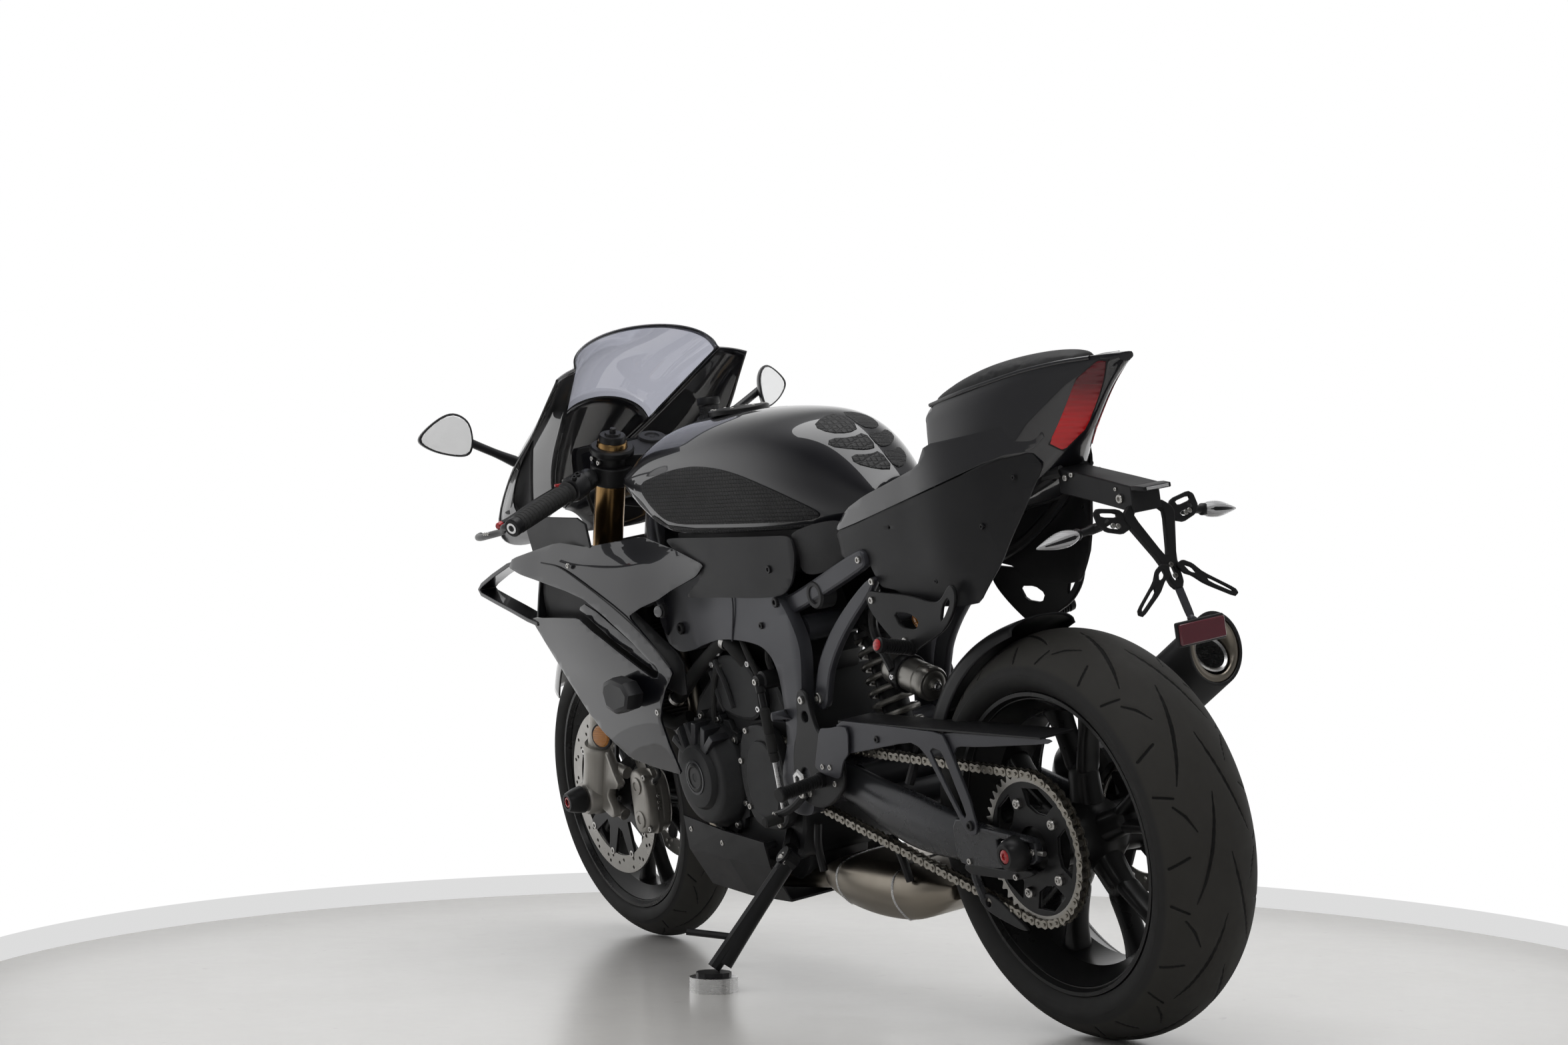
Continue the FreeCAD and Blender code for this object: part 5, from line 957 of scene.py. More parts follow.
def sideHeight(rows):
    ordered = sorted(rows, key=lambda row: row[0])

    def across(row, z):
        line = sorted((point[1], point[0]) for point in row[1])
        levels = [level for level, _ in line]
        z = min(max(z, levels[0]), levels[-1])
        k = max(i for i in range(len(levels)) if levels[i] <= z)
        k = min(k, len(levels) - 2)
        return bend([y for _, y in line], k + (z - levels[k]) / (levels[k + 1] - levels[k]))

    def height(x, z):
        x = min(max(x, ordered[0][0]), ordered[-1][0])
        k = min(max(i for i in range(len(ordered)) if ordered[i][0] <= x), len(ordered) - 2)
        share = (x - ordered[k][0]) / (ordered[k + 1][0] - ordered[k][0])
        return bend([across(row, z) for row in ordered], k + share)

    return height


def cutGrid(shaper, step):
    bmesh.ops.remove_doubles(shaper, verts=shaper.verts, dist=1e-6)
    for axis in (0, 1):
        low = min(v.co[axis] for v in shaper.verts)
        high = max(v.co[axis] for v in shaper.verts)
        count = int((high - low) * 1000 / step)
        for k in range(1, count + 1):
            spot, way = [0, 0, 0], [0, 0, 0]
            spot[axis] = low + (high - low) * k / (count + 1)
            way[axis] = 1
            bmesh.ops.bisect_plane(shaper, geom=everything(shaper), plane_co=spot, plane_no=way, dist=1e-7)


def filledSheet(name, outline, holes, step):
    mesh = curveMesh(name, outlineCurve(name, [outline, *holes]))
    reshape(mesh, lambda shaper: cutGrid(shaper, step))
    return mesh


def skinPiece(
        name, outline, height, finish, thickness=3.0, holes=(), step=14, hides=(), bevel=0.8, lift=0.0,
        smooth=50):
    mesh = filledSheet(name, outline, holes, step)
    for point in mesh.vertices:
        x, z = point.co.x, point.co.y
        point.co = (x, (height(x * 1000, z * 1000) + lift) / 1000, z)
    turnSheet(mesh, 1, 1)
    reshape(mesh, addTwin)
    piece = keepPiece(name, mesh, finish, "chassis", None, hides, smooth)
    thicken(piece, thickness)
    return roundEdges(piece, bevel, 2, 50)


def surfaceOf(piece, way, start):
    tree = BVHTree.FromObject(piece, bpy.context.evaluated_depsgraph_get())

    def hit(point):
        origin = Vector(point) / 1000 - Vector(way) * start
        found = tree.ray_cast(origin, Vector(way))[0]
        if found is None:
            found = tree.find_nearest(Vector(point) / 1000)[0]
        return found * 1000

    return hit


def sideOf(piece):
    hit = surfaceOf(piece, (0, -1, 0), 0.6)
    return lambda x, z: hit((x, 0, z)).y


# Tank
def halfRing(x, points):
    left = [(x, y, z) for y, z in points]
    return left + [(x, -y, z) for _, y, z in reversed(left[:-1])]


tankShape = {
    "rings": [
        (1040, [(120, 900), (148, 900), (150, 905), (149, 912), (140, 922), (90, 945), (0, 955)]),
        (985, [(120, 862), (156, 866), (161, 888), (158, 918), (136, 958), (80, 988), (0, 1000)]),
        (904, [(120, 806), (150, 812), (160, 850), (163, 905), (142, 960), (84, 994), (0, 1008)]),
        (800, [(110, 806), (140, 806), (150, 850), (160, 915), (140, 966), (84, 998), (0, 1010)]),
        (700, [(100, 806), (132, 806), (143, 850), (154, 912), (135, 965), (80, 997), (0, 1010)]),
        (600, [(90, 806), (122, 806), (132, 848), (142, 900), (124, 955), (74, 990), (0, 1003)]),
        (530, [(80, 806), (108, 806), (118, 842), (126, 884), (110, 935), (66, 976), (0, 994)]),
        (470, [(60, 806), (92, 806), (98, 835), (103, 868), (92, 908), (56, 946), (0, 966)]),
        (420, [(40, 812), (78, 812), (80, 834), (80, 856), (70, 880), (44, 905), (0, 920)]),
        (374, [(30, 820), (62, 820), (62, 832), (60, 846), (52, 858), (30, 868), (0, 874)]),
    ],
    "kneePad": [
        (966, 902), (900, 915), (830, 925), (751, 927), (660, 912), (570, 880), (500, 846), (470, 826),
        (500, 819), (600, 821), (760, 824), (880, 828), (925, 856)],
    "cap": (850, 0, 1009),
}
tank = ringPiece(
    "tankShell", [halfRing(x, points) for x, points in tankShape["rings"]], glossPaint, levels=3,
    creasedRings=(0, 9), creasedLines=(0, 1, 11, 12), hides=("fuel_tank",), smooth=60)
tankSide = sideOf(tank)
skinPiece(
    "kneePads", rounded(tankShape["kneePad"]), tankSide, padRubber, thickness=4, lift=2.4, step=16, bevel=1.6)
skinPiece(
    "kneeStrips",
    rounded([(930, 846), (884, 820), (600, 813), (480, 814), (470, 808), (890, 808), (945, 842)], 1),
    tankSide, padRubber, thickness=3, lift=1.5, step=20)


def backPatch(name, outline, finish, lift):
    hit = surfaceOf(tank, (1, 0, 0), 0.1)
    mesh = filledSheet(name, outline, (), 9)
    for point in mesh.vertices:
        y, z = point.co.x, point.co.y
        found = hit((0, y * 1000, z * 1000))
        point.co = ((found.x - lift) / 1000, y, z)
    turnSheet(mesh, 0, -1)
    reshape(mesh, addTwin)
    piece = keepPiece(name, mesh, finish, "chassis", None, (), 50)
    thicken(piece, 4)
    roundEdges(piece, 1.2, 2, 50)


backPatch(
    "tankPadTop", rounded([(2, 958), (2, 986), (34, 982), (58, 970), (50, 956), (26, 952)], 1), padBack, 2)
backPatch(
    "tankPadMiddle", rounded([(2, 924), (2, 950), (28, 944), (56, 948), (66, 936), (40, 926), (20, 922)], 1),
    padBack, 2)
backPatch(
    "tankPadLow", rounded([(2, 886), (2, 918), (22, 914), (48, 918), (52, 904), (28, 890)], 1), padBack, 2)
capAt = Vector(tankShape["cap"])
turnedPiece(
    "capRing", capAt, (0, 0, 1), [(-6, 54), (1, 54), (3, 52), (3.4, 46), (1.6, 43), (-6, 43)], blackMetal,
    sides=64, closed=True)
turnedPiece(
    "capLid", capAt, (0, 0, 1), [(-6, 42), (3.2, 42), (4.4, 40.5), (4.8, 14), (6.2, 12), (6.2, 0.5)],
    blackMetal, sides=64, hides=("fuel_cap",))
boltHeads(
    "capBolts",
    [(capAt.x + 48.5 * math.cos(k * math.pi / 4), 48.5 * math.sin(k * math.pi / 4), capAt.z + 3, (0, 0, 1),
      3.2, 2)
     for k in range(8)],
    boltSteel)
print("tank made")

# Seats
cushionSettings = {"voxel": 0.005, "pressure": 4.0, "frames": 20, "reach": 0.008}


def swell(piece):
    settings = cushionSettings
    remesh = piece.modifiers.new("even", "REMESH")
    remesh.mode = "VOXEL"
    remesh.voxel_size = settings["voxel"]
    remesh.use_smooth_shade = True
    even = bpy.data.meshes.new_from_object(piece.evaluated_get(bpy.context.evaluated_depsgraph_get()))
    piece.modifiers.clear()
    rest = [point.co.copy() for point in even.vertices]
    soft = bpy.data.objects.new(piece.name + "Soft", even)
    bpy.context.scene.collection.objects.link(soft)
    cloth = soft.modifiers.new("cloth", "CLOTH")
    cloth.settings.use_pressure = True
    cloth.settings.uniform_pressure_force = settings["pressure"]
    cloth.settings.effector_weights.gravity = 0
    cloth.point_cache.frame_end = settings["frames"]
    for frameNumber in range(1, settings["frames"] + 1):
        bpy.context.scene.frame_set(frameNumber)
    swollen = bpy.data.meshes.new_from_object(soft.evaluated_get(bpy.context.evaluated_depsgraph_get()))
    bpy.data.objects.remove(soft)
    for point, start in zip(swollen.vertices, rest):
        move = point.co - start
        if move.length > settings["reach"]:
            point.co = start + move.normalized() * settings["reach"]
    bpy.context.scene.frame_set(1)
    swollen.materials.clear()
    swollen.materials.append(seatCover)
    swollen.shade_smooth()
    piece.data = swollen
    soften(piece, 1)


seatShape = {
    "rider": [
        (374, [(40, 806), (58, 806), (62, 822), (54, 834), (0, 838)]),
        (366, [(62, 802), (94, 806), (103, 822), (90, 834), (0, 838)]),
        (330, [(76, 803), (99, 808), (107, 824), (93, 835), (0, 830)]),
        (250, [(78, 814), (101, 820), (110, 842), (96, 856), (0, 844)]),
        (190, [(78, 826), (100, 834), (106, 864), (91, 886), (0, 876)]),
        (160, [(68, 838), (86, 848), (92, 876), (80, 900), (0, 892)]),
        (150, [(60, 846), (74, 856), (80, 880), (70, 894), (0, 888)])],
    "pillion": [
        (152, [(56, 962), (74, 964), (77, 983), (62, 998), (0, 1001)]),
        (146, [(60, 962), (80, 964), (83, 984), (68, 1001), (0, 1004)]),
        (60, [(58, 972), (77, 974), (80, 1004), (68, 1026), (0, 1031)]),
        (-40, [(46, 984), (61, 988), (64, 1018), (52, 1038), (0, 1043)]),
        (-118, [(26, 1004), (38, 1008), (40, 1028), (32, 1039), (0, 1044)]),
        (-148, [(12, 1018), (22, 1019), (22, 1030), (17, 1036), (0, 1038)])],
}
riderSeat = ringPiece(
    "riderSeat", [halfRing(x, points) for x, points in seatShape["rider"]], seatCover, levels=2,
    hides=("rider_seat",), smooth=80)
swell(riderSeat)
pillionSeat = ringPiece(
    "passengerPad", [halfRing(x, points) for x, points in seatShape["pillion"]], seatCover, levels=2,
    hides=("passenger_seat",), smooth=80)
swell(pillionSeat)
print("seats made")

# Tail
tailShape = {
    "rings": [
        (142, [(60, 800), (90, 810), (102, 880), (100, 912), (96, 966), (88, 974), (86, 958), (0, 948)]),
        (134, [(60, 800), (91, 810), (103, 880), (101, 912), (97, 980), (88, 990), (84, 972), (0, 960)]),
        (60, [(58, 806), (86, 816), (97, 884), (97, 922), (92, 990), (84, 1004), (80, 980), (0, 970)]),
        (-10, [(44, 826), (66, 836), (78, 894), (80, 938), (78, 1000), (70, 1016), (64, 996), (0, 990)]),
        (-60, [(26, 856), (42, 866), (57, 916), (62, 950), (65, 1008), (57, 1024), (50, 1006), (0, 1000)]),
        (-98, [(14, 894), (24, 900), (42, 940), (48, 968), (54, 1014), (47, 1028), (40, 1016), (0, 1010)]),
        (-140, [(4, 924), (9, 930), (32, 970), (38, 990), (43, 1019), (37, 1031), (30, 1028), (0, 1024)]),
        (-190, [(3, 984), (7, 988), (24, 1008), (27, 1014), (29, 1024), (26, 1032), (18, 1033), (0, 1033)]),
        (-240, [(3, 1018), (6, 1019), (12, 1022), (13, 1024), (13, 1027), (11, 1030), (6, 1031), (0, 1031)])],
    "lamp": [(-86, 912), (-99, 899), (-139, 928), (-220, 1020), (-206, 1023), (-162, 1000)],
}
tail = ringPiece(
    "tailShell", [halfRing(x, points) for x, points in tailShape["rings"]], glossPaint, levels=2,
    creasedRings=(0, 8), creasedLines=(1, 3, 4, 5, 9, 10, 11, 13), hides=("tail_cowl",), smooth=50)
tailSide = sideOf(tail)
skinPiece(
    "lampFrame", [(x * 1.05 + 7.4, z * 1.05 - 47.5) for x, z in tailShape["lamp"]], tailSide, satinPlastic,
    thickness=4, lift=1.4, step=10)
skinPiece(
    "lampLens", rounded(tailShape["lamp"], 1, 0.1), tailSide, lampRed, thickness=4, lift=3.2, step=10,
    hides=("tail_lamp",), bevel=1)

panelHeights = sideHeight([
    (404, [(118, 806), (119, 790), (119, 774), (118, 760)]),
    (345, [(120, 822), (121, 800), (120, 778), (118, 755)]),
    (296, [(121, 826), (121, 800), (119, 752), (116, 710)]),
    (200, [(120, 846), (119, 800), (117, 740), (110, 682)]),
    (112, [(117, 868), (117, 806), (114, 744), (104, 684)]),
    (20, [(94, 884), (94, 832), (92, 784), (88, 738)]), (-44, [(62, 900), (61, 870), (60, 840), (58, 806)]),
    (-100, [(40, 930), (36, 910), (33, 880), (30, 850)])])
skinPiece(
    "tailWings",
    rounded(
        [(406, 802), (359, 838), (300, 858), (239, 873), (144, 898), (120, 930), (30, 938), (-60, 948),
         (-86, 925), (-60, 905), (-3, 898), (110, 866), (323, 818)],
        1, 0.15),
    panelHeights, glossPaint, thickness=4, lift=2.5, step=16, bevel=1.4)
skinPiece(
    "underSeatPanels",
    rounded(
        [(404, 802), (323, 817), (110, 864), (-3, 895), (-58, 902), (-70, 880), (-48, 842), (14, 740),
         (66, 684), (100, 680), (190, 680), (240, 690), (258, 706), (300, 712), (322, 754), (396, 758)],
        1, 0.12),
    panelHeights, satinPlastic, thickness=4, lift=0.5, step=18, hides=("side_panels",),
    holes=[circle(3.5, 12, 246, 806), circle(3.5, 12, 30, 800)])
sideBolts(
    "tailBolts",
    [(246, 117, 806, 4.5, 3.2), (30, 98, 800, 4.5, 3.2), (150, 112, 720, 4, 3), (-30, 72, 868, 4, 3)],
    blackMetal, both=True)
coverHeights = sideHeight([
    (930, [(150, 820), (153, 760), (150, 690)]), (795, [(152, 820), (156, 750), (150, 690)]),
    (650, [(147, 820), (150, 750), (144, 690)]), (505, [(139, 820), (141, 750), (136, 690)])])
skinPiece(
    "sideCovers",
    rounded(
        [(904, 804), (760, 803), (600, 801), (520, 801), (507, 790), (503, 765), (522, 725), (560, 700),
         (640, 697), (760, 699), (868, 697), (840, 716), (795, 733), (830, 760), (905, 795)],
        2, 0.2),
    coverHeights, satinPlastic, thickness=4, lift=1, step=20, bevel=1.6)
skinPiece(
    "seatSidePods",
    rounded(
        [(524, 799), (508, 786), (503, 764), (512, 742), (490, 732), (440, 738), (398, 752), (378, 780),
         (382, 806), (402, 820), (450, 818), (505, 808)],
        2, 0.22),
    sideHeight([
        (520, [(128, 830), (134, 780), (126, 720)]), (440, [(118, 830), (130, 780), (118, 720)]),
        (370, [(104, 830), (114, 780), (106, 720)])]),
    seatCover, thickness=4, step=14, bevel=1.6)
platePiece(
    "underTankPanels", rounded([(960, 812), (372, 812), (380, 770), (420, 742), (960, 742)], 1, 0.1), 92, 98,
    satinPlastic, bevel=2, both=True)
sideBolts("sideCoverBolts", [(583, 146, 746, 7, 3.5)], blackMetal, both=True)
turnedPiece(
    "roundCap", (482, 100, 700), (0, 1, 0), [(0, 24), (26, 24), (30, 21), (30, 15), (26, 13), (26, 0.5)],
    satinPlastic)
edgeRings = tailShape["rings"][1:8]
edgeLine = [(x, points[5][0] + 1, points[5][1] - 3) for x, points in edgeRings]
tubePiece("tailEdgeTrims", [edgeLine], 3.2, glossPaint, sides=12, both=True)
print("tail made")

# Side fairing
fairingShape = {
    "heights": [
        (1330, [(206, 880), (250, 800), (264, 735), (256, 680), (240, 600), (224, 370)]),
        (1240, [(198, 860), (240, 785), (252, 715), (246, 655), (232, 570), (216, 370)]),
        (1120, [(182, 840), (222, 770), (236, 700), (232, 630), (220, 540), (206, 370)]),
        (1000, [(170, 822), (200, 756), (212, 694), (210, 620), (204, 520), (194, 370)]),
        (880, [(160, 812), (174, 750), (184, 690), (184, 620), (184, 520), (182, 370)]),
        (765, [(155, 800), (160, 750), (162, 690), (164, 620), (170, 520), (174, 370)])],
    "outline": [
        (963, 811), (860, 784), (775, 757), (800, 738), (868, 716), (905, 700), (950, 688), (983, 674),
        (940, 626), (893, 571), (905, 556), (920, 541), (938, 512), (949, 487), (938, 440), (917, 388),
        (990, 398), (1065, 413), (1135, 459), (1170, 496), (1222, 565), (1280, 668), (1276, 676), (1200, 676),
        (1123, 674), (1095, 652), (1020, 604), (950, 562), (936, 562), (930, 574), (990, 630), (1050, 678),
        (1100, 708), (1150, 724), (1225, 742), (1290, 758), (1330, 772), (1322, 788), (1200, 811),
        (1113, 799)],
}
fairingHeights = sideHeight(fairingShape["heights"])
skinPiece(
    "fairingSides", rounded(fairingShape["outline"], 1, 0.1), fairingHeights, glossPaint, thickness=4,
    holes=[circle(12.5, 24, 1000, 536), circle(10, 20, 906, 680)], step=14, bevel=1.4,
    hides=("side_fairings",))
skinPiece(
    "slotFins",
    rounded([(1140, 690), (1112, 700), (1010, 628), (944, 572), (950, 566), (1040, 618), (1124, 680)], 1),
    lambda x, z: fairingHeights(x, z) - 14, glossPaint, thickness=3, step=20)
skinPiece(
    "slotWalls",
    rounded(
        [(1278, 660), (1262, 768), (1134, 738), (1040, 706), (900, 590), (905, 520), (1040, 566),
         (1123, 625)],
        1, 0.1),
    lambda x, z: fairingHeights(x, z) - 30, satinPlastic, thickness=3, step=24)
turnedPiece(
    "fairingBossLeft", (906, 176, 680), (0, 1, 0), [(0, 13), (8, 13), (10, 11), (10, 8), (2, 6), (2, 0.5)],
    blackMetal)
sideBolts(
    "fairingBolts", [(954, 194, 500, 6, 3), (1010, 206, 690, 5, 3), (1140, 232, 770, 5, 3)], boltSteel,
    both=True)


def stripPiece(name, path, wide, thick, finish):
    points, faces = [], []
    for mirror in (1, -1):
        start = len(points)
        for k, (x, y, z) in enumerate(path):
            before, after = path[max(k - 1, 0)], path[min(k + 1, len(path) - 1)]
            way = Vector((after[0] - before[0], 0, after[2] - before[2])).normalized()
            out = Vector((-way.z, 0, way.x)) * thick / 2
            for across, lift in ((-1, -1), (1, -1), (1, 1), (-1, 1)):
                points.append(Vector((x, y * mirror + across * wide / 2 * mirror, z)) + out * lift)
        faces += gridFaces(len(path), 4, around=True, start=start)
        faces += endFaces(start, len(points), 4)
    return roundEdges(addPiece(name, points, faces, finish, smooth=40), 1.4, 3, 40)


duct = [
    (1262, 224, 776), (1300, 230, 783), (1340, 240, 776), (1390, 250, 758), (1430, 256, 742),
    (1442, 258, 733), (1434, 258, 724), (1390, 252, 708), (1340, 246, 691), (1290, 240, 673),
    (1262, 234, 664)]
stripPiece("ductLoops", duct, 36, 8, glossPaint)
stripPiece(
    "ductRoots", [(1250, 214, 764), (1268, 214, 744), (1278, 216, 716), (1282, 220, 690), (1280, 224, 672)],
    34, 5, glossPaint)
seamRun = [(1225, 778), (1170, 768), (1100, 738), (1020, 694), (963, 652), (915, 606), (893, 580)]
tubePiece(
    "bladeSeams", [[(x, fairingHeights(x, z) + 3.4, z) for x, z in seamRun]], 1.5, blackMetal, sides=8,
    both=True)
for side, tag in bothSides:
    shape = [
        (1050, 545), (1040, 562), (1010, 570), (968, 562), (948, 540), (962, 514), (1010, 504), (1042, 514)]
    platePiece(
        "protector" + tag, shape, *sorted((216 * side, 252 * side)), satinPlastic, bevel=9,
        hides=("crash_protectors",) if side > 0 else ())
print("side fairing made")

# Upper fairing and screen
noseShape = {
    "rows": [
        [(1149, 153, 1122), (1143, 172, 1118), (1137, 190, 1112), (1132, 203, 1106)],
        [(1200, 139, 1093), (1199, 169, 1088), (1197, 196, 1072), (1196, 211, 1050)],
        [(1250, 125, 1064), (1251, 165, 1056), (1252, 198, 1032), (1252, 217, 997)],
        [(1355, 96, 1004), (1352, 150, 1006), (1345, 200, 985), (1332, 225, 952)],
        [(1430, 74, 966), (1432, 130, 960), (1436, 185, 930), (1450, 218, 850)],
        [(1500, 52, 925), (1500, 100, 915), (1498, 150, 880), (1488, 190, 806)],
        [(1560, 28, 882), (1560, 62, 872), (1556, 98, 842), (1540, 120, 792)],
        [(1600, 10, 848), (1600, 26, 842), (1597, 42, 826), (1590, 50, 796)],
    ],
    "rises": [62, 70, 75, 58, 40, 24, 14, 6], "clearRows": 3, "archPoints": 13,
}


def archRow(k):
    count = noseShape["archPoints"]
    x, y, z = noseShape["rows"][k][0]
    rise = noseShape["rises"][k]
    row = []
    for step in range(count):
        turn = math.pi * step / (count - 1)
        lift = rise * math.sin(turn) ** 0.9
        row.append((x + 0.4 * lift, y * math.cos(turn), z + lift))
    return row


panelPiece(
    "upperFairingSides", noseShape["rows"], 3.5, glossPaint, creasedColumns=(3,), creasedRows=(0,),
    hides=("upper_fairing",))
clear = noseShape["clearRows"]
glassRows = [[(x, y, z - 0.3) for x, y, z in archRow(k)] for k in range(clear + 1)]
panelPiece(
    "screenGlass", glassRows, 2.5, smokeScreen, both=False, creasedRows=(0, clear), hides=("windscreen",))
panelPiece(
    "screenBorder", [archRow(k) for k in range(clear, len(noseShape["rows"]))], 3, glossPaint, both=False,
    creasedRows=(0,))
tubePiece(
    "screenRim", [[Vector(p) + Vector((1, 0, -4)) for p in archRow(0)]], 1.7, blackMetal, sides=8, steps=4)
edgeLines = [[Vector(archRow(k)[0]) + Vector((0, -1, 1)) for k in range(clear + 1)]]
tubePiece("screenEdgeTrims", edgeLines, 1.6, blackMetal, sides=8, steps=4, both=True)
tubePiece(
    "screenLowerTrim", [[Vector(p) + Vector((0, 0, -1.5)) for p in archRow(clear)]], 3.2, satinPlastic,
    sides=8, steps=4)
boltHeads(
    "screenBolts",
    [(1196, 150, 1096, (-0.4, 0.3, 1), 5, 3), (1300, 122, 1036, (-0.4, 0.3, 1), 5, 3),
     (1392, 96, 988, (-0.4, 0.3, 1), 5, 3), (1155, 190, 1102, (0, 1, 0.4), 4, 2.5)],
    blackMetal, both=True)
panelPiece(
    "fairingInner",
    [[(1262, 205, 1000), (1300, 196, 950), (1330, 190, 900), (1350, 184, 846)],
     [(1330, 205, 960), (1360, 194, 920), (1390, 186, 880), (1400, 180, 830)],
     [(1420, 196, 880), (1430, 180, 860), (1450, 160, 840), (1460, 140, 820)],
     [(1490, 140, 850), (1500, 110, 850), (1510, 90, 850), (1520, 60, 850)]],
    3, satinPlastic)
print("upper fairing made")

# Dash
dashShape = {
    "x": 1322,
    "outline": [(-92, 908), (-84, 896), (84, 896), (92, 908), (90, 962), (80, 974), (-80, 974), (-90, 962)],
    "depth": 22}


def facingPlate(name, outline, near, far, finish, bevel, hides=()):
    mesh = outlineMesh(name, outline, near, far, (), bevel)
    mesh.transform(Matrix(((0, 1, 0, 0), (1, 0, 0, 0), (0, 0, 1, 0), (0, 0, 0, 1))))
    mesh.flip_normals()
    return keepPiece(name, mesh, finish, "chassis", None, hides, 35)


facingPlate(
    "dashCase", rounded(dashShape["outline"], 1), dashShape["x"], dashShape["x"] + dashShape["depth"],
    satinPlastic, 3, hides=("dash",))
facingPlate(
    "dashGlass", rounded([(-78, 908), (78, 908), (78, 962), (-78, 962)], 1, 0.06), dashShape["x"] - 1,
    dashShape["x"] + 4, glossPaint, 1)

# Mirrors
mirrorShape = {
    "outline": [
        (312, 1016), (312, 1042), (318, 1060), (338, 1076), (360, 1070), (388, 1051), (404, 1034),
        (397, 1021), (378, 1006), (358, 997), (334, 989), (318, 992)],
    "x": 1284, "slope": 0.5, "depth": 30, "inset": 0.7,
    "stalk": [(1332, 214, 966), (1326, 250, 985), (1320, 290, 1006), (1314, 326, 1026)],
}


def mirrorRing(scale, ahead):
    outline = mirrorShape["outline"]
    middleY = sum(y for y, _ in outline) / len(outline)
    middleZ = sum(z for _, z in outline) / len(outline)
    return [
        (mirrorShape["x"] + (y - 310) * mirrorShape["slope"] + ahead,
         middleY - mirrorShape["inset"] + (y - middleY) * scale, middleZ + (z - middleZ) * scale)
        for y, z in outline]


ringPiece(
    "mirrorShells",
    [mirrorRing(0.9, 3), mirrorRing(0.955, 0.6), mirrorRing(1, 1), mirrorRing(1, 7), mirrorRing(0.93, 17),
     mirrorRing(0.7, 26), mirrorRing(0.35, mirrorShape["depth"])],
    mirrorShell, both=True, levels=2, creasedRings=(1, 2), hides=("mirrors",))
ringPiece(
    "mirrorGlass", [mirrorRing(0.895, -0.4), mirrorRing(0.905, 0), mirrorRing(0.90, 5)], mirrorFace,
    both=True, levels=1, creasedRings=(0, 1, 2), smooth=20)
tubePiece(
    "mirrorStalks", [mirrorShape["stalk"]],
    [11, 10.5, 10, 9.5, 9, 8.6, 8.3, 8, 8, 8, 8, 8, 8, 8, 8, 8, 8, 8, 8], mirrorShell, both=True)
ringPiece(
    "mirrorFeet",
    [[(1352, 198, 946), (1352, 205, 980), (1322, 208, 984), (1306, 210, 958), (1326, 204, 936)],
     [(1346, 214, 956), (1344, 216, 976), (1328, 217, 978), (1318, 218, 962), (1330, 216, 950)]],
    mirrorShell, both=True, levels=1)
platePiece(
    "noseInfill", rounded([(1098, 778), (1330, 770), (1352, 842), (1300, 858), (1110, 852)], 1, 0.15), 198,
    203, satinPlastic, bevel=1.5, both=True)
print("mirrors made")

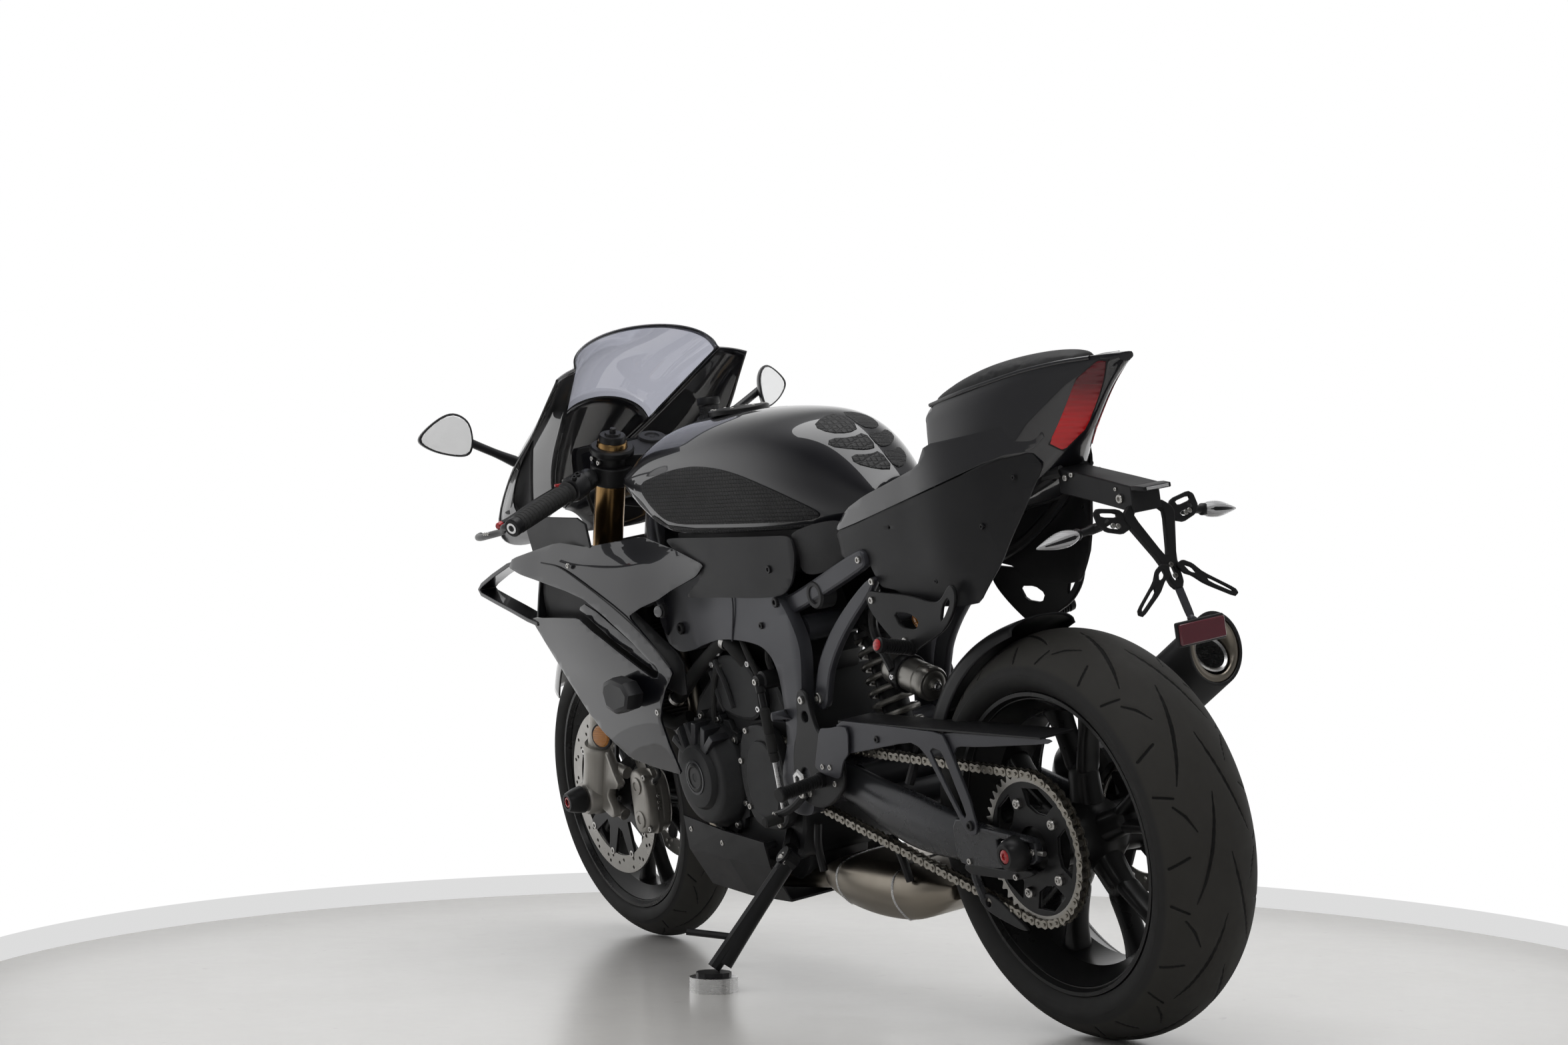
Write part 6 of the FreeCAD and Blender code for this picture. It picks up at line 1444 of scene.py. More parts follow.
# Fork
forkShape = {"half": 105, "yokeBore": 28.5}
for side, tag in bothSides:
    foot = onFork(0, forkShape["half"] * side)
    turnedPiece(
        "forkTube" + tag, foot, forkUp,
        [(262, 23), (262, 30), (268, 31), (276, 31), (280, 28.5), (296, 28), (452, 28), (700, 28), (733, 28),
         (736, 26), (737, 0.5)],
        forkGold, body="steering", hides=("fork_tubes",) if side > 0 else ())
    turnedPiece(
        "forkCap" + tag, foot + forkUp * 736, forkUp,
        [(0, 25), (9, 25), (12, 23), (12, 15), (16, 14), (16, 6), (24, 5.5), (25, 4), (25, 0.5)], blackMetal,
        sides=24, body="steering")
    turnedPiece(
        "forkCapRing" + tag, foot + forkUp * 712, forkUp,
        [(0, 29), (0, 39), (3, 41), (11, 41), (14, 38), (14, 29)], blackMetal, body="steering", closed=True)
    turnedPiece(
        "forkSlider" + tag, foot, forkUp, [(60, 21.5), (262, 21.5), (263, 20)], forkGrey, body="steering")
    turnedPiece(
        "forkCasting" + tag, foot, forkUp,
        [(-30, 10), (-28, 22), (-20, 27), (0, 29), (30, 28), (70, 27.5), (92, 28.5), (98, 30), (110, 30),
         (113, 28), (113, 21)],
        forkGrey, body="steering", hides=("fork_legs",) if side > 0 else ())
    for along in (72, -6):
        start = onFork(along, (forkShape["half"] - 6) * side, -8)
        end = start - forkAhead * 66 + Vector((0, -16 * side, 0)) + forkUp * (8 if along > 0 else -4)
        tubePiece(
            "caliperLug%s%d" % (tag, along > 0),
            [[start, (start + end) / 2 + Vector((0, -2 * side, 0)), end]],
            [15, 13.5, 12, 11.5, 11, 11, 11.5, 12, 12, 12, 12, 12, 12], forkGrey, sides=12, steps=6,
            body="steering")
    web = [
        onFork(along, 0, ahead)
        for along, ahead in (
            (112, -6), (112, -30), (78, -66), (66, -84), (52, -78), (40, -52), (22, -48), (6, -70), (-8, -76),
            (-16, -66), (-14, -6))]
    low, high = sorted(((forkShape["half"] - 14) * side, (forkShape["half"] + 4) * side))
    platePiece(
        "caliperWeb" + tag, rounded([(spot.x, spot.z) for spot in web], 1, 0.15), low, high, forkGrey,
        "steering", bevel=4)
    lug = onFork(0, 0)
    turnedPiece(
        "axleLug" + tag, lug + Vector((0, 77 * side, 0)), (0, side, 0),
        [(0, 16), (0, 29), (4, 32), (50, 32), (56, 29), (56, 16)], forkGrey, body="steering", closed=True)
    turnedPiece(
        "axleSlider" + tag, lug + Vector((0, 136 * side, 0)), (0, side, 0),
        [(0, 14), (0, 25), (3, 26.5), (18, 24), (32, 19), (35, 17), (35, 12), (31, 11), (31, 8)], blackMetal,
        body="steering", hides=("front_axle",) if side > 0 else ())
    turnedPiece(
        "axleInsert" + tag, lug + Vector((0, 150 * side, 0)), (0, side, 0),
        [(0, 11), (19, 11), (20.5, 9.5), (20.5, 7), (12, 6.5), (12, 0.5)], redLens, sides=24, body="steering")
    turnedPiece(
        "reflectorFrame" + tag, onFork(158, (forkShape["half"] + 22) * side, -50), (-0.35, side, 0),
        [(-3, 12), (-3, 24), (2, 25.5), (5, 24), (5, 21)], blackMetal, sides=30, body="steering", closed=True)
    turnedPiece(
        "reflectorLens" + tag, onFork(158, (forkShape["half"] + 22) * side, -50), (-0.35, side, 0),
        [(0, 20.5), (5, 21), (8.5, 18), (10, 10), (10.4, 0.5)], amberLens, sides=30, body="steering")
turnedPiece(
    "frontSpindle", onFork(0, -136), (0, 1, 0), [(0, 8.2), (0, 12.3), (272, 12.3), (272, 8.2)], boltSteel,
    body="steering", closed=True)
print("fork made")

# Calipers
caliperShape = {
    "turn": math.radians(160), "reach": 152, "slot": 12, "near": 42, "far": 96,
    "body": [
        (-62, -30), (-66, -8), (-54, 20), (-26, 31), (26, 31), (54, 20), (66, -8), (62, -30), (30, -34),
        (-30, -34)]}


def caliperSpot(along, outward, side):
    turn = caliperShape["turn"]
    way = forkAhead * math.cos(turn) + forkUp * math.sin(turn)
    across = forkUp * math.cos(turn) - forkAhead * math.sin(turn)
    return onFork(0, side) + way * (caliperShape["reach"] + outward) + across * along


for side, tag in bothSides:
    outline = caliperShape["body"]
    rings = []
    for y, grow in (
            (caliperShape["near"], 0.94), (caliperShape["near"] + 4, 1.0), (60, 1.0), (61, 0.98), (71, 0.98),
            (72, 1.0), (caliperShape["far"] - 5, 0.97), (caliperShape["far"], 0.86)):
        inner = caliperShape["slot"] if 60 < y < 72 else -99
        rings.append([tuple(caliperSpot(a * grow, max(o * grow, inner), y * side)) for a, o in outline])
    ringPiece(
        "caliperBody" + tag, rings, forkGrey, levels=2, creasedRings=(0, 1, 3, 4), body="steering",
        hides=("front_calipers",) if side > 0 else (), smooth=50)
    heads, caps = [], []
    for along in (-32, 32):
        spot = caliperSpot(along, -2, (caliperShape["far"] - 1.5) * side)
        caps.append((spot.x, spot.y, spot.z, (0, side, 0), 17, 4))
        spot = caliperSpot(along * 1.55, 20, (caliperShape["far"] - 9) * side)
        heads.append((spot.x, spot.y, spot.z, (0, side, 0), 6, 5))
    for along in (-12, 0, 12):
        spot = caliperSpot(along, 27, 69 * side)
        way = (caliperSpot(0, 30, 0) - caliperSpot(0, 0, 0)).normalized()
        heads.append((spot.x, spot.y, spot.z, tuple(way), 4, 4))
    boltHeads("caliperCaps" + tag, caps, forkGrey, body="steering")
    boltHeads("caliperBolts" + tag, heads, boltSteel, body="steering")
    hoseEnd = caliperSpot(-40, 30, 74 * side)
    tubePiece(
        "brakeHose" + tag,
        [[hoseEnd, hoseEnd + Vector((-30, 4 * side, 26)), onFork(150, 78 * side, -58),
          onFork(260, 76 * side, -50), onFork(400, 70 * side, -42), onFork(520, 52 * side, -40)]],
        4, gripRubber, sides=8, body="steering")
    turnedPiece(
        "hoseFitting" + tag, hoseEnd, caliperSpot(-40, 40, 74 * side) - hoseEnd,
        [(-8, 7), (2, 7), (3, 6), (3, 0.5)], boltSteel, sides=6, body="steering")
print("calipers made")

# Front fender
fenderShape = {"inner": 312, "half": 64, "low": 36, "high": 168, "flare": 26, "thickness": 3}


def fenderPiece():
    shape = fenderShape
    rows = []
    steps = 14
    for k in range(steps + 1):
        t = k / steps
        turn = math.radians(shape["low"] + (shape["high"] - shape["low"]) * t)
        out = Vector((math.cos(turn), 0, math.sin(turn)))
        middle = Vector((wheelbase, 0, frontRadius))
        deep = shape["flare"] * (1 + 1.5 * math.exp(-((math.degrees(turn) - 128) / 16) ** 2))
        narrow = 0.62 + 0.38 * min(1, min(t, 1 - t) * 5)
        row = []
        for y, drop in (
                (-1, -1.0), (-1, -0.45), (-0.9, 0.12), (-0.55, 0.62), (0, 0.9), (0.55, 0.62), (0.9, 0.12),
                (1, -0.45), (1, -1.0)):
            radius = shape["inner"] + 3 + (drop * deep if drop < 0 else drop * 15)
            row.append(tuple(middle + out * radius + Vector((0, y * shape["half"] * narrow, 0))))
        rows.append(row)
    panelPiece(
        "frontFender", rows, shape["thickness"], glossPaint, both=False, creasedRows=(0, steps),
        creasedColumns=(2, 6), body="steering", hides=("front_fender",))
    feet = []
    for side in (1, -1):
        feet.append([
            tuple(onFork(150, 62 * side, 0)), tuple(onFork(158, 80 * side, -6)),
            tuple(onFork(150, 92 * side, -14))])
    tubePiece("fenderFeet", feet, 8, satinPlastic, sides=10, steps=4, body="steering")


fenderPiece()
print("fender made")

# Bars, levers and clamps
barShape = {"inner": (675, 136), "reach": (-84, 216, -62), "gripFrom": 0.36, "ridges": 15}


def barLine(side):
    inner = onFork(barShape["inner"][0], barShape["inner"][1] * side, 0)
    x, y, z = barShape["reach"]
    outer = inner + Vector((x, y * side, z))
    return inner, outer, (outer - inner).normalized()


def barSet(side, tag):
    inner, outer, way = barLine(side)
    length = (outer - inner).length
    gripFrom = length * barShape["gripFrom"]
    turnedPiece(
        "barTube" + tag, inner, way, [(0, 11.5), (gripFrom + 6, 11.5)], blackMetal, body="steering",
        hides=("handlebars",) if side > 0 else ())
    profile = [(gripFrom, 12), (gripFrom, 19.5), (gripFrom + 4, 20), (gripFrom + 7, 17.6)]
    rings = barShape["ridges"]
    span = length - gripFrom - 18
    for k in range(rings):
        start = gripFrom + 8 + span * k / rings
        profile += [
            (start, 16.4), (start + 1.6, 17.2), (start + span / rings - 2, 17.2),
            (start + span / rings - 1, 16.4)]
    profile += [(length - 7, 17.4), (length - 4, 16.5), (length - 4, 11)]
    turnedPiece("grip" + tag, inner, way, profile, gripRubber, sides=32, body="steering")
    turnedPiece(
        "barEnd" + tag, outer, way,
        [(-4, 10), (-4, 16), (-2, 16.5), (8, 16.5), (12, 15), (14, 11), (14, 6), (9, 5.4), (9, 0.5)],
        blackMetal, body="steering")
    turnedPiece(
        "barEndRing" + tag, outer + way * 13, way, [(0, 6), (0, 10), (1.6, 10), (1.6, 6)], silverMetal,
        sides=24, body="steering", closed=True)
    clampAt = inner - way * 4
    turnedPiece(
        "barClamp" + tag, onFork(656, forkShape["half"] * side), forkUp,
        [(0, 29), (0, 37), (2, 38.5), (34, 38.5), (36, 37), (36, 29)], blackMetal, body="steering",
        closed=True)
    tubePiece(
        "barClampArm" + tag, [[onFork(674, (forkShape["half"] + 24) * side), clampAt + way * 6]], 15,
        blackMetal, sides=16, steps=2, body="steering")
    switchAt = inner + way * (gripFrom - 24)
    turnedPiece(
        "switchBox" + tag, switchAt, way,
        [(-17, 13), (-17, 21), (-14, 23.5), (12, 24.5), (17, 22), (19, 18), (19, 12)], satinPlastic, sides=20,
        body="steering")
    up = Vector((-0.55, 0.25 * side, 0.8)).normalized()
    buttons = [
        (switchAt + way * off + up * 22 + Vector((-6 * n, 0, 0)), size)
        for off, n, size in ((-8, 0, 6), (6, 1, 5), (6, -1, 4))]
    boltHeads(
        "switchButtons" + tag, [(*spot, tuple(up), size, 6) for spot, size in buttons], blackMetal,
        body="steering")
    perch = inner + way * (gripFrom - 54)
    turnedPiece(
        "leverPerch" + tag, perch, way, [(-13, 12), (-13, 19), (-10, 20.5), (10, 20.5), (13, 19), (13, 12)],
        blackMetal, sides=24, body="steering")
    ahead = Vector((0.86, 0.34 * side, -0.05)).normalized()
    pivot = perch + ahead * 40 + way * 8
    tubePiece(
        "perchArm" + tag, [[perch + ahead * 14, perch + ahead * 28 + Vector((0, 0, 3)), pivot]],
        [11, 10.5, 10, 9.5, 9, 9, 9, 9, 9, 9, 9, 9, 9], blackMetal, sides=12, steps=6, body="steering")
    boltHeads(
        "leverPivot" + tag, [(*(pivot + Vector((0, 0, 7))), (0, 0, 1), 8, 5)], boltSteel, body="steering")
    leverEnd = outer + ahead * 56 - way * 20
    lever = [
        pivot, pivot + way * 26 + ahead * 8, pivot.lerp(leverEnd, 0.45) + ahead * 9,
        pivot.lerp(leverEnd, 0.8) + ahead * 2, leverEnd + ahead * 6]
    tubePiece(
        "lever" + tag, [lever], [9 - 4 * min(1, k / 20) for k in range(30)], blackMetal, sides=10, steps=6,
        body="steering")
    turnedPiece(
        "leverAdjuster" + tag, pivot + way * 18 + ahead * 6 + Vector((0, 0, 5)), (0, 0, 1),
        [(0, 7), (5, 7), (6, 6), (6, 0.5)], redLens, sides=16, body="steering")
    turnedPiece(
        "leverTip" + tag, leverEnd, way, [(-3, 4), (-3, 6.6), (6, 6.6), (8, 5), (8, 0.5)], redLens, sides=16,
        body="steering")
    guard = [
        outer + way * 9, outer + way * 10 + Vector((26, 4 * side, 2)),
        outer + way * 4 + Vector((50, 2 * side, -8)), outer + way * 4 + Vector((104, 2 * side, -14)),
        outer + way * 4 + Vector((150, -2 * side, -18)), outer + way * 4 + Vector((184, -12 * side, -19)),
        outer + way * 4 + Vector((203, -26 * side, -18))]
    tubePiece("leverGuard" + tag, [guard], 6.4, blackMetal, sides=12, steps=6, body="steering")
    turnedPiece(
        "guardHub" + tag, outer + way * 3, way, [(0, 11), (0, 15), (2, 17), (9, 17), (11, 15), (11, 11)],
        blackMetal, body="steering")
    boltHeads(
        "guardBolts" + tag,
        [(*(Vector(guard[3]) + Vector((8 * k - 8, 6 * side, 3))), (0, side, 0.3), 3, 2) for k in range(3)],
        boltSteel, body="steering")
    return perch, ahead, way


clutch, clutchAhead, clutchWay = barSet(1, "Left")
brake, brakeAhead, brakeWay = barSet(-1, "Right")
tubePiece(
    "clutchCable",
    [[clutch + clutchAhead * 36 - clutchWay * 12, clutch + clutchAhead * 52 - clutchWay * 50,
      Vector((1292, 84, 842)), Vector((1262, 66, 800)), Vector((1226, 60, 776))]],
    3.6, gripRubber, sides=8, body="steering")
turnedPiece(
    "brakePump", brake + brakeAhead * 26 - brakeWay * 14, -brakeWay,
    [(0, 9), (2, 12), (34, 12), (38, 9), (38, 0.5)], blackMetal, sides=20, body="steering")
cup = onFork(712, -143, 56)
turnedPiece(
    "fluidCup", cup, (0, 0, 1), [(0, 0.5), (0, 17), (3, 19), (34, 20), (36, 19), (36, 0.5)], padRubber,
    sides=32, body="steering")
capProfile = [(36, 0.5), (36, 20), (38, 22), (48, 22), (51, 20), (51.5, 14), (50, 12), (50, 0.5)]
turnedPiece("fluidCap", cup, (0, 0, 1), capProfile, blackMetal, sides=24, body="steering")
tubePiece(
    "fluidHose",
    [[cup + Vector((0, 0, 2)), cup + Vector((2, 6, -22)), brake + brakeAhead * 30 + Vector((0, 0, 10))]], 6,
    gripRubber, sides=10, body="steering")


def yokeOutline(wide, deep, tongue):
    return rounded(
        [(-deep, -wide * 0.30), (-tongue, -20), (-tongue, 20), (-deep, wide * 0.30), (-16, wide),
         (22, wide + 6), (38, wide - 10), (40, wide * 0.5), (44, 0), (40, -wide * 0.5), (38, 10 - wide),
         (22, -wide - 6), (-16, -wide)],
        2)


def yokePiece(name, along, thick, wide, deep, tongue, hides=()):
    mesh = outlineMesh(
        name, [(y, x) for x, y in yokeOutline(wide, deep, tongue)], -thick / 2, thick / 2,
        [circle(forkShape["yokeBore"], 24, forkShape["half"] * side) for side in (1, -1)], 3)
    base = onFork(along)
    turn = Matrix((
        (0, forkUp.x, forkAhead.x, base.x / 1000), (1, 0, 0, 0), (0, forkUp.z, forkAhead.z, base.z / 1000),
        (0, 0, 0, 1)))
    mesh.transform(turn)
    reshape(mesh, turnOut)
    keepPiece(name, mesh, blackMetal, "steering", None, hides, 35)


yokePiece("topYoke", 700, 26, 128, 34, 46, ("triple_clamps",))
yokePiece("lowerYoke", 500, 34, 130, 36, 44)
stemAt = onFork(0, 0, -27.4)
turnedPiece(
    "steeringStem", stemAt, forkUp,
    [(480, 12), (480, 17), (520, 17), (522, 16), (706, 16), (716, 17), (716, 22), (724, 21), (725, 12),
     (720, 11), (720, 0.5)],
    boltSteel, body="steering")
turnedPiece(
    "keySwitch", onFork(700, 0, 34), forkUp,
    [(-30, 26), (14, 27), (18, 25), (19, 14), (16, 12), (16, 5), (17, 4), (17, 0.5)], satinPlastic,
    body="steering")
sideBolts(
    "yokeBolts",
    [(*onFork(700, 134, 8 * k), 5, 5) for k in (-1, 2)] + [
        (*onFork(500, 136, 10 * k), 5.5, 5) for k in (-1, 2)],
    boltSteel, both=True, body="steering")
print("bars made")

# Frame
frameShape = {
    "arch": [
        (850, 742), (700, 742), (640, 734), (590, 708), (556, 674), (530, 626), (530, 590), (543, 540),
        (556, 467), (551, 400), (560, 340), (580, 328), (630, 330), (645, 350), (648, 398), (618, 440),
        (608, 470), (604, 540), (612, 585), (640, 612), (690, 622), (779, 626), (850, 614), (905, 600),
        (960, 596), (1010, 620), (1010, 740)],
}


def archHeight(x, z):
    lean = 12 * max(0, min(1, (x - 780) / 200))
    return 140 - lean + 3 * math.sin((z - 330) / 410 * math.pi)


skinPiece(
    "frameSpars", rounded(frameShape["arch"], 2), archHeight, framePaint, thickness=24, step=30, bevel=7,
    holes=[circle(9, 20, 604, 500)], hides=("main_frame",), smooth=60)
frontSpar = [
    (990, 608, 762, 108, 142), (1043, 690, 862, 88, 116), (1100, 745, 888, 46, 78), (1159, 800, 905, 6, 38)]
sparRings = [
    [(x, a, low), (x, b, low + 14), (x, b + 4, (low + high) / 2), (x, b, high - 14), (x, a, high)]
    for x, low, high, a, b in frontSpar]
ringPiece("frontSpars", sparRings, framePaint, both=True, levels=2, creasedRings=(0, 3))
turnedPiece(
    "headTube", stemAt, forkUp, [(518, 18), (518, 35), (522, 37), (678, 37), (682, 35), (682, 18)],
    framePaint, closed=True)
tubePiece(
    "frameSeam", [[(735, 143, 742), (722, 144, 690), (745, 143, 622)]], 1.6, framePaint, sides=8, both=True)
tubePiece(
    "frameCross",
    [[(560, -112, 640), (560, 112, 640)], [(600, -112, 356), (600, 112, 356)],
     [(545, -108, 450), (545, 108, 450)]],
    22, framePaint, steps=1)
sideBolts(
    "frameBolts",
    [(604, 143, 500, 8, 2), (584, 141, 690, 9, 5), (930, 134, 640, 11, 6), (560, 143, 360, 8, 5),
     (640, 143, 650, 6, 3)],
    blackMetal, both=True)
platePiece(
    "subframeRails",
    rounded(
        [(604, 664), (560, 666), (330, 740), (318, 750), (322, 770), (340, 774), (560, 700), (600, 694),
         (610, 680)],
        2),
    110, 128, framePaint, bevel=5, both=True, hides=("subframe",))
platePiece(
    "subframeStruts",
    rounded(
        [(500, 512), (488, 540), (470, 580), (410, 640), (300, 716), (312, 736), (430, 664), (500, 600),
         (524, 556), (536, 520), (520, 506)],
        2),
    112, 126, framePaint, bevel=5, both=True)
tubePiece(
    "tailRails",
    [[(330, 86, 750), (180, 84, 800), (40, 62, 850), (-80, 22, 868)],
     [(300, 84, 712), (180, 82, 750), (60, 66, 806), (-60, 24, 862)]],
    9, blackMetal, sides=10, both=True)
sideBolts(
    "subframeBolts",
    [(584, 128, 680, 9, 5), (518, 126, 528, 10, 5), (335, 128, 757, 6, 4), (308, 126, 722, 6, 4)], boltSteel,
    both=True)
print("frame made")

# Swingarm
armShape = {
    "stations": [
        (560, 422, 362, 97, 118), (500, 424, 354, 97, 124), (430, 410, 330, 97, 130),
        (360, 396, 300, 97, 135), (290, 386, 285, 97, 137), (220, 368, 281, 98, 137),
        (165, 356, 281, 102, 134), (140, 352, 282, 106, 131)],
}


def armRing(x, top, low, near, far):
    middle, half = (top + low) / 2, (top - low) / 2
    wide = far - near
    return [
        (x, near, middle - half * 0.7), (x, near + wide * 0.3, low), (x, far - wide * 0.3, low + half * 0.1),
        (x, far, middle - half * 0.35), (x, far, middle + half * 0.35),
        (x, far - wide * 0.3, top - half * 0.1), (x, near + wide * 0.3, top), (x, near, middle + half * 0.7)]


ringPiece(
    "swingarmBeams", [armRing(*station) for station in armShape["stations"]], armPaint, both=True, levels=2,
    creasedRings=(0, 7), hides=("swingarm",), smooth=60)
tubePiece(
    "swingarmBridge", [[(470, -100, 385), (470, 100, 385)], [(400, -100, 352), (400, 100, 352)]], 30,
    armPaint, steps=1, sides=20)
turnedPiece(
    "swingarmPivotTube", (584, -104, 392), (0, 1, 0),
    [(0, 14), (0, 34), (4, 36), (204, 36), (208, 34), (208, 14)], armPaint, closed=True)
platePiece(
    "armEnds",
    rounded(
        [(160, 356), (60, 345), (-28, 338), (-38, 330), (-38, 306), (-26, 298), (60, 284), (160, 282),
         (172, 300), (172, 340)],
        1, 0.15),
    121, 134, armPaint, bevel=2.5, both=True,
    holes=[rounded([(60, 332), (-24, 328), (-24, 305), (60, 300)], 1, 0.12)])
platePiece(
    "adjusterBlocks", rounded([(44, 331), (-22, 327), (-22, 306), (44, 301)], 1, 0.08), 122, 137, boltSteel,
    bevel=1.5, both=True)
platePiece(
    "armEndLips", rounded([(128, 350), (60, 346), (-34, 339), (-37, 333), (58, 338), (128, 342)], 1, 0.15),
    132, 142, armPaint, bevel=2, both=True)
platePiece(
    "armFeet",
    rounded([(150, 286), (40, 284), (-20, 290), (-24, 282), (20, 270), (140, 268), (156, 276)], 1, 0.2), 124,
    134, blackMetal, bevel=2, both=True)
sideBolts(
    "armBolts", [(136, 134, 290, 5, 4), (20, 134, 276, 5, 4), (-30, 134, 318, 5, 3)], boltSteel, both=True)
tubePiece("adjusterScrews", [[(-36, 129, 316), (-52, 129, 316)]], 4, boltSteel, steps=1, sides=10, both=True)
for side, tag in bothSides:
    turnedPiece(
        "rearSlider" + tag, (0, 137 * side, 315), (0, side, 0),
        [(0, 16), (0, 27), (3, 28), (14, 26), (26, 21), (29, 17), (29, 12), (26, 11), (26, 0.5)], blackMetal,
        hides=("axle_shafts",) if side > 0 else ())
    turnedPiece(
        "rearInsert" + tag, (0, 160 * side, 315), (0, side, 0),
        [(0, 10.5), (5, 10.5), (6, 9), (6, 5), (4, 4.5), (4, 0.5)], redLens, sides=24)
turnedPiece(
    "rearSpindle", (0, -140, 315), (0, 1, 0), [(0, 6), (0, 14), (280, 14), (280, 6)], boltSteel, closed=True)
turnedPiece(
    "pivotSpindle", (584, -146, 392), (0, 1, 0), [(0, 6), (0, 12), (292, 12), (292, 6)], boltSteel,
    closed=True)
turnedPiece(
    "pivotNut", (584, 138, 392), (0, 1, 0),
    [(0, 13), (0, 19), (3, 20), (10, 18), (13, 14), (13, 8), (8, 7), (8, 0.5)], silverMetal, sides=6)
print("swingarm made")

# Chain guards
guardShape = {
    "blade": [
        (446, 498), (300, 495), (148, 491), (134, 470), (98, 392), (88, 350), (92, 338), (104, 334),
        (118, 338), (152, 388), (196, 452), (216, 466), (240, 472), (430, 442), (444, 446)],
    "window": [(154, 462), (176, 466), (186, 460), (126, 366), (116, 360), (112, 368)],
    "tail": [
        (158, 491), (-114, 493), (-124, 490), (-110, 485), (60, 472), (120, 470), (132, 456), (100, 380),
        (108, 376), (160, 470)],
}
platePiece(
    "chainGuardBlade", rounded(guardShape["blade"], 1, 0.15), 142, 146, framePaint, bevel=1.2,
    holes=[rounded(guardShape["window"], 1, 0.15)], hides=("chain_guard",))
platePiece("chainGuardTail", rounded(guardShape["tail"], 1, 0.15), 137, 140, framePaint, bevel=1)
platePiece(
    "chainGuardFlange", [(444, 492), (444, 497), (-100, 495), (-100, 492)], 78, 143, satinPlastic, bevel=1)
sideBolts("chainGuardBolts", [(104, 146, 350, 8, 4), (330, 146, 472, 6, 3)], blackMetal)
platePiece(
    "lowerChainGuard",
    rounded([(150, 236), (112, 236), (60, 206), (32, 189), (44, 186), (80, 193), (130, 206), (152, 222)], 2),
    112, 118, satinPlastic, bevel=2, holes=[circle(7, 16, 128, 222)])
tubePiece("lowerGuardArm", [[(140, 116, 228), (148, 120, 262), (140, 124, 288)]], 7, armPaint, sides=10)
print("guards made")

# Rear hugger
huggerShape = {"inner": 327, "half": 86, "low": 33, "high": 81, "flare": 40, "thickness": 3}


def huggerPiece():
    shape = huggerShape
    rows = []
    steps = 9
    for k in range(steps + 1):
        t = k / steps
        turn = math.radians(shape["low"] + (shape["high"] - shape["low"]) * t)
        out = Vector((math.cos(turn), 0, math.sin(turn)))
        middle = Vector((0, 0, rearRadius))
        deep = shape["flare"] * (1.15 - 0.85 * t)
        narrow = 1 - 0.28 * t * t
        rows.append([
            tuple(
                middle + out * (shape["inner"] + (drop * deep if drop < 0 else drop * 12))
                + Vector((0, y * shape["half"] * narrow, 0)))
            for y, drop in (
                (-1, -1), (-0.98, -0.3), (-0.84, 0.5), (-0.4, 0.95), (0, 1.05), (0.4, 0.95), (0.84, 0.5),
                (0.98, -0.3), (1, -1))])
    panelPiece(
        "huggerShell", rows, shape["thickness"], satinPlastic, both=False, creasedRows=(0, steps),
        creasedColumns=(1, 7), hides=("rear_hugger",))
    tubePiece(
        "huggerFeet", [[(300, 80, 470), (310, 92, 430), (320, 104, 392)]], 8, satinPlastic, sides=10,
        both=True)


huggerPiece()

# Rear shock
shockShape = {"low": (470, 0, 425), "high": (520, 0, 640), "spring": 35, "wire": 5.5, "turns": 7}


def shockPieces():
    low, high = Vector(shockShape["low"]), Vector(shockShape["high"])
    way = (high - low).normalized()
    side = Vector((0, 1, 0))
    other = way.cross(side)
    length = (high - low).length
    coil = []
    for k in range(shockShape["turns"] * 14 + 1):
        t = k / (shockShape["turns"] * 14)
        turn = 2 * math.pi * shockShape["turns"] * t
        coil.append(
            low + way * (30 + (length - 62) * t)
            + (side * math.cos(turn) + other * math.sin(turn)) * shockShape["spring"])
    tubePiece("shockSpring", [coil], shockShape["wire"], springGrey, steps=0, sides=10, hides=("rear_shock",))
    turnedPiece(
        "shockBody", low, way,
        [(-14, 8), (-12, 18), (4, 20), (18, 40), (26, 41), (27, 24), (length - 60, 24), (length - 32, 26),
         (length - 31, 41), (length - 22, 41), (length - 18, 30), (length - 4, 26), (length + 14, 16),
         (length + 14, 0.5)],
        blackMetal)
    can = Vector((330, 62, 560))
    canWay = Vector((120, 0, 30)).normalized()
    turnedPiece(
        "shockReservoir", can - canWay * 61, canWay,
        [(0, 0.5), (0, 14), (2, 22), (6, 26.5), (18, 27.5), (20, 26), (28, 26), (30, 27.5), (104, 27.5),
         (112, 26), (120, 18), (122, 0.5)],
        springGrey)
    turnedPiece(
        "reservoirCap", can - canWay * 63, canWay,
        [(-4, 0.5), (-4, 8), (0, 9), (4, 16), (4, 26), (8, 28.2), (18, 28.2), (18, 24)], springGrey)
    turnedPiece(
        "reservoirBand", can + canWay * 4, canWay,
        [(0, 27), (0, 31), (2, 32), (16, 32), (18, 31), (18, 27)], blackMetal, closed=True)
    boltHeads(
        "reservoirBolts",
        [(*(can - canWay * 66), tuple(-canWay), 7, 5),
         (*(can + canWay * 10 + Vector((0, 31, 0))), (0, 1, 0), 5, 4)],
        silverMetal)
    tubePiece(
        "reservoirHose",
        [[can + canWay * 60, can + canWay * 90 + Vector((0, -10, 20)), high + Vector((0, 20, -10))]], 7,
        gripRubber, sides=10)
    tubePiece(
        "reservoirStay", [[can + canWay * 12 + Vector((0, 28, 10)), (380, 90, 640), (330, 108, 708)]], 8,
        blackMetal, sides=10)
    tubePiece("shockLink", [[(430, -40, 330), (470, -20, 400), low]], 14, blackMetal, sides=12, both=True)
    turnedPiece(
        "orangePlug", (268, 72, 652), (0.3, 0.8, -0.3),
        [(-12, 6), (-12, 11), (-4, 12), (10, 12), (12, 8), (12, 0.5)], amberLens, sides=8)


shockPieces()
print("shock made")

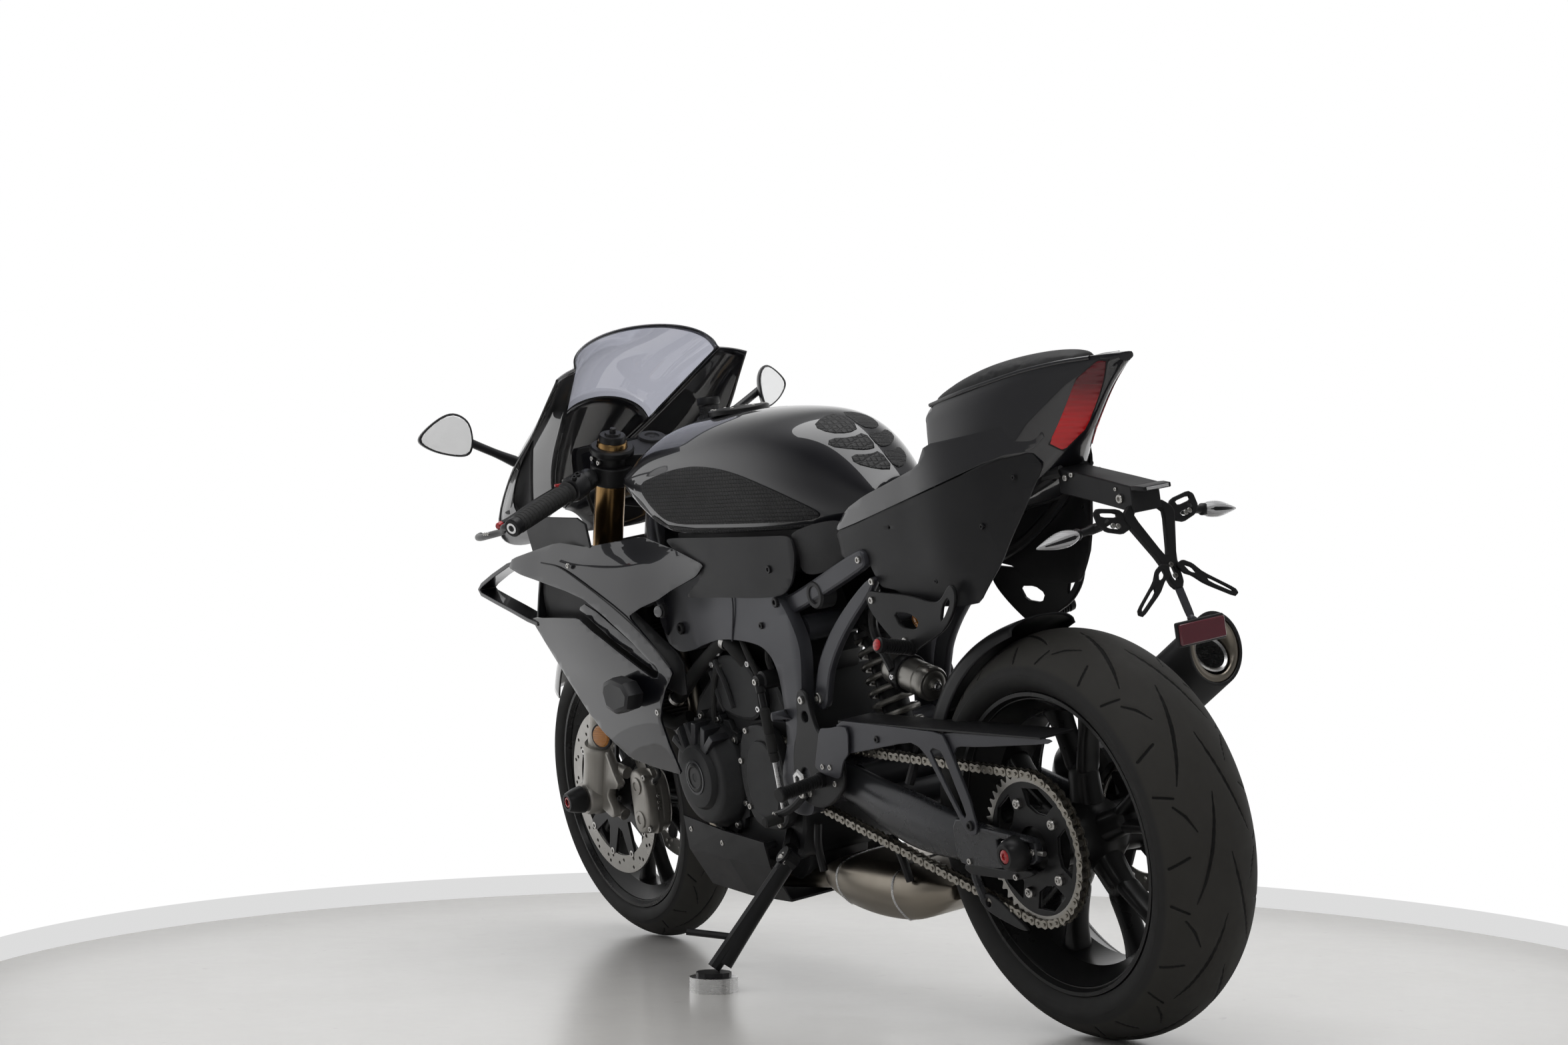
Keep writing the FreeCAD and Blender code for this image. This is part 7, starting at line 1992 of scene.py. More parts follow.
# Footrests and gear lever
restShape = {
    "hanger": [
        (590, 444), (566, 476), (556, 536), (540, 548), (522, 540), (514, 500), (500, 470), (462, 478),
        (446, 462), (440, 400), (452, 380), (500, 352), (540, 346), (580, 356), (600, 390)],
    "heel": [
        (456, 486), (430, 490), (409, 489), (404, 478), (412, 444), (430, 432), (446, 406), (456, 402),
        (502, 408), (520, 418), (510, 440), (494, 474), (486, 484)],
}
platePiece(
    "restHangers", rounded(restShape["hanger"], 2), 140, 148, blackMetal, bevel=2.5, both=True,
    hides=("footrests",), holes=[circle(13, 24, 560, 400), circle(9, 18, 536, 500)])
platePiece("heelGuards", rounded(restShape["heel"], 1, 0.12), 149, 152.5, framePaint, bevel=1, both=True)
sideBolts(
    "heelBolts",
    [(472, 152, 420, 5, 3), (494, 152, 420, 5, 3), (538, 148, 528, 7, 4), (552, 148, 372, 7, 4),
     (470, 148, 392, 5, 3), (458, 148, 470, 5, 3)],
    boltSteel, both=True)


def ridges(first, count, low, high):
    profile = []
    for k in range(count):
        start = first + k * 5
        profile += [(start, low), (start + 1, high), (start + 3, high), (start + 4, low)]
    return profile


pegProfile = [
    (0, 9), (0, 13), (12, 13), (13, 9.5), *ridges(15, 14, 9.5, 11.4), (86, 12.5), (93, 12.5), (95, 11),
    (95, 0.5)]
for side, tag in bothSides:
    turnedPiece(
        "footPeg" + tag, (510, 146 * side, 397), (-10, 93 * side, -7), pegProfile, blackMetal, sides=20)
tubePiece("gearLever", [[(560, 152, 372), (600, 158, 346), (640, 164, 332)]], 7, blackMetal, sides=10)
turnedPiece(
    "gearToePeg", (640, 158, 326), (0, 1, -0.05), [(0, 7), (2, 9.5), (34, 9.5), (36, 7), (36, 0.5)],
    gripRubber, sides=16)
tubePiece("gearRodLow", [[(640, 152, 334), (650, 150, 420)]], 4.4, silverMetal, sides=10, steps=1)
turnedPiece(
    "gearRodBoot", (650, 150, 418), (0.1, 0, 1),
    [(0, 5), (2, 8), (14, 8.6), (16, 7), (18, 9), (46, 9), (48, 7.2), (52, 9), (90, 9), (94, 6), (94, 0.5)],
    gripRubber, sides=16)
turnedPiece(
    "gearRodTop", (659, 150, 512), (0.1, 0, 1),
    [(0, 4), (0, 6), (24, 6), (26, 8.5), (42, 8.5), (44, 4), (44, 0.5)], blackMetal, sides=16)
turnedPiece(
    "gearShaft", (664, 118, 556), (0, 1, 0), [(0, 8), (0, 16), (26, 16), (28, 12), (38, 11), (38, 0.5)],
    blackMetal)
sideBolts("gearBolts", [(664, 156, 556, 6, 4), (640, 170, 334, 5, 4), (560, 158, 372, 8, 5)], boltSteel)
tubePiece("brakeLever", [[(560, -152, 372), (610, -160, 340), (650, -168, 326)]], 7, blackMetal, sides=10)
turnedPiece(
    "brakeToePeg", (650, -160, 326), (0, -1, 0), [(0, 7), (2, 9.5), (26, 9.5), (28, 7), (28, 0.5)],
    blackMetal, sides=16)
print("footrests made")

# Passenger hangers
hangerShape = [
    (336, 708), (286, 704), (210, 700), (150, 688), (128, 694), (104, 716), (92, 716), (86, 700), (100, 672),
    (130, 646), (164, 632), (200, 618), (232, 604), (262, 620), (304, 650), (334, 680)]
platePiece(
    "passengerHangers", rounded(hangerShape, 2), 119.4, 125.4, blackMetal, bevel=2, both=True,
    holes=[
        rounded([(262, 672), (220, 672), (196, 660), (206, 646), (248, 650)], 1, 0.2),
        rounded([(126, 684), (110, 696), (104, 690), (124, 668), (136, 660)], 1, 0.2)],
    hides=("passenger_pegs",))
pegRings = [
    (0, 8), (0, 12), (8, 12), (9, 9), *ridges(11, 9, 9, 11.6), (58, 12.5), (66, 12.5), (68, 11), (68, 0.5)]
for side, tag in bothSides:
    turnedPiece(
        "passengerPeg" + tag, (225, 124 * side, 617), (-3, 66 * side, 17), pegRings, blackMetal, sides=20)
    end = Vector((225, 124 * side, 617)) + Vector((-3, 66 * side, 17)).normalized() * 67
    turnedPiece(
        "passengerPegTip" + tag, end, (-3, 66 * side, 17), [(0, 9), (2.4, 9), (3, 8), (3, 0.5)], redLens,
        sides=20)
sideBolts(
    "hangerBolts", [(318, 125, 692, 6, 4), (240, 125, 628, 6, 4), (225, 125, 617, 4, 3)], boltSteel,
    both=True)
print("hangers made")

# Engine
engineShape = {
    "case": [
        (655, 300), (690, 240), (760, 222), (930, 232), (1000, 290), (1010, 400), (985, 500), (900, 560),
        (700, 560), (655, 480)],
    "cylinders": [(800, 540), (985, 490), (1040, 625), (860, 690)],
    "head": [(850, 660), (1030, 600), (1045, 650), (1015, 702), (900, 735)],
    "intake": [(660, 540), (820, 540), (900, 690), (720, 715)], "cover": (915, 378),
}
platePiece(
    "engineCase", rounded(engineShape["case"], 1, 0.16), -102, 102, castBlack, bevel=10, hides=("engine",))
for k in range(4):
    grow = 1 - 0.018 * (k % 2)
    near = -80 + k * 41
    middle = Vector((920, 590))
    spots = [tuple(middle + (Vector(p) - middle) * grow) for p in engineShape["cylinders"]]
    platePiece("cylinderBlock%d" % (k + 1), rounded(spots, 1, 0.12), near, near + 37, castBlack, bevel=4)
platePiece("cylinderHead", rounded(engineShape["head"], 1, 0.15), -86, 86, castBlack, bevel=6)
platePiece("throttleBodies", rounded(engineShape["intake"], 1, 0.2), -72, 72, blackMetal, bevel=8)
for side, tag in bothSides:
    platePiece(
        "camCover" + tag, rounded([(868, 672), (1018, 622), (1032, 652), (1004, 690), (904, 722)], 2),
        *sorted((84 * side, 96 * side)), castBlack, bevel=4)
sideBolts(
    "headBolts", [(880, 96, 684, 5, 4), (1012, 96, 640, 5, 4), (990, 96, 688, 5, 4), (916, 96, 708, 5, 4)],
    boltSteel, both=True)
ribs = []
for k in range(5):
    x, z = 830 + k * 30, 560 + k * 8
    ribs.append([(x, 83, z), (x + 40, 84, z + 92)])
tubePiece("cylinderRibs", ribs, 4, castBlack, sides=8, steps=1, both=True)


def coverPieces():
    x, z = engineShape["cover"]
    profile = [
        (100, 99), (118, 98), (124, 96), (128, 92), (146, 84), (149, 80), (150, 72), (151, 60), (157, 57),
        (160, 54), (161, 46), (161, 0.5)]
    turnedPiece("clutchCover", (x, 0, z), (0, 1, 0), profile, castBlack, sides=72)
    turnedPiece(
        "coverPlug", (x, 160, z), (0, 1, 0),
        [(0, 26), (2, 26), (3, 24), (3, 20), (1.4, 18), (1.4, 8), (-2, 7), (-2, 0.5)], blackMetal, sides=36)
    turnedPiece(
        "coverPlugRing", (x, 160, z), (0, 1, 0), [(0, 27), (0, 31), (2.4, 31), (2.4, 27)], armPaint, sides=36,
        closed=True)
    claws = []
    for centre in (52, 88, 124):
        turn = math.radians(centre)
        half = math.radians(13)
        inner, outer = 56, 98
        claws.append([
            (x + reach * math.cos(turn + half * swing), z + reach * math.sin(turn + half * swing))
            for reach, swing in (
                (inner, -0.7), (outer, -1), (outer, -0.35), (74, 0), (outer, 0.35), (outer, 1),
                (inner, 0.7))])
    for k, claw in enumerate(claws):
        platePiece("coverClaw%d" % (k + 1), claw, 118, 156, armPaint, bevel=2.4)
    bolts = []
    for k in range(11):
        turn = 2 * math.pi * k / 11 + 0.2
        bolts.append((x + 104 * math.cos(turn), 116, z + 104 * math.sin(turn), 5.5, 5))
    sideBolts("clutchCoverBolts", bolts, boltSteel)
    ears = [[(bolt[0], 100, bolt[2]), (bolt[0], 116, bolt[2])] for bolt in bolts]
    tubePiece("coverEars", ears, 9, castBlack, sides=14, steps=1)
    outline = [
        (x + r * math.cos(t), z + r * math.sin(t))
        for r, t in [(106 + 8 * (k % 2), 2 * math.pi * k / 44) for k in range(44)]]
    platePiece("coverFlange", outline, 98, 112, castBlack, bevel=2)


coverPieces()
platePiece(
    "sprocketCover",
    rounded(
        [(652, 330), (680, 292), (770, 292), (800, 340), (804, 400), (780, 470), (700, 480), (656, 440)], 2),
    112, 133, castBlack, bevel=6)
platePiece(
    "sprocketCoverStep",
    rounded(
        [(670, 350), (690, 316), (756, 314), (776, 352), (776, 400), (750, 446), (700, 450), (676, 420)], 2),
    130, 138, castBlack, bevel=4)
sideBolts(
    "sideBolts",
    [(668, 133, 340, 5.5, 4), (690, 133, 304, 5.5, 4), (782, 133, 330, 5.5, 4), (790, 133, 410, 5.5, 4),
     (760, 133, 464, 5.5, 4), (676, 133, 452, 5.5, 4), (800, 108, 520, 6, 5), (850, 108, 536, 6, 5),
     (745, 108, 540, 6, 5), (720, 108, 250, 6, 5), (835, 108, 240, 6, 5)],
    boltSteel)
platePiece(
    "sideCoverHigh",
    rounded([(720, 480), (800, 476), (870, 500), (880, 560), (840, 596), (760, 590), (716, 550)], 2), 98, 122,
    castBlack, bevel=7)
tubePiece(
    "coverRidges",
    [[(850, 122, 582), (822, 124, 540), (810, 122, 500)],
     [(880, 116, 560), (858, 120, 520), (850, 116, 492)]],
    6, castBlack, sides=10)
sideBolts(
    "ridgeBolts",
    [(868, 118, 574, 6, 5), (836, 120, 596, 6, 5), (744, 118, 578, 6, 5), (730, 118, 500, 6, 5)], silverMetal)
tubePiece(
    "coolantHoses",
    [[(760, 100, 560), (770, 122, 600), (800, 126, 620), (850, 120, 600), (940, 110, 560), (1050, 100, 500)],
     [(1010, 100, 470), (1040, 112, 460), (1080, 118, 470)]],
    13, gripRubber, sides=16)
tubePiece(
    "thinHoses",
    [[(700, 128, 560), (720, 132, 600), (760, 118, 640), (800, 90, 680)],
     [(820, 112, 580), (850, 124, 560), (880, 122, 500), (890, 118, 460)],
     [(660, 112, 540), (670, 122, 590), (650, 116, 640)]],
    5.5, gripRubber, sides=10)
turnedPiece(
    "hoseClipHigh", (790, 125, 615), (0.8, 0.1, 0.4), [(0, 13.5), (0, 15.5), (10, 15.5), (10, 13.5)],
    boltSteel, sides=24, closed=True)
turnedPiece(
    "hoseClipLow", (1030, 108, 510), (0.8, -0.1, -0.5), [(0, 13.5), (0, 15.5), (10, 15.5), (10, 13.5)],
    boltSteel, sides=24, closed=True)
turnedPiece(
    "alternatorCover", (900, -100, 400), (0, -1, 0),
    [(0, 92), (22, 90), (30, 84), (44, 66), (48, 54), (48, 0.5)], castBlack, sides=60)
platePiece(
    "oilPan", rounded([(720, 250), (940, 250), (930, 204), (900, 180), (780, 176), (740, 200)], 1, 0.2), -64,
    64, castBlack, bevel=10)
turnedPiece(
    "oilFilter", (1004, 40, 330), (1, 0, -0.1), [(0, 34), (60, 34), (66, 30), (66, 0.5)], blackMetal,
    sides=36)
print("engine made")

# Radiator
radiatorShape = {"centre": (1098, 0, 572), "half": 148, "height": 238, "deep": 12, "tank": 18, "fins": 30}


def radiatorPieces():
    centre = Vector(radiatorShape["centre"])
    half, deep = radiatorShape["height"] / 2, radiatorShape["deep"]
    wide = radiatorShape["half"] - radiatorShape["tank"]
    core = [
        [centre + forkAhead * a + forkUp * b + Vector((0, y, 0))
         for a, b in ((-deep, -half), (deep, -half), (deep, half), (-deep, half))]
        for y in (-wide, wide)]
    ringPiece("radiatorCore", core, radiatorBlack, levels=0, hides=("radiator",))
    for side, tag in bothSides:
        tank = [
            centre + forkUp * b + Vector((0, side * (radiatorShape["half"] - 10), 0))
            for b in (-half - 4, half + 4)]
        tubePiece("radiatorTank" + tag, [tank], 19, radiatorBlack, sides=20, steps=1)
    fins = []
    for k in range(radiatorShape["fins"]):
        level = centre + forkUp * (-half + 4 + k * (2 * half - 8) / (radiatorShape["fins"] - 1))
        for depth in (13, -13):
            fins.append([level + forkAhead * depth + Vector((0, y, 0)) for y in (128, -128)])
    tubePiece("radiatorFins", fins, 1.6, radiatorBlack, sides=6, steps=1)


radiatorPieces()
tubePiece("hornBracket", [[(1010, 60, 700), (1050, 70, 660)]], 8, blackMetal, sides=10, steps=1)
print("radiator made")

# Exhaust
exhaustShape = {
    "pipe": [
        (1043, 628), (1071, 615), (1072, 570), (1050, 520), (1040, 400), (1036, 300), (1010, 226), (960, 192),
        (860, 184), (700, 190)],
    "box": [
        (700, 186, 214, 54), (650, 166, 240, 88), (560, 150, 246, 96), (470, 148, 248, 98),
        (400, 152, 246, 96), (350, 168, 234, 88), (312, 192, 216, 60)],
}
for k, y in enumerate((-62, 0, 62)):
    line = [(x, y * (1 if x > 900 else 0.5 + 0.5 * (x - 700) / 200), z) for x, z in exhaustShape["pipe"]]
    tubePiece(
        "headerPipe%d" % (k + 1), [line], 19, exhaustSteel, sides=20,
        hides=("exhaust_pipes",) if k == 0 else ())


def boxRing(x, low, high, wide):
    middle = (low + high) / 2
    return [
        (x, -wide * 0.72, low), (x, wide * 0.72, low), (x, wide, middle - 14), (x, wide, middle + 16),
        (x, wide * 0.82, high), (x, -wide * 0.82, high), (x, -wide, middle + 16), (x, -wide, middle - 14)]


exhaustBox = ringPiece(
    "exhaustBox", [boxRing(*row) for row in exhaustShape["box"]], exhaustSteel, levels=3, creasedRings=(0, 6),
    creasedLines=(0, 1), smooth=60)
nearBox = surfaceOf(exhaustBox, (0, 0, 0), 0)
seams = []
for x in (606, 430):
    row = min(exhaustShape["box"], key=lambda item: abs(item[0] - x))
    ring = boxRing(x, *row[1:])
    seams.append([nearBox(point) for point in smoothLine(ring + ring[:1], 5)])
tubePiece("boxSeams", seams, 2.4, silverMetal, sides=8, steps=0)
tubePiece(
    "boxStraps",
    [[(640, 92, 220), (640, 96, 262), (640, 90, 300)], [(380, 90, 226), (384, 96, 262), (400, 98, 300)]], 7,
    blackMetal, sides=10)
tubePiece(
    "linkPipe", [[(420, -80, 220), (350, -150, 250), (300, -190, 300), (262, -198, 362)]], 24, exhaustSteel,
    sides=20)
silencerShape = {"low": (305, -196, 330), "high": (-95, -204, 560), "radius": 54}


def cutSlanted(shaper, spot, slash):
    bmesh.ops.bisect_plane(shaper, geom=everything(shaper), plane_co=spot, plane_no=slash, clear_outer=True)
    bmesh.ops.bridge_loops(shaper, edges=[edge for edge in shaper.edges if edge.is_boundary])


def silencerPieces():
    low, high = Vector(silencerShape["low"]), Vector(silencerShape["high"])
    way = (high - low).normalized()
    length = (high - low).length
    radius = silencerShape["radius"]
    shellProfile = [
        (-6, 24), (-4, 30), (26, 46), (46, radius), (52, radius + 1), (58, radius), (length + 34, radius - 2),
        (length + 38, radius - 3), (length + 38, radius - 6), (length - 66, radius - 8), (length - 70, 30),
        (40, 30)]
    shellPiece = turnedPiece(
        "silencerShell", low, way, shellProfile, pipeBlack, sides=64, closed=True, hides=("silencer",))
    coneProfile = [
        (length - 60, radius - 7.5), (length + 36, radius - 6.4), (length + 36, radius - 8.6),
        (length - 20, 34), (length - 40, 30), (length - 60, 30)]
    cone = turnedPiece("silencerCone", low, way, coneProfile, exhaustSteel, sides=64, closed=True)
    slash = (way + Vector((-0.62, 0, -0.36))).normalized()
    for piece, reach in ((shellPiece, 0), (cone, -1.5)):
        spot = (low + way * (length + 4 + reach)) / 1000
        reshape(piece.data, lambda shaper: cutSlanted(shaper, spot, slash))
    turnedPiece(
        "silencerOutlet", low, way,
        [(length - 64, 24), (length - 64, 27), (length - 18, 29), (length - 12, 31), (length - 10, 29),
         (length - 12, 25), (length - 30, 24)],
        silverMetal, sides=48, closed=True)
    turnedPiece(
        "silencerDark", low, way,
        [(length - 60, 0.5), (length - 60, 25), (length - 58, 25), (length - 58, 0.5)], pipeBlack, sides=32)
    turnedPiece(
        "silencerStrap", low, way,
        [(150, radius + 0.4), (150, radius + 3), (152, radius + 4), (176, radius + 4), (178, radius + 3),
         (178, radius + 0.4)],
        blackMetal, sides=64, closed=True)
    sideBolts("strapBolt", [(*(low + way * 164 + Vector((0, radius + 3, 0))), 8, 6)], boltSteel)
    tubePiece(
        "strapArm", [[low + way * 164 + Vector((14, 40, 44)), (262, -160, 560), (268, -130, 642)]], 8,
        blackMetal, sides=10)


silencerPieces()
print("exhaust made")

# Plate bracket
bracketShape = {"arm": [(-72, 874, 836, 24), (-195, 850, 812, 26), (-240, 841, 802, 26)]}
armRings = [
    [(x, -wide, low), (x, wide, low), (x, wide, high), (x, -wide, high)]
    for x, high, low, wide in bracketShape["arm"]]
plateArm = ringPiece("plateArm", armRings, satinPlastic, levels=0, hides=("plate_holder",))
roundEdges(plateArm, 2, 2, 30)
sideBolts(
    "plateArmBolts",
    [(-92, 25, 858, 5, 3), (-108, 25, 862, 4, 3), (-214, 26, 824, 7, 4), (-206, 26, 838, 3, 2)], boltSteel,
    both=True)
lampRings = [
    [(x, -wide, z), (x, wide, z), (x, wide, z + 7), (x, -wide, z + 7)]
    for x, wide, z in ((-222, 23, 834), (-252, 27, 834), (-268, 25, 832))]
plateLamp = ringPiece("plateLamp", lampRings, satinPlastic, levels=0)
roundEdges(plateLamp, 1.5, 2, 30)
lampGlass = ringPiece(
    "plateLampGlass",
    [[(-269, -20, 833.5), (-269, 20, 833.5), (-269, 20, 838), (-269, -20, 838)],
     [(-267, -20, 833.5), (-267, 20, 833.5), (-267, 20, 838), (-267, -20, 838)]],
    clearLens, levels=0)
roundEdges(lampGlass, 0.6, 2, 30)
bracketTurn = Matrix.Translation(Vector((-228, 0, 808)) / 1000) @ Matrix.Rotation(math.radians(23), 4, "Y")


def bracketPlate(name, outline, thick, finish, holes=(), shift=0.0, bevel=1.6, both=False):
    mesh = outlineMesh(name, outline, shift, shift + thick, holes, bevel)
    mesh.transform(Matrix(((0, -1, 0, 0), (1, 0, 0, 0), (0, 0, 1, 0), (0, 0, 0, 1))))
    mesh.transform(bracketTurn)
    if both:
        reshape(mesh, addTwin)
    return keepPiece(name, mesh, finish, "chassis", None, (), 30)


triangle = rounded([(-27, -14), (-20, -6), (20, -6), (27, -14), (3, -78), (-3, -78)], 1, 0.15)
bracketPlate(
    "plateFrame",
    rounded(
        [(-30, 4), (30, 4), (44, -8), (46, -18), (16, -86), (12, -122), (6, -131), (-6, -131), (-12, -122),
         (-16, -86), (-46, -18), (-44, -8)],
        1, 0.12),
    9, blackMetal, holes=[triangle, rounded([(-4, -92), (4, -92), (5, -118), (-5, -118)], 1, 0.2)], bevel=2.2)
slotHigh = rounded([(54, -3), (82, 2), (82, -5), (56, -10)], 1, 0.2)
slotLow = rounded([(54, -21), (80, -16), (78, -23), (58, -28)], 1, 0.2)
bracketPlate(
    "plateEars",
    rounded([(36, -12), (48, 2), (84, 9), (92, 3), (92, -16), (82, -28), (56, -36), (38, -30)], 1, 0.14), 5,
    blackMetal, holes=[slotHigh, slotLow], shift=2, both=True)
bracketPlate(
    "plateProngs",
    rounded(
        [(6, -96), (20, -92), (34, -100), (46, -116), (90, -150), (92, -158), (84, -162), (40, -134),
         (24, -118), (12, -112)],
        1, 0.14),
    4, blackMetal,
    holes=[
        rounded([(18, -100), (30, -106), (34, -116), (24, -112)], 1, 0.2),
        rounded([(48, -124), (82, -150), (84, -155), (50, -132)], 1, 0.2)],
    shift=10, both=True)
bracketPlate(
    "reflectorStrip", rounded([(-7, -124), (7, -124), (7, -170), (4, -182), (-4, -182), (-7, -170)], 1, 0.15),
    3, framePaint, shift=4, bevel=1)
bracketSpots = [
    (bracketTurn @ (Vector((-8, y, z)) / 1000)) * 1000
    for y, z in ((0, -95), (0, -112), (62, -24), (70, -22))]
boltHeads(
    "bracketBolts", [(spot.x, spot.y, spot.z, (-0.92, 0, 0.39), 4, 3) for spot in bracketSpots], boltSteel,
    both=True)


def boxPiece(name, low, high, finish, bevel, **rest):
    corners = [
        (x, y, z) for x in (low[0], high[0])
        for y, z in ((low[1], low[2]), (high[1], low[2]), (high[1], high[2]), (low[1], high[2]))]
    piece = addPiece(name, corners, gridFaces(2, 4, around=True) + endFaces(0, 8, 4), finish, **rest)
    return roundEdges(piece, bevel, 3, 30)


boxPiece("reflectorBack", (-321, -44, 612), (-314, 44, 648), satinPlastic, 3)
boxPiece("rearReflector", (-325.5, -41, 615), (-319, 41, 645), darkLens, 2.5, hides=("rear_reflector",))
tubePiece("reflectorLoop", [[(-299, 0, 644), (-308, 6, 650), (-317, 0, 642)]], 4, framePaint, sides=10)
indicatorShape = {
    "flat": 0.62,
    "corners": [(-1, -0.5), (-0.5, -1), (0.5, -1), (1, -0.5), (1, 0.5), (0.5, 1), (-0.5, 1), (-1, 0.5)],
    "lens": [
        (26, 8, 8), (34, 13, 15), (46, 16, 21), (60, 15, 20), (76, 10, 13), (90, 4.5, 6), (98, 1.2, 1.6)],
    "spine": [(26, 8.6, 7), (40, 17, 8), (60, 16.2, 7.5), (78, 10.4, 4), (92, 4.6, 1.6)],
}
for side, tag in bothSides:
    root, tip = Vector((-222, 88 * side, 790)), Vector((-212, 186 * side, 777))
    way = (tip - root).normalized()
    turnedPiece(
        "indicatorStem" + tag, root, way,
        [(-14, 4), (-12, 7), (4, 7.5), (10, 6), (22, 6), (26, 9), (32, 9), (33, 0.5)], blackMetal, sides=16)
    aside = way.cross(Vector((0, 0, 1))).normalized()
    up = aside.cross(way).normalized()
    rings = [
        [root + way * along + aside * wide * a + up * tall * b * indicatorShape["flat"]
         for a, b in indicatorShape["corners"]]
        for along, wide, tall in indicatorShape["lens"]]
    ringPiece(
        "indicatorLens" + tag, rings, clearLens, levels=2, creasedLines=(0, 3, 4, 7),
        hides=("rear_indicators",) if side > 0 else ())
    spine = [
        [root + way * along + aside * wide * a + up * tall * b * indicatorShape["flat"]
         for a, b in ((-1, -0.6), (1, -0.6), (1, 0.6), (-1, 0.6))]
        for along, wide, tall in indicatorShape["spine"]]
    ringPiece("indicatorSpine" + tag, spine, blackMetal, levels=1, creasedLines=(0, 1, 2, 3))
    tubePiece(
        "indicatorArm" + tag, [[(-240, 72 * side, 798), (-232, 84 * side, 792), tuple(root)]], 5, blackMetal,
        sides=10)
print("plate bracket made")

# Side stand
tubePiece(
    "standCasing", [[(683, 136, 240), (696, 184, 188), (708, 232, 134), (717, 268, 92)]], 15, blackMetal,
    sides=14, body="side_stand")
tubePiece(
    "standSpring", [[(702, 140, 236), (709, 166, 208), (716, 192, 180)]], 5.5, springGrey, sides=12,
    body="side_stand")
turnedPiece(
    "standBolt", (680, 126, 247), (0, 1, 0),
    [(0, 8), (0, 13), (16, 13), (18, 11), (22, 11), (24, 9), (24, 0.5)], boltSteel, sides=12)
print("stand dressed")

# Belly pan trims
sideBolts("bellyBolts", [(870, 150, 262, 5, 3), (960, 158, 282, 5, 3)], boltSteel, both=True)

# Remaining CAD nodes keep their shape and get a finish
nodeFinishes = {
    "axle_shafts": blackMetal, "front_axle": forkGrey, "triple_clamps": blackMetal, "fork_tubes": forkGold,
    "fork_legs": forkGrey, "handlebars": blackMetal, "front_calipers": forkGrey, "front_fender": glossPaint,
    "main_frame": framePaint, "engine": castBlack, "radiator": radiatorBlack, "exhaust_pipes": exhaustSteel,
    "silencer": pipeBlack, "swingarm": armPaint, "chain_guard": blackMetal, "rear_hugger": satinPlastic,
    "rear_shock": springGrey, "rear_caliper": blackMetal, "fuel_tank": glossPaint, "fuel_cap": blackMetal,
    "rider_seat": seatCover, "passenger_seat": seatCover, "tail_cowl": glossPaint, "tail_lamp": redLens,
    "side_panels": satinPlastic, "subframe": framePaint, "plate_holder": blackMetal,
    "rear_reflector": redLens, "rear_indicators": clearLens, "side_fairings": glossPaint,
    "upper_fairing": glossPaint, "headlamps": clearLens, "windscreen": smokeScreen, "mirrors": mirrorShell,
    "belly_pan": satinPlastic, "footrests": blackMetal, "passenger_pegs": blackMetal,
    "crash_protectors": satinPlastic, "dash": satinPlastic, "side_stand": blackMetal,
    "stand_bracket": blackMetal, "stand_puck": silverMetal,
}
for node, finish in nodeFinishes.items():
    shown = frame["nodes"][node]
    if shown.hide_render:
        continue
    shown.data.materials.clear()
    shown.data.materials.append(finish)
    shown.data.shade_smooth()
    shown.data.set_sharp_from_angle(angle=math.radians(32))
print("frame dressed")

# Every mesh is set in the row frame
for piece in [item for item in bpy.context.scene.objects if item.type == "MESH" and item.name in drawn]:
    piece.data.transform(piece.matrix_world)
    piece.matrix_world = Matrix.Identity(4)

# Studio
cameraShape = {
    "offset": (-3.3340, 2.5774, 0.3746), "yaw": -30.738, "pitch": 1.640, "lens": 63.48,
    "shift": (0.01977, -0.01085)}
studio = {
    "ahead": 4.75, "aside": 0.1, "radius": 1.5, "reach": 5.2, "stripHeight": 0.044, "wallHeight": 3.2,
    "ceiling": 0.22, "nearSide": 0.2, "floorColour": (0.54, 0.53, 0.515), "stripColour": (0.74, 0.73, 0.71),
    "wallColour": (0.86, 0.86, 0.86)}


def cameraWay():
    yaw, pitch = math.radians(cameraShape["yaw"]), math.radians(cameraShape["pitch"])
    return Vector((math.cos(yaw) * math.cos(pitch), math.sin(yaw) * math.cos(pitch), math.sin(pitch)))


def studioMesh(name, points, faces, finish):
    mesh = bpy.data.meshes.new(name)
    mesh.from_pydata(points, [], faces)
    mesh.materials.append(finish)
    mesh.shade_smooth()
    holder = bpy.data.objects.new(name, mesh)
    bpy.context.scene.collection.objects.link(holder)


def floorWays():
    ahead = Vector((cameraWay().x, cameraWay().y, 0)).normalized()
    return ahead, Vector((ahead.y, -ahead.x, 0))


def studioCentre():
    eye = rearAxle + Vector(cameraShape["offset"])
    ahead, aside = floorWays()
    return Vector((eye.x, eye.y, 0)) + ahead * studio["ahead"] + aside * studio["aside"]


def roomLevel(tree, place, middle, heights, depths):
    height = addNode(tree, "SeparateXYZ", {0: place}).outputs["Z"]
    ceiling = addNode(
        tree, "MapRange",
        {"Value": height, "From Min": heights[0], "From Max": heights[1], "To Min": 1.0,
         "To Max": studio["ceiling"]},
        interpolation_type="SMOOTHSTEP")
    away = addNode(tree, "VectorMath", {0: place, 1: middle}, operation="SUBTRACT").outputs[0]
    ahead = addNode(tree, "VectorMath", {0: away, 1: cameraWay()}, operation="DOT_PRODUCT").outputs["Value"]
    side = addNode(
        tree, "MapRange",
        {"Value": ahead, "From Min": depths[0], "From Max": depths[1], "To Min": studio["nearSide"],
         "To Max": 1.0},
        interpolation_type="SMOOTHSTEP")
    return calc(tree, "MULTIPLY", ceiling.outputs["Result"], side.outputs["Result"])


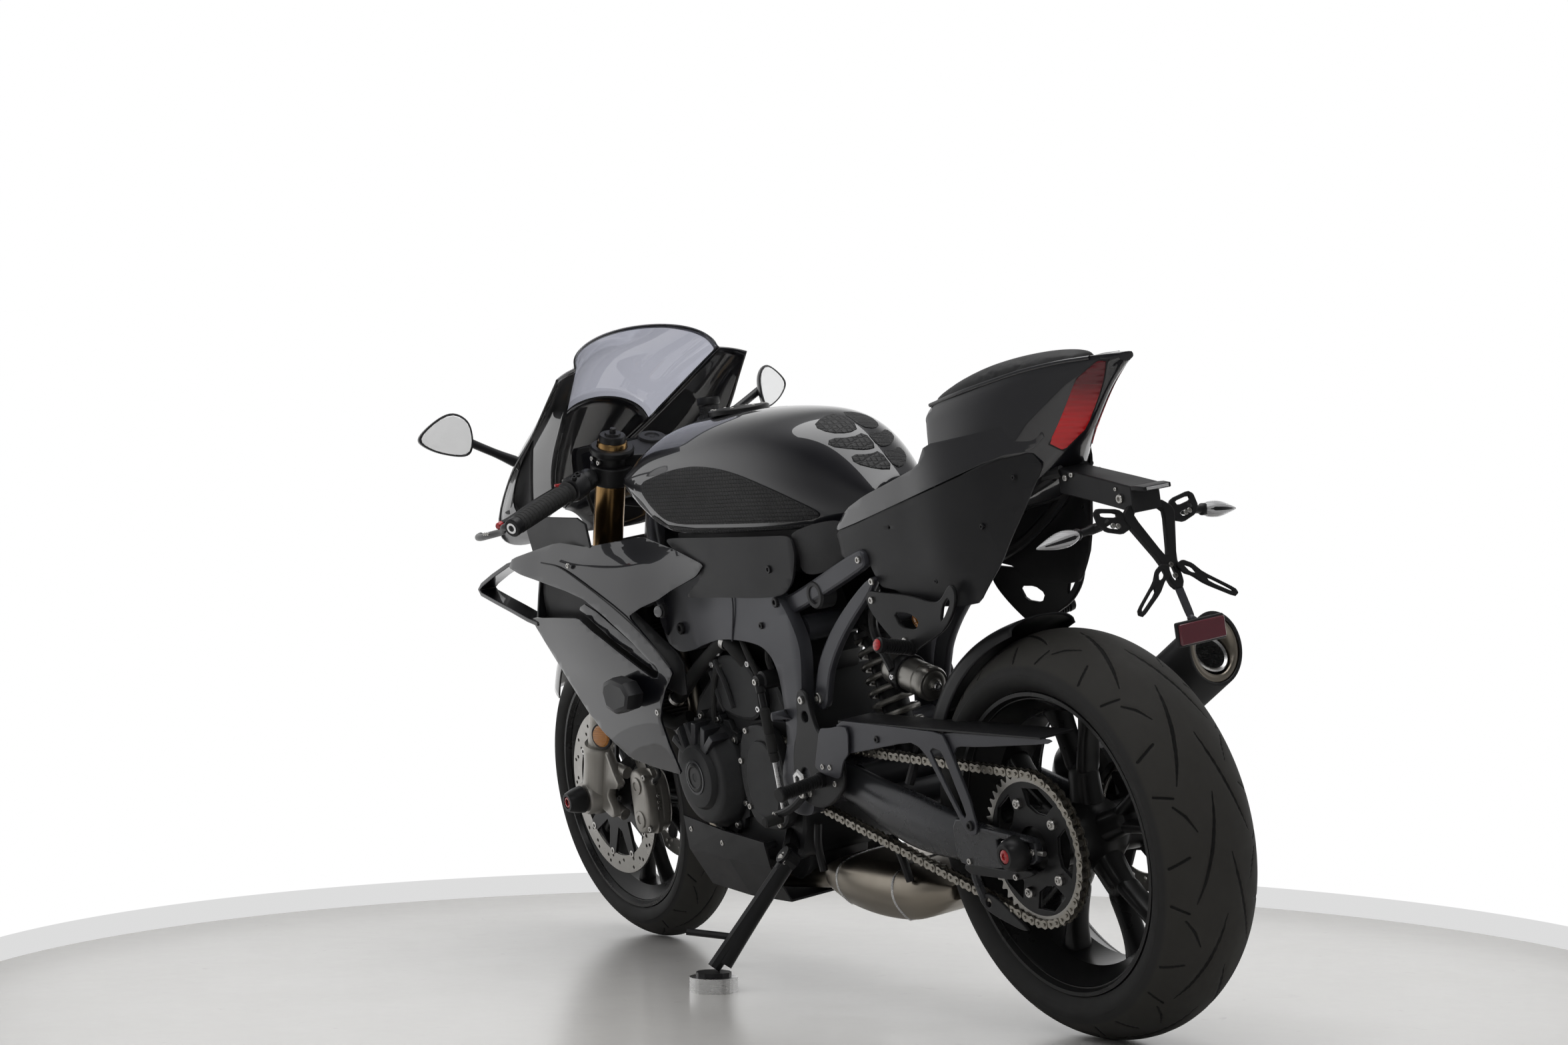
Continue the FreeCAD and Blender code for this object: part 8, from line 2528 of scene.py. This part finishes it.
def studioFinish(name, colour, rough, glow):
    finish = bpy.data.materials.new(name)
    finish.use_nodes = True
    tree = finish.node_tree
    shader = tree.nodes["Principled BSDF"]
    shader.inputs["Base Color"].default_value = (*colour, 1)
    shader.inputs["Roughness"].default_value = rough
    if rough < 0.5:
        place = addNode(tree, "TexCoord").outputs["Object"]
        scuffs = addNode(tree, "TexNoise", {"Vector": place, "Scale": 5.0, "Detail": 9.0, "Roughness": 0.7})
        level = addNode(
            tree, "MapRange",
            {"Value": scuffs.outputs["Fac"], "From Min": 0.35, "From Max": 0.7, "To Min": rough,
             "To Max": rough + 0.05})
        tree.links.new(level.outputs["Result"], shader.inputs["Roughness"])
        marks = addNode(tree, "TexNoise", {"Vector": place, "Scale": 14.0, "Detail": 6.0, "Distortion": 1.5})
        dark = addNode(
            tree, "MapRange",
            {"Value": marks.outputs["Fac"], "From Min": 0.68, "From Max": 0.76, "To Min": 0.0,
             "To Max": 0.22})
        tinted = addNode(
            tree, "Mix",
            {"Factor": dark.outputs["Result"], "A": (*colour, 1),
             "B": (*[value * 0.55 for value in colour], 1)},
            data_type="RGBA")
        tree.links.new(tinted.outputs["Result"], shader.inputs["Base Color"])
    if glow:
        place = addNode(tree, "TexCoord").outputs["Object"]
        level = roomLevel(tree, place, studioCentre(), (1.0, 2.4), (-0.9, 0.7))
        path = addNode(tree, "LightPath")
        direct = calc(tree, "MAXIMUM", path.outputs["Is Camera Ray"], path.outputs["Is Transmission Ray"])
        strength = calc(tree, "MULTIPLY", calc(tree, "MAXIMUM", direct, level), glow)
        bright = addNode(tree, "Emission", {"Color": (1, 1, 1, 1), "Strength": strength})
        seen = calc(tree, "MAXIMUM", direct, path.outputs["Is Glossy Ray"])
        mixed = addNode(tree, "MixShader", {0: seen, 1: shader.outputs[0], 2: bright.outputs[0]})
        outside = calc(
            tree, "MULTIPLY", path.outputs["Is Camera Ray"],
            addNode(tree, "NewGeometry").outputs["Backfacing"])
        clear = addNode(tree, "BsdfTransparent")
        shown = addNode(tree, "MixShader", {0: outside, 1: mixed.outputs[0], 2: clear.outputs[0]})
        tree.links.new(shown.outputs[0], tree.nodes["Material Output"].inputs["Surface"])
    return finish


def makeFloor():
    centre = studioCentre()
    ahead, aside = floorWays()
    sweep = [math.radians(-100 + 200 * k / 80) for k in range(81)]
    edge = [centre + (ahead * math.cos(turn) + aside * math.sin(turn)) * studio["radius"] for turn in sweep]
    edge = [edge[0] - ahead * studio["reach"]] + edge + [edge[-1] - ahead * studio["reach"]]
    count = len(edge)
    studioMesh(
        "studioFloor", edge, [tuple(range(count))],
        studioFinish("paleFloor", studio["floorColour"], 0.22, 0.0))
    low = [p.copy() for p in edge]
    middle = [p + Vector((0, 0, studio["stripHeight"])) for p in edge]
    top = [p + Vector((0, 0, studio["wallHeight"])) for p in edge]
    faces = [(k, k + 1, count + k + 1, count + k) for k in range(count - 1)]
    studioMesh("wallStrip", low + middle, faces, studioFinish("paleStrip", studio["stripColour"], 0.5, 0.72))
    studioMesh("studioWall", middle + top, faces, studioFinish("whiteWall", studio["wallColour"], 0.9, 1.0))


def makeWorld():
    world = bpy.data.worlds.new("studioWorld")
    bpy.context.scene.world = world
    world.use_nodes = True
    tree = world.node_tree
    lit = tree.nodes["Background"]
    lit.inputs["Color"].default_value = (1, 1, 1, 1)
    lit.inputs["Strength"].default_value = 0.55
    way = addNode(tree, "TexCoord").outputs["Generated"]
    level = roomLevel(tree, way, (0, 0, 0), (0.30, 0.75), (-0.15, 0.5))
    path = addNode(tree, "LightPath")
    direct = calc(tree, "MAXIMUM", path.outputs["Is Camera Ray"], path.outputs["Is Transmission Ray"])
    shown = addNode(
        tree, "Background", {"Color": (1, 1, 1, 1), "Strength": calc(tree, "MAXIMUM", direct, level)})
    seen = calc(tree, "MAXIMUM", direct, path.outputs["Is Glossy Ray"])
    mixed = addNode(tree, "MixShader", {0: seen, 1: lit.outputs[0], 2: shown.outputs[0]})
    tree.links.new(mixed.outputs[0], tree.nodes["World Output"].inputs["Surface"])


lamps = [
    {"name": "overhead", "at": (0.0, 0.0, 3.4), "size": (3.4, 2.4), "power": 60},
    {"name": "leftWall", "at": (-1.3, 2.3, 2.5), "size": (2.6, 0.5), "power": 16},
]


def makeLamps():
    for lamp in lamps:
        light = bpy.data.lights.new(lamp["name"], "AREA")
        light.shape = "RECTANGLE"
        light.size, light.size_y = lamp["size"]
        light.energy = lamp["power"]
        holder = bpy.data.objects.new(lamp["name"], light)
        bpy.context.scene.collection.objects.link(holder)
        holder.location = lamp["at"]
        aim = Vector((0, -0.1, 0.5)) - Vector(lamp["at"])
        holder.rotation_euler = aim.to_track_quat("-Z", "Y").to_euler()


def makeCamera():
    view = bpy.data.cameras.new("photoView")
    view.lens = cameraShape["lens"]
    view.sensor_width = 36
    view.sensor_fit = "HORIZONTAL"
    view.shift_x, view.shift_y = cameraShape["shift"]
    camera = bpy.data.objects.new("photoView", view)
    bpy.context.scene.collection.objects.link(camera)
    camera.location = rearAxle + Vector(cameraShape["offset"])
    camera.rotation_euler = cameraWay().to_track_quat("-Z", "Y").to_euler()
    bpy.context.scene.camera = camera


makeFloor()
makeWorld()
makeLamps()
makeCamera()
bpy.context.scene.view_settings.view_transform = "Standard"
print("studio made")
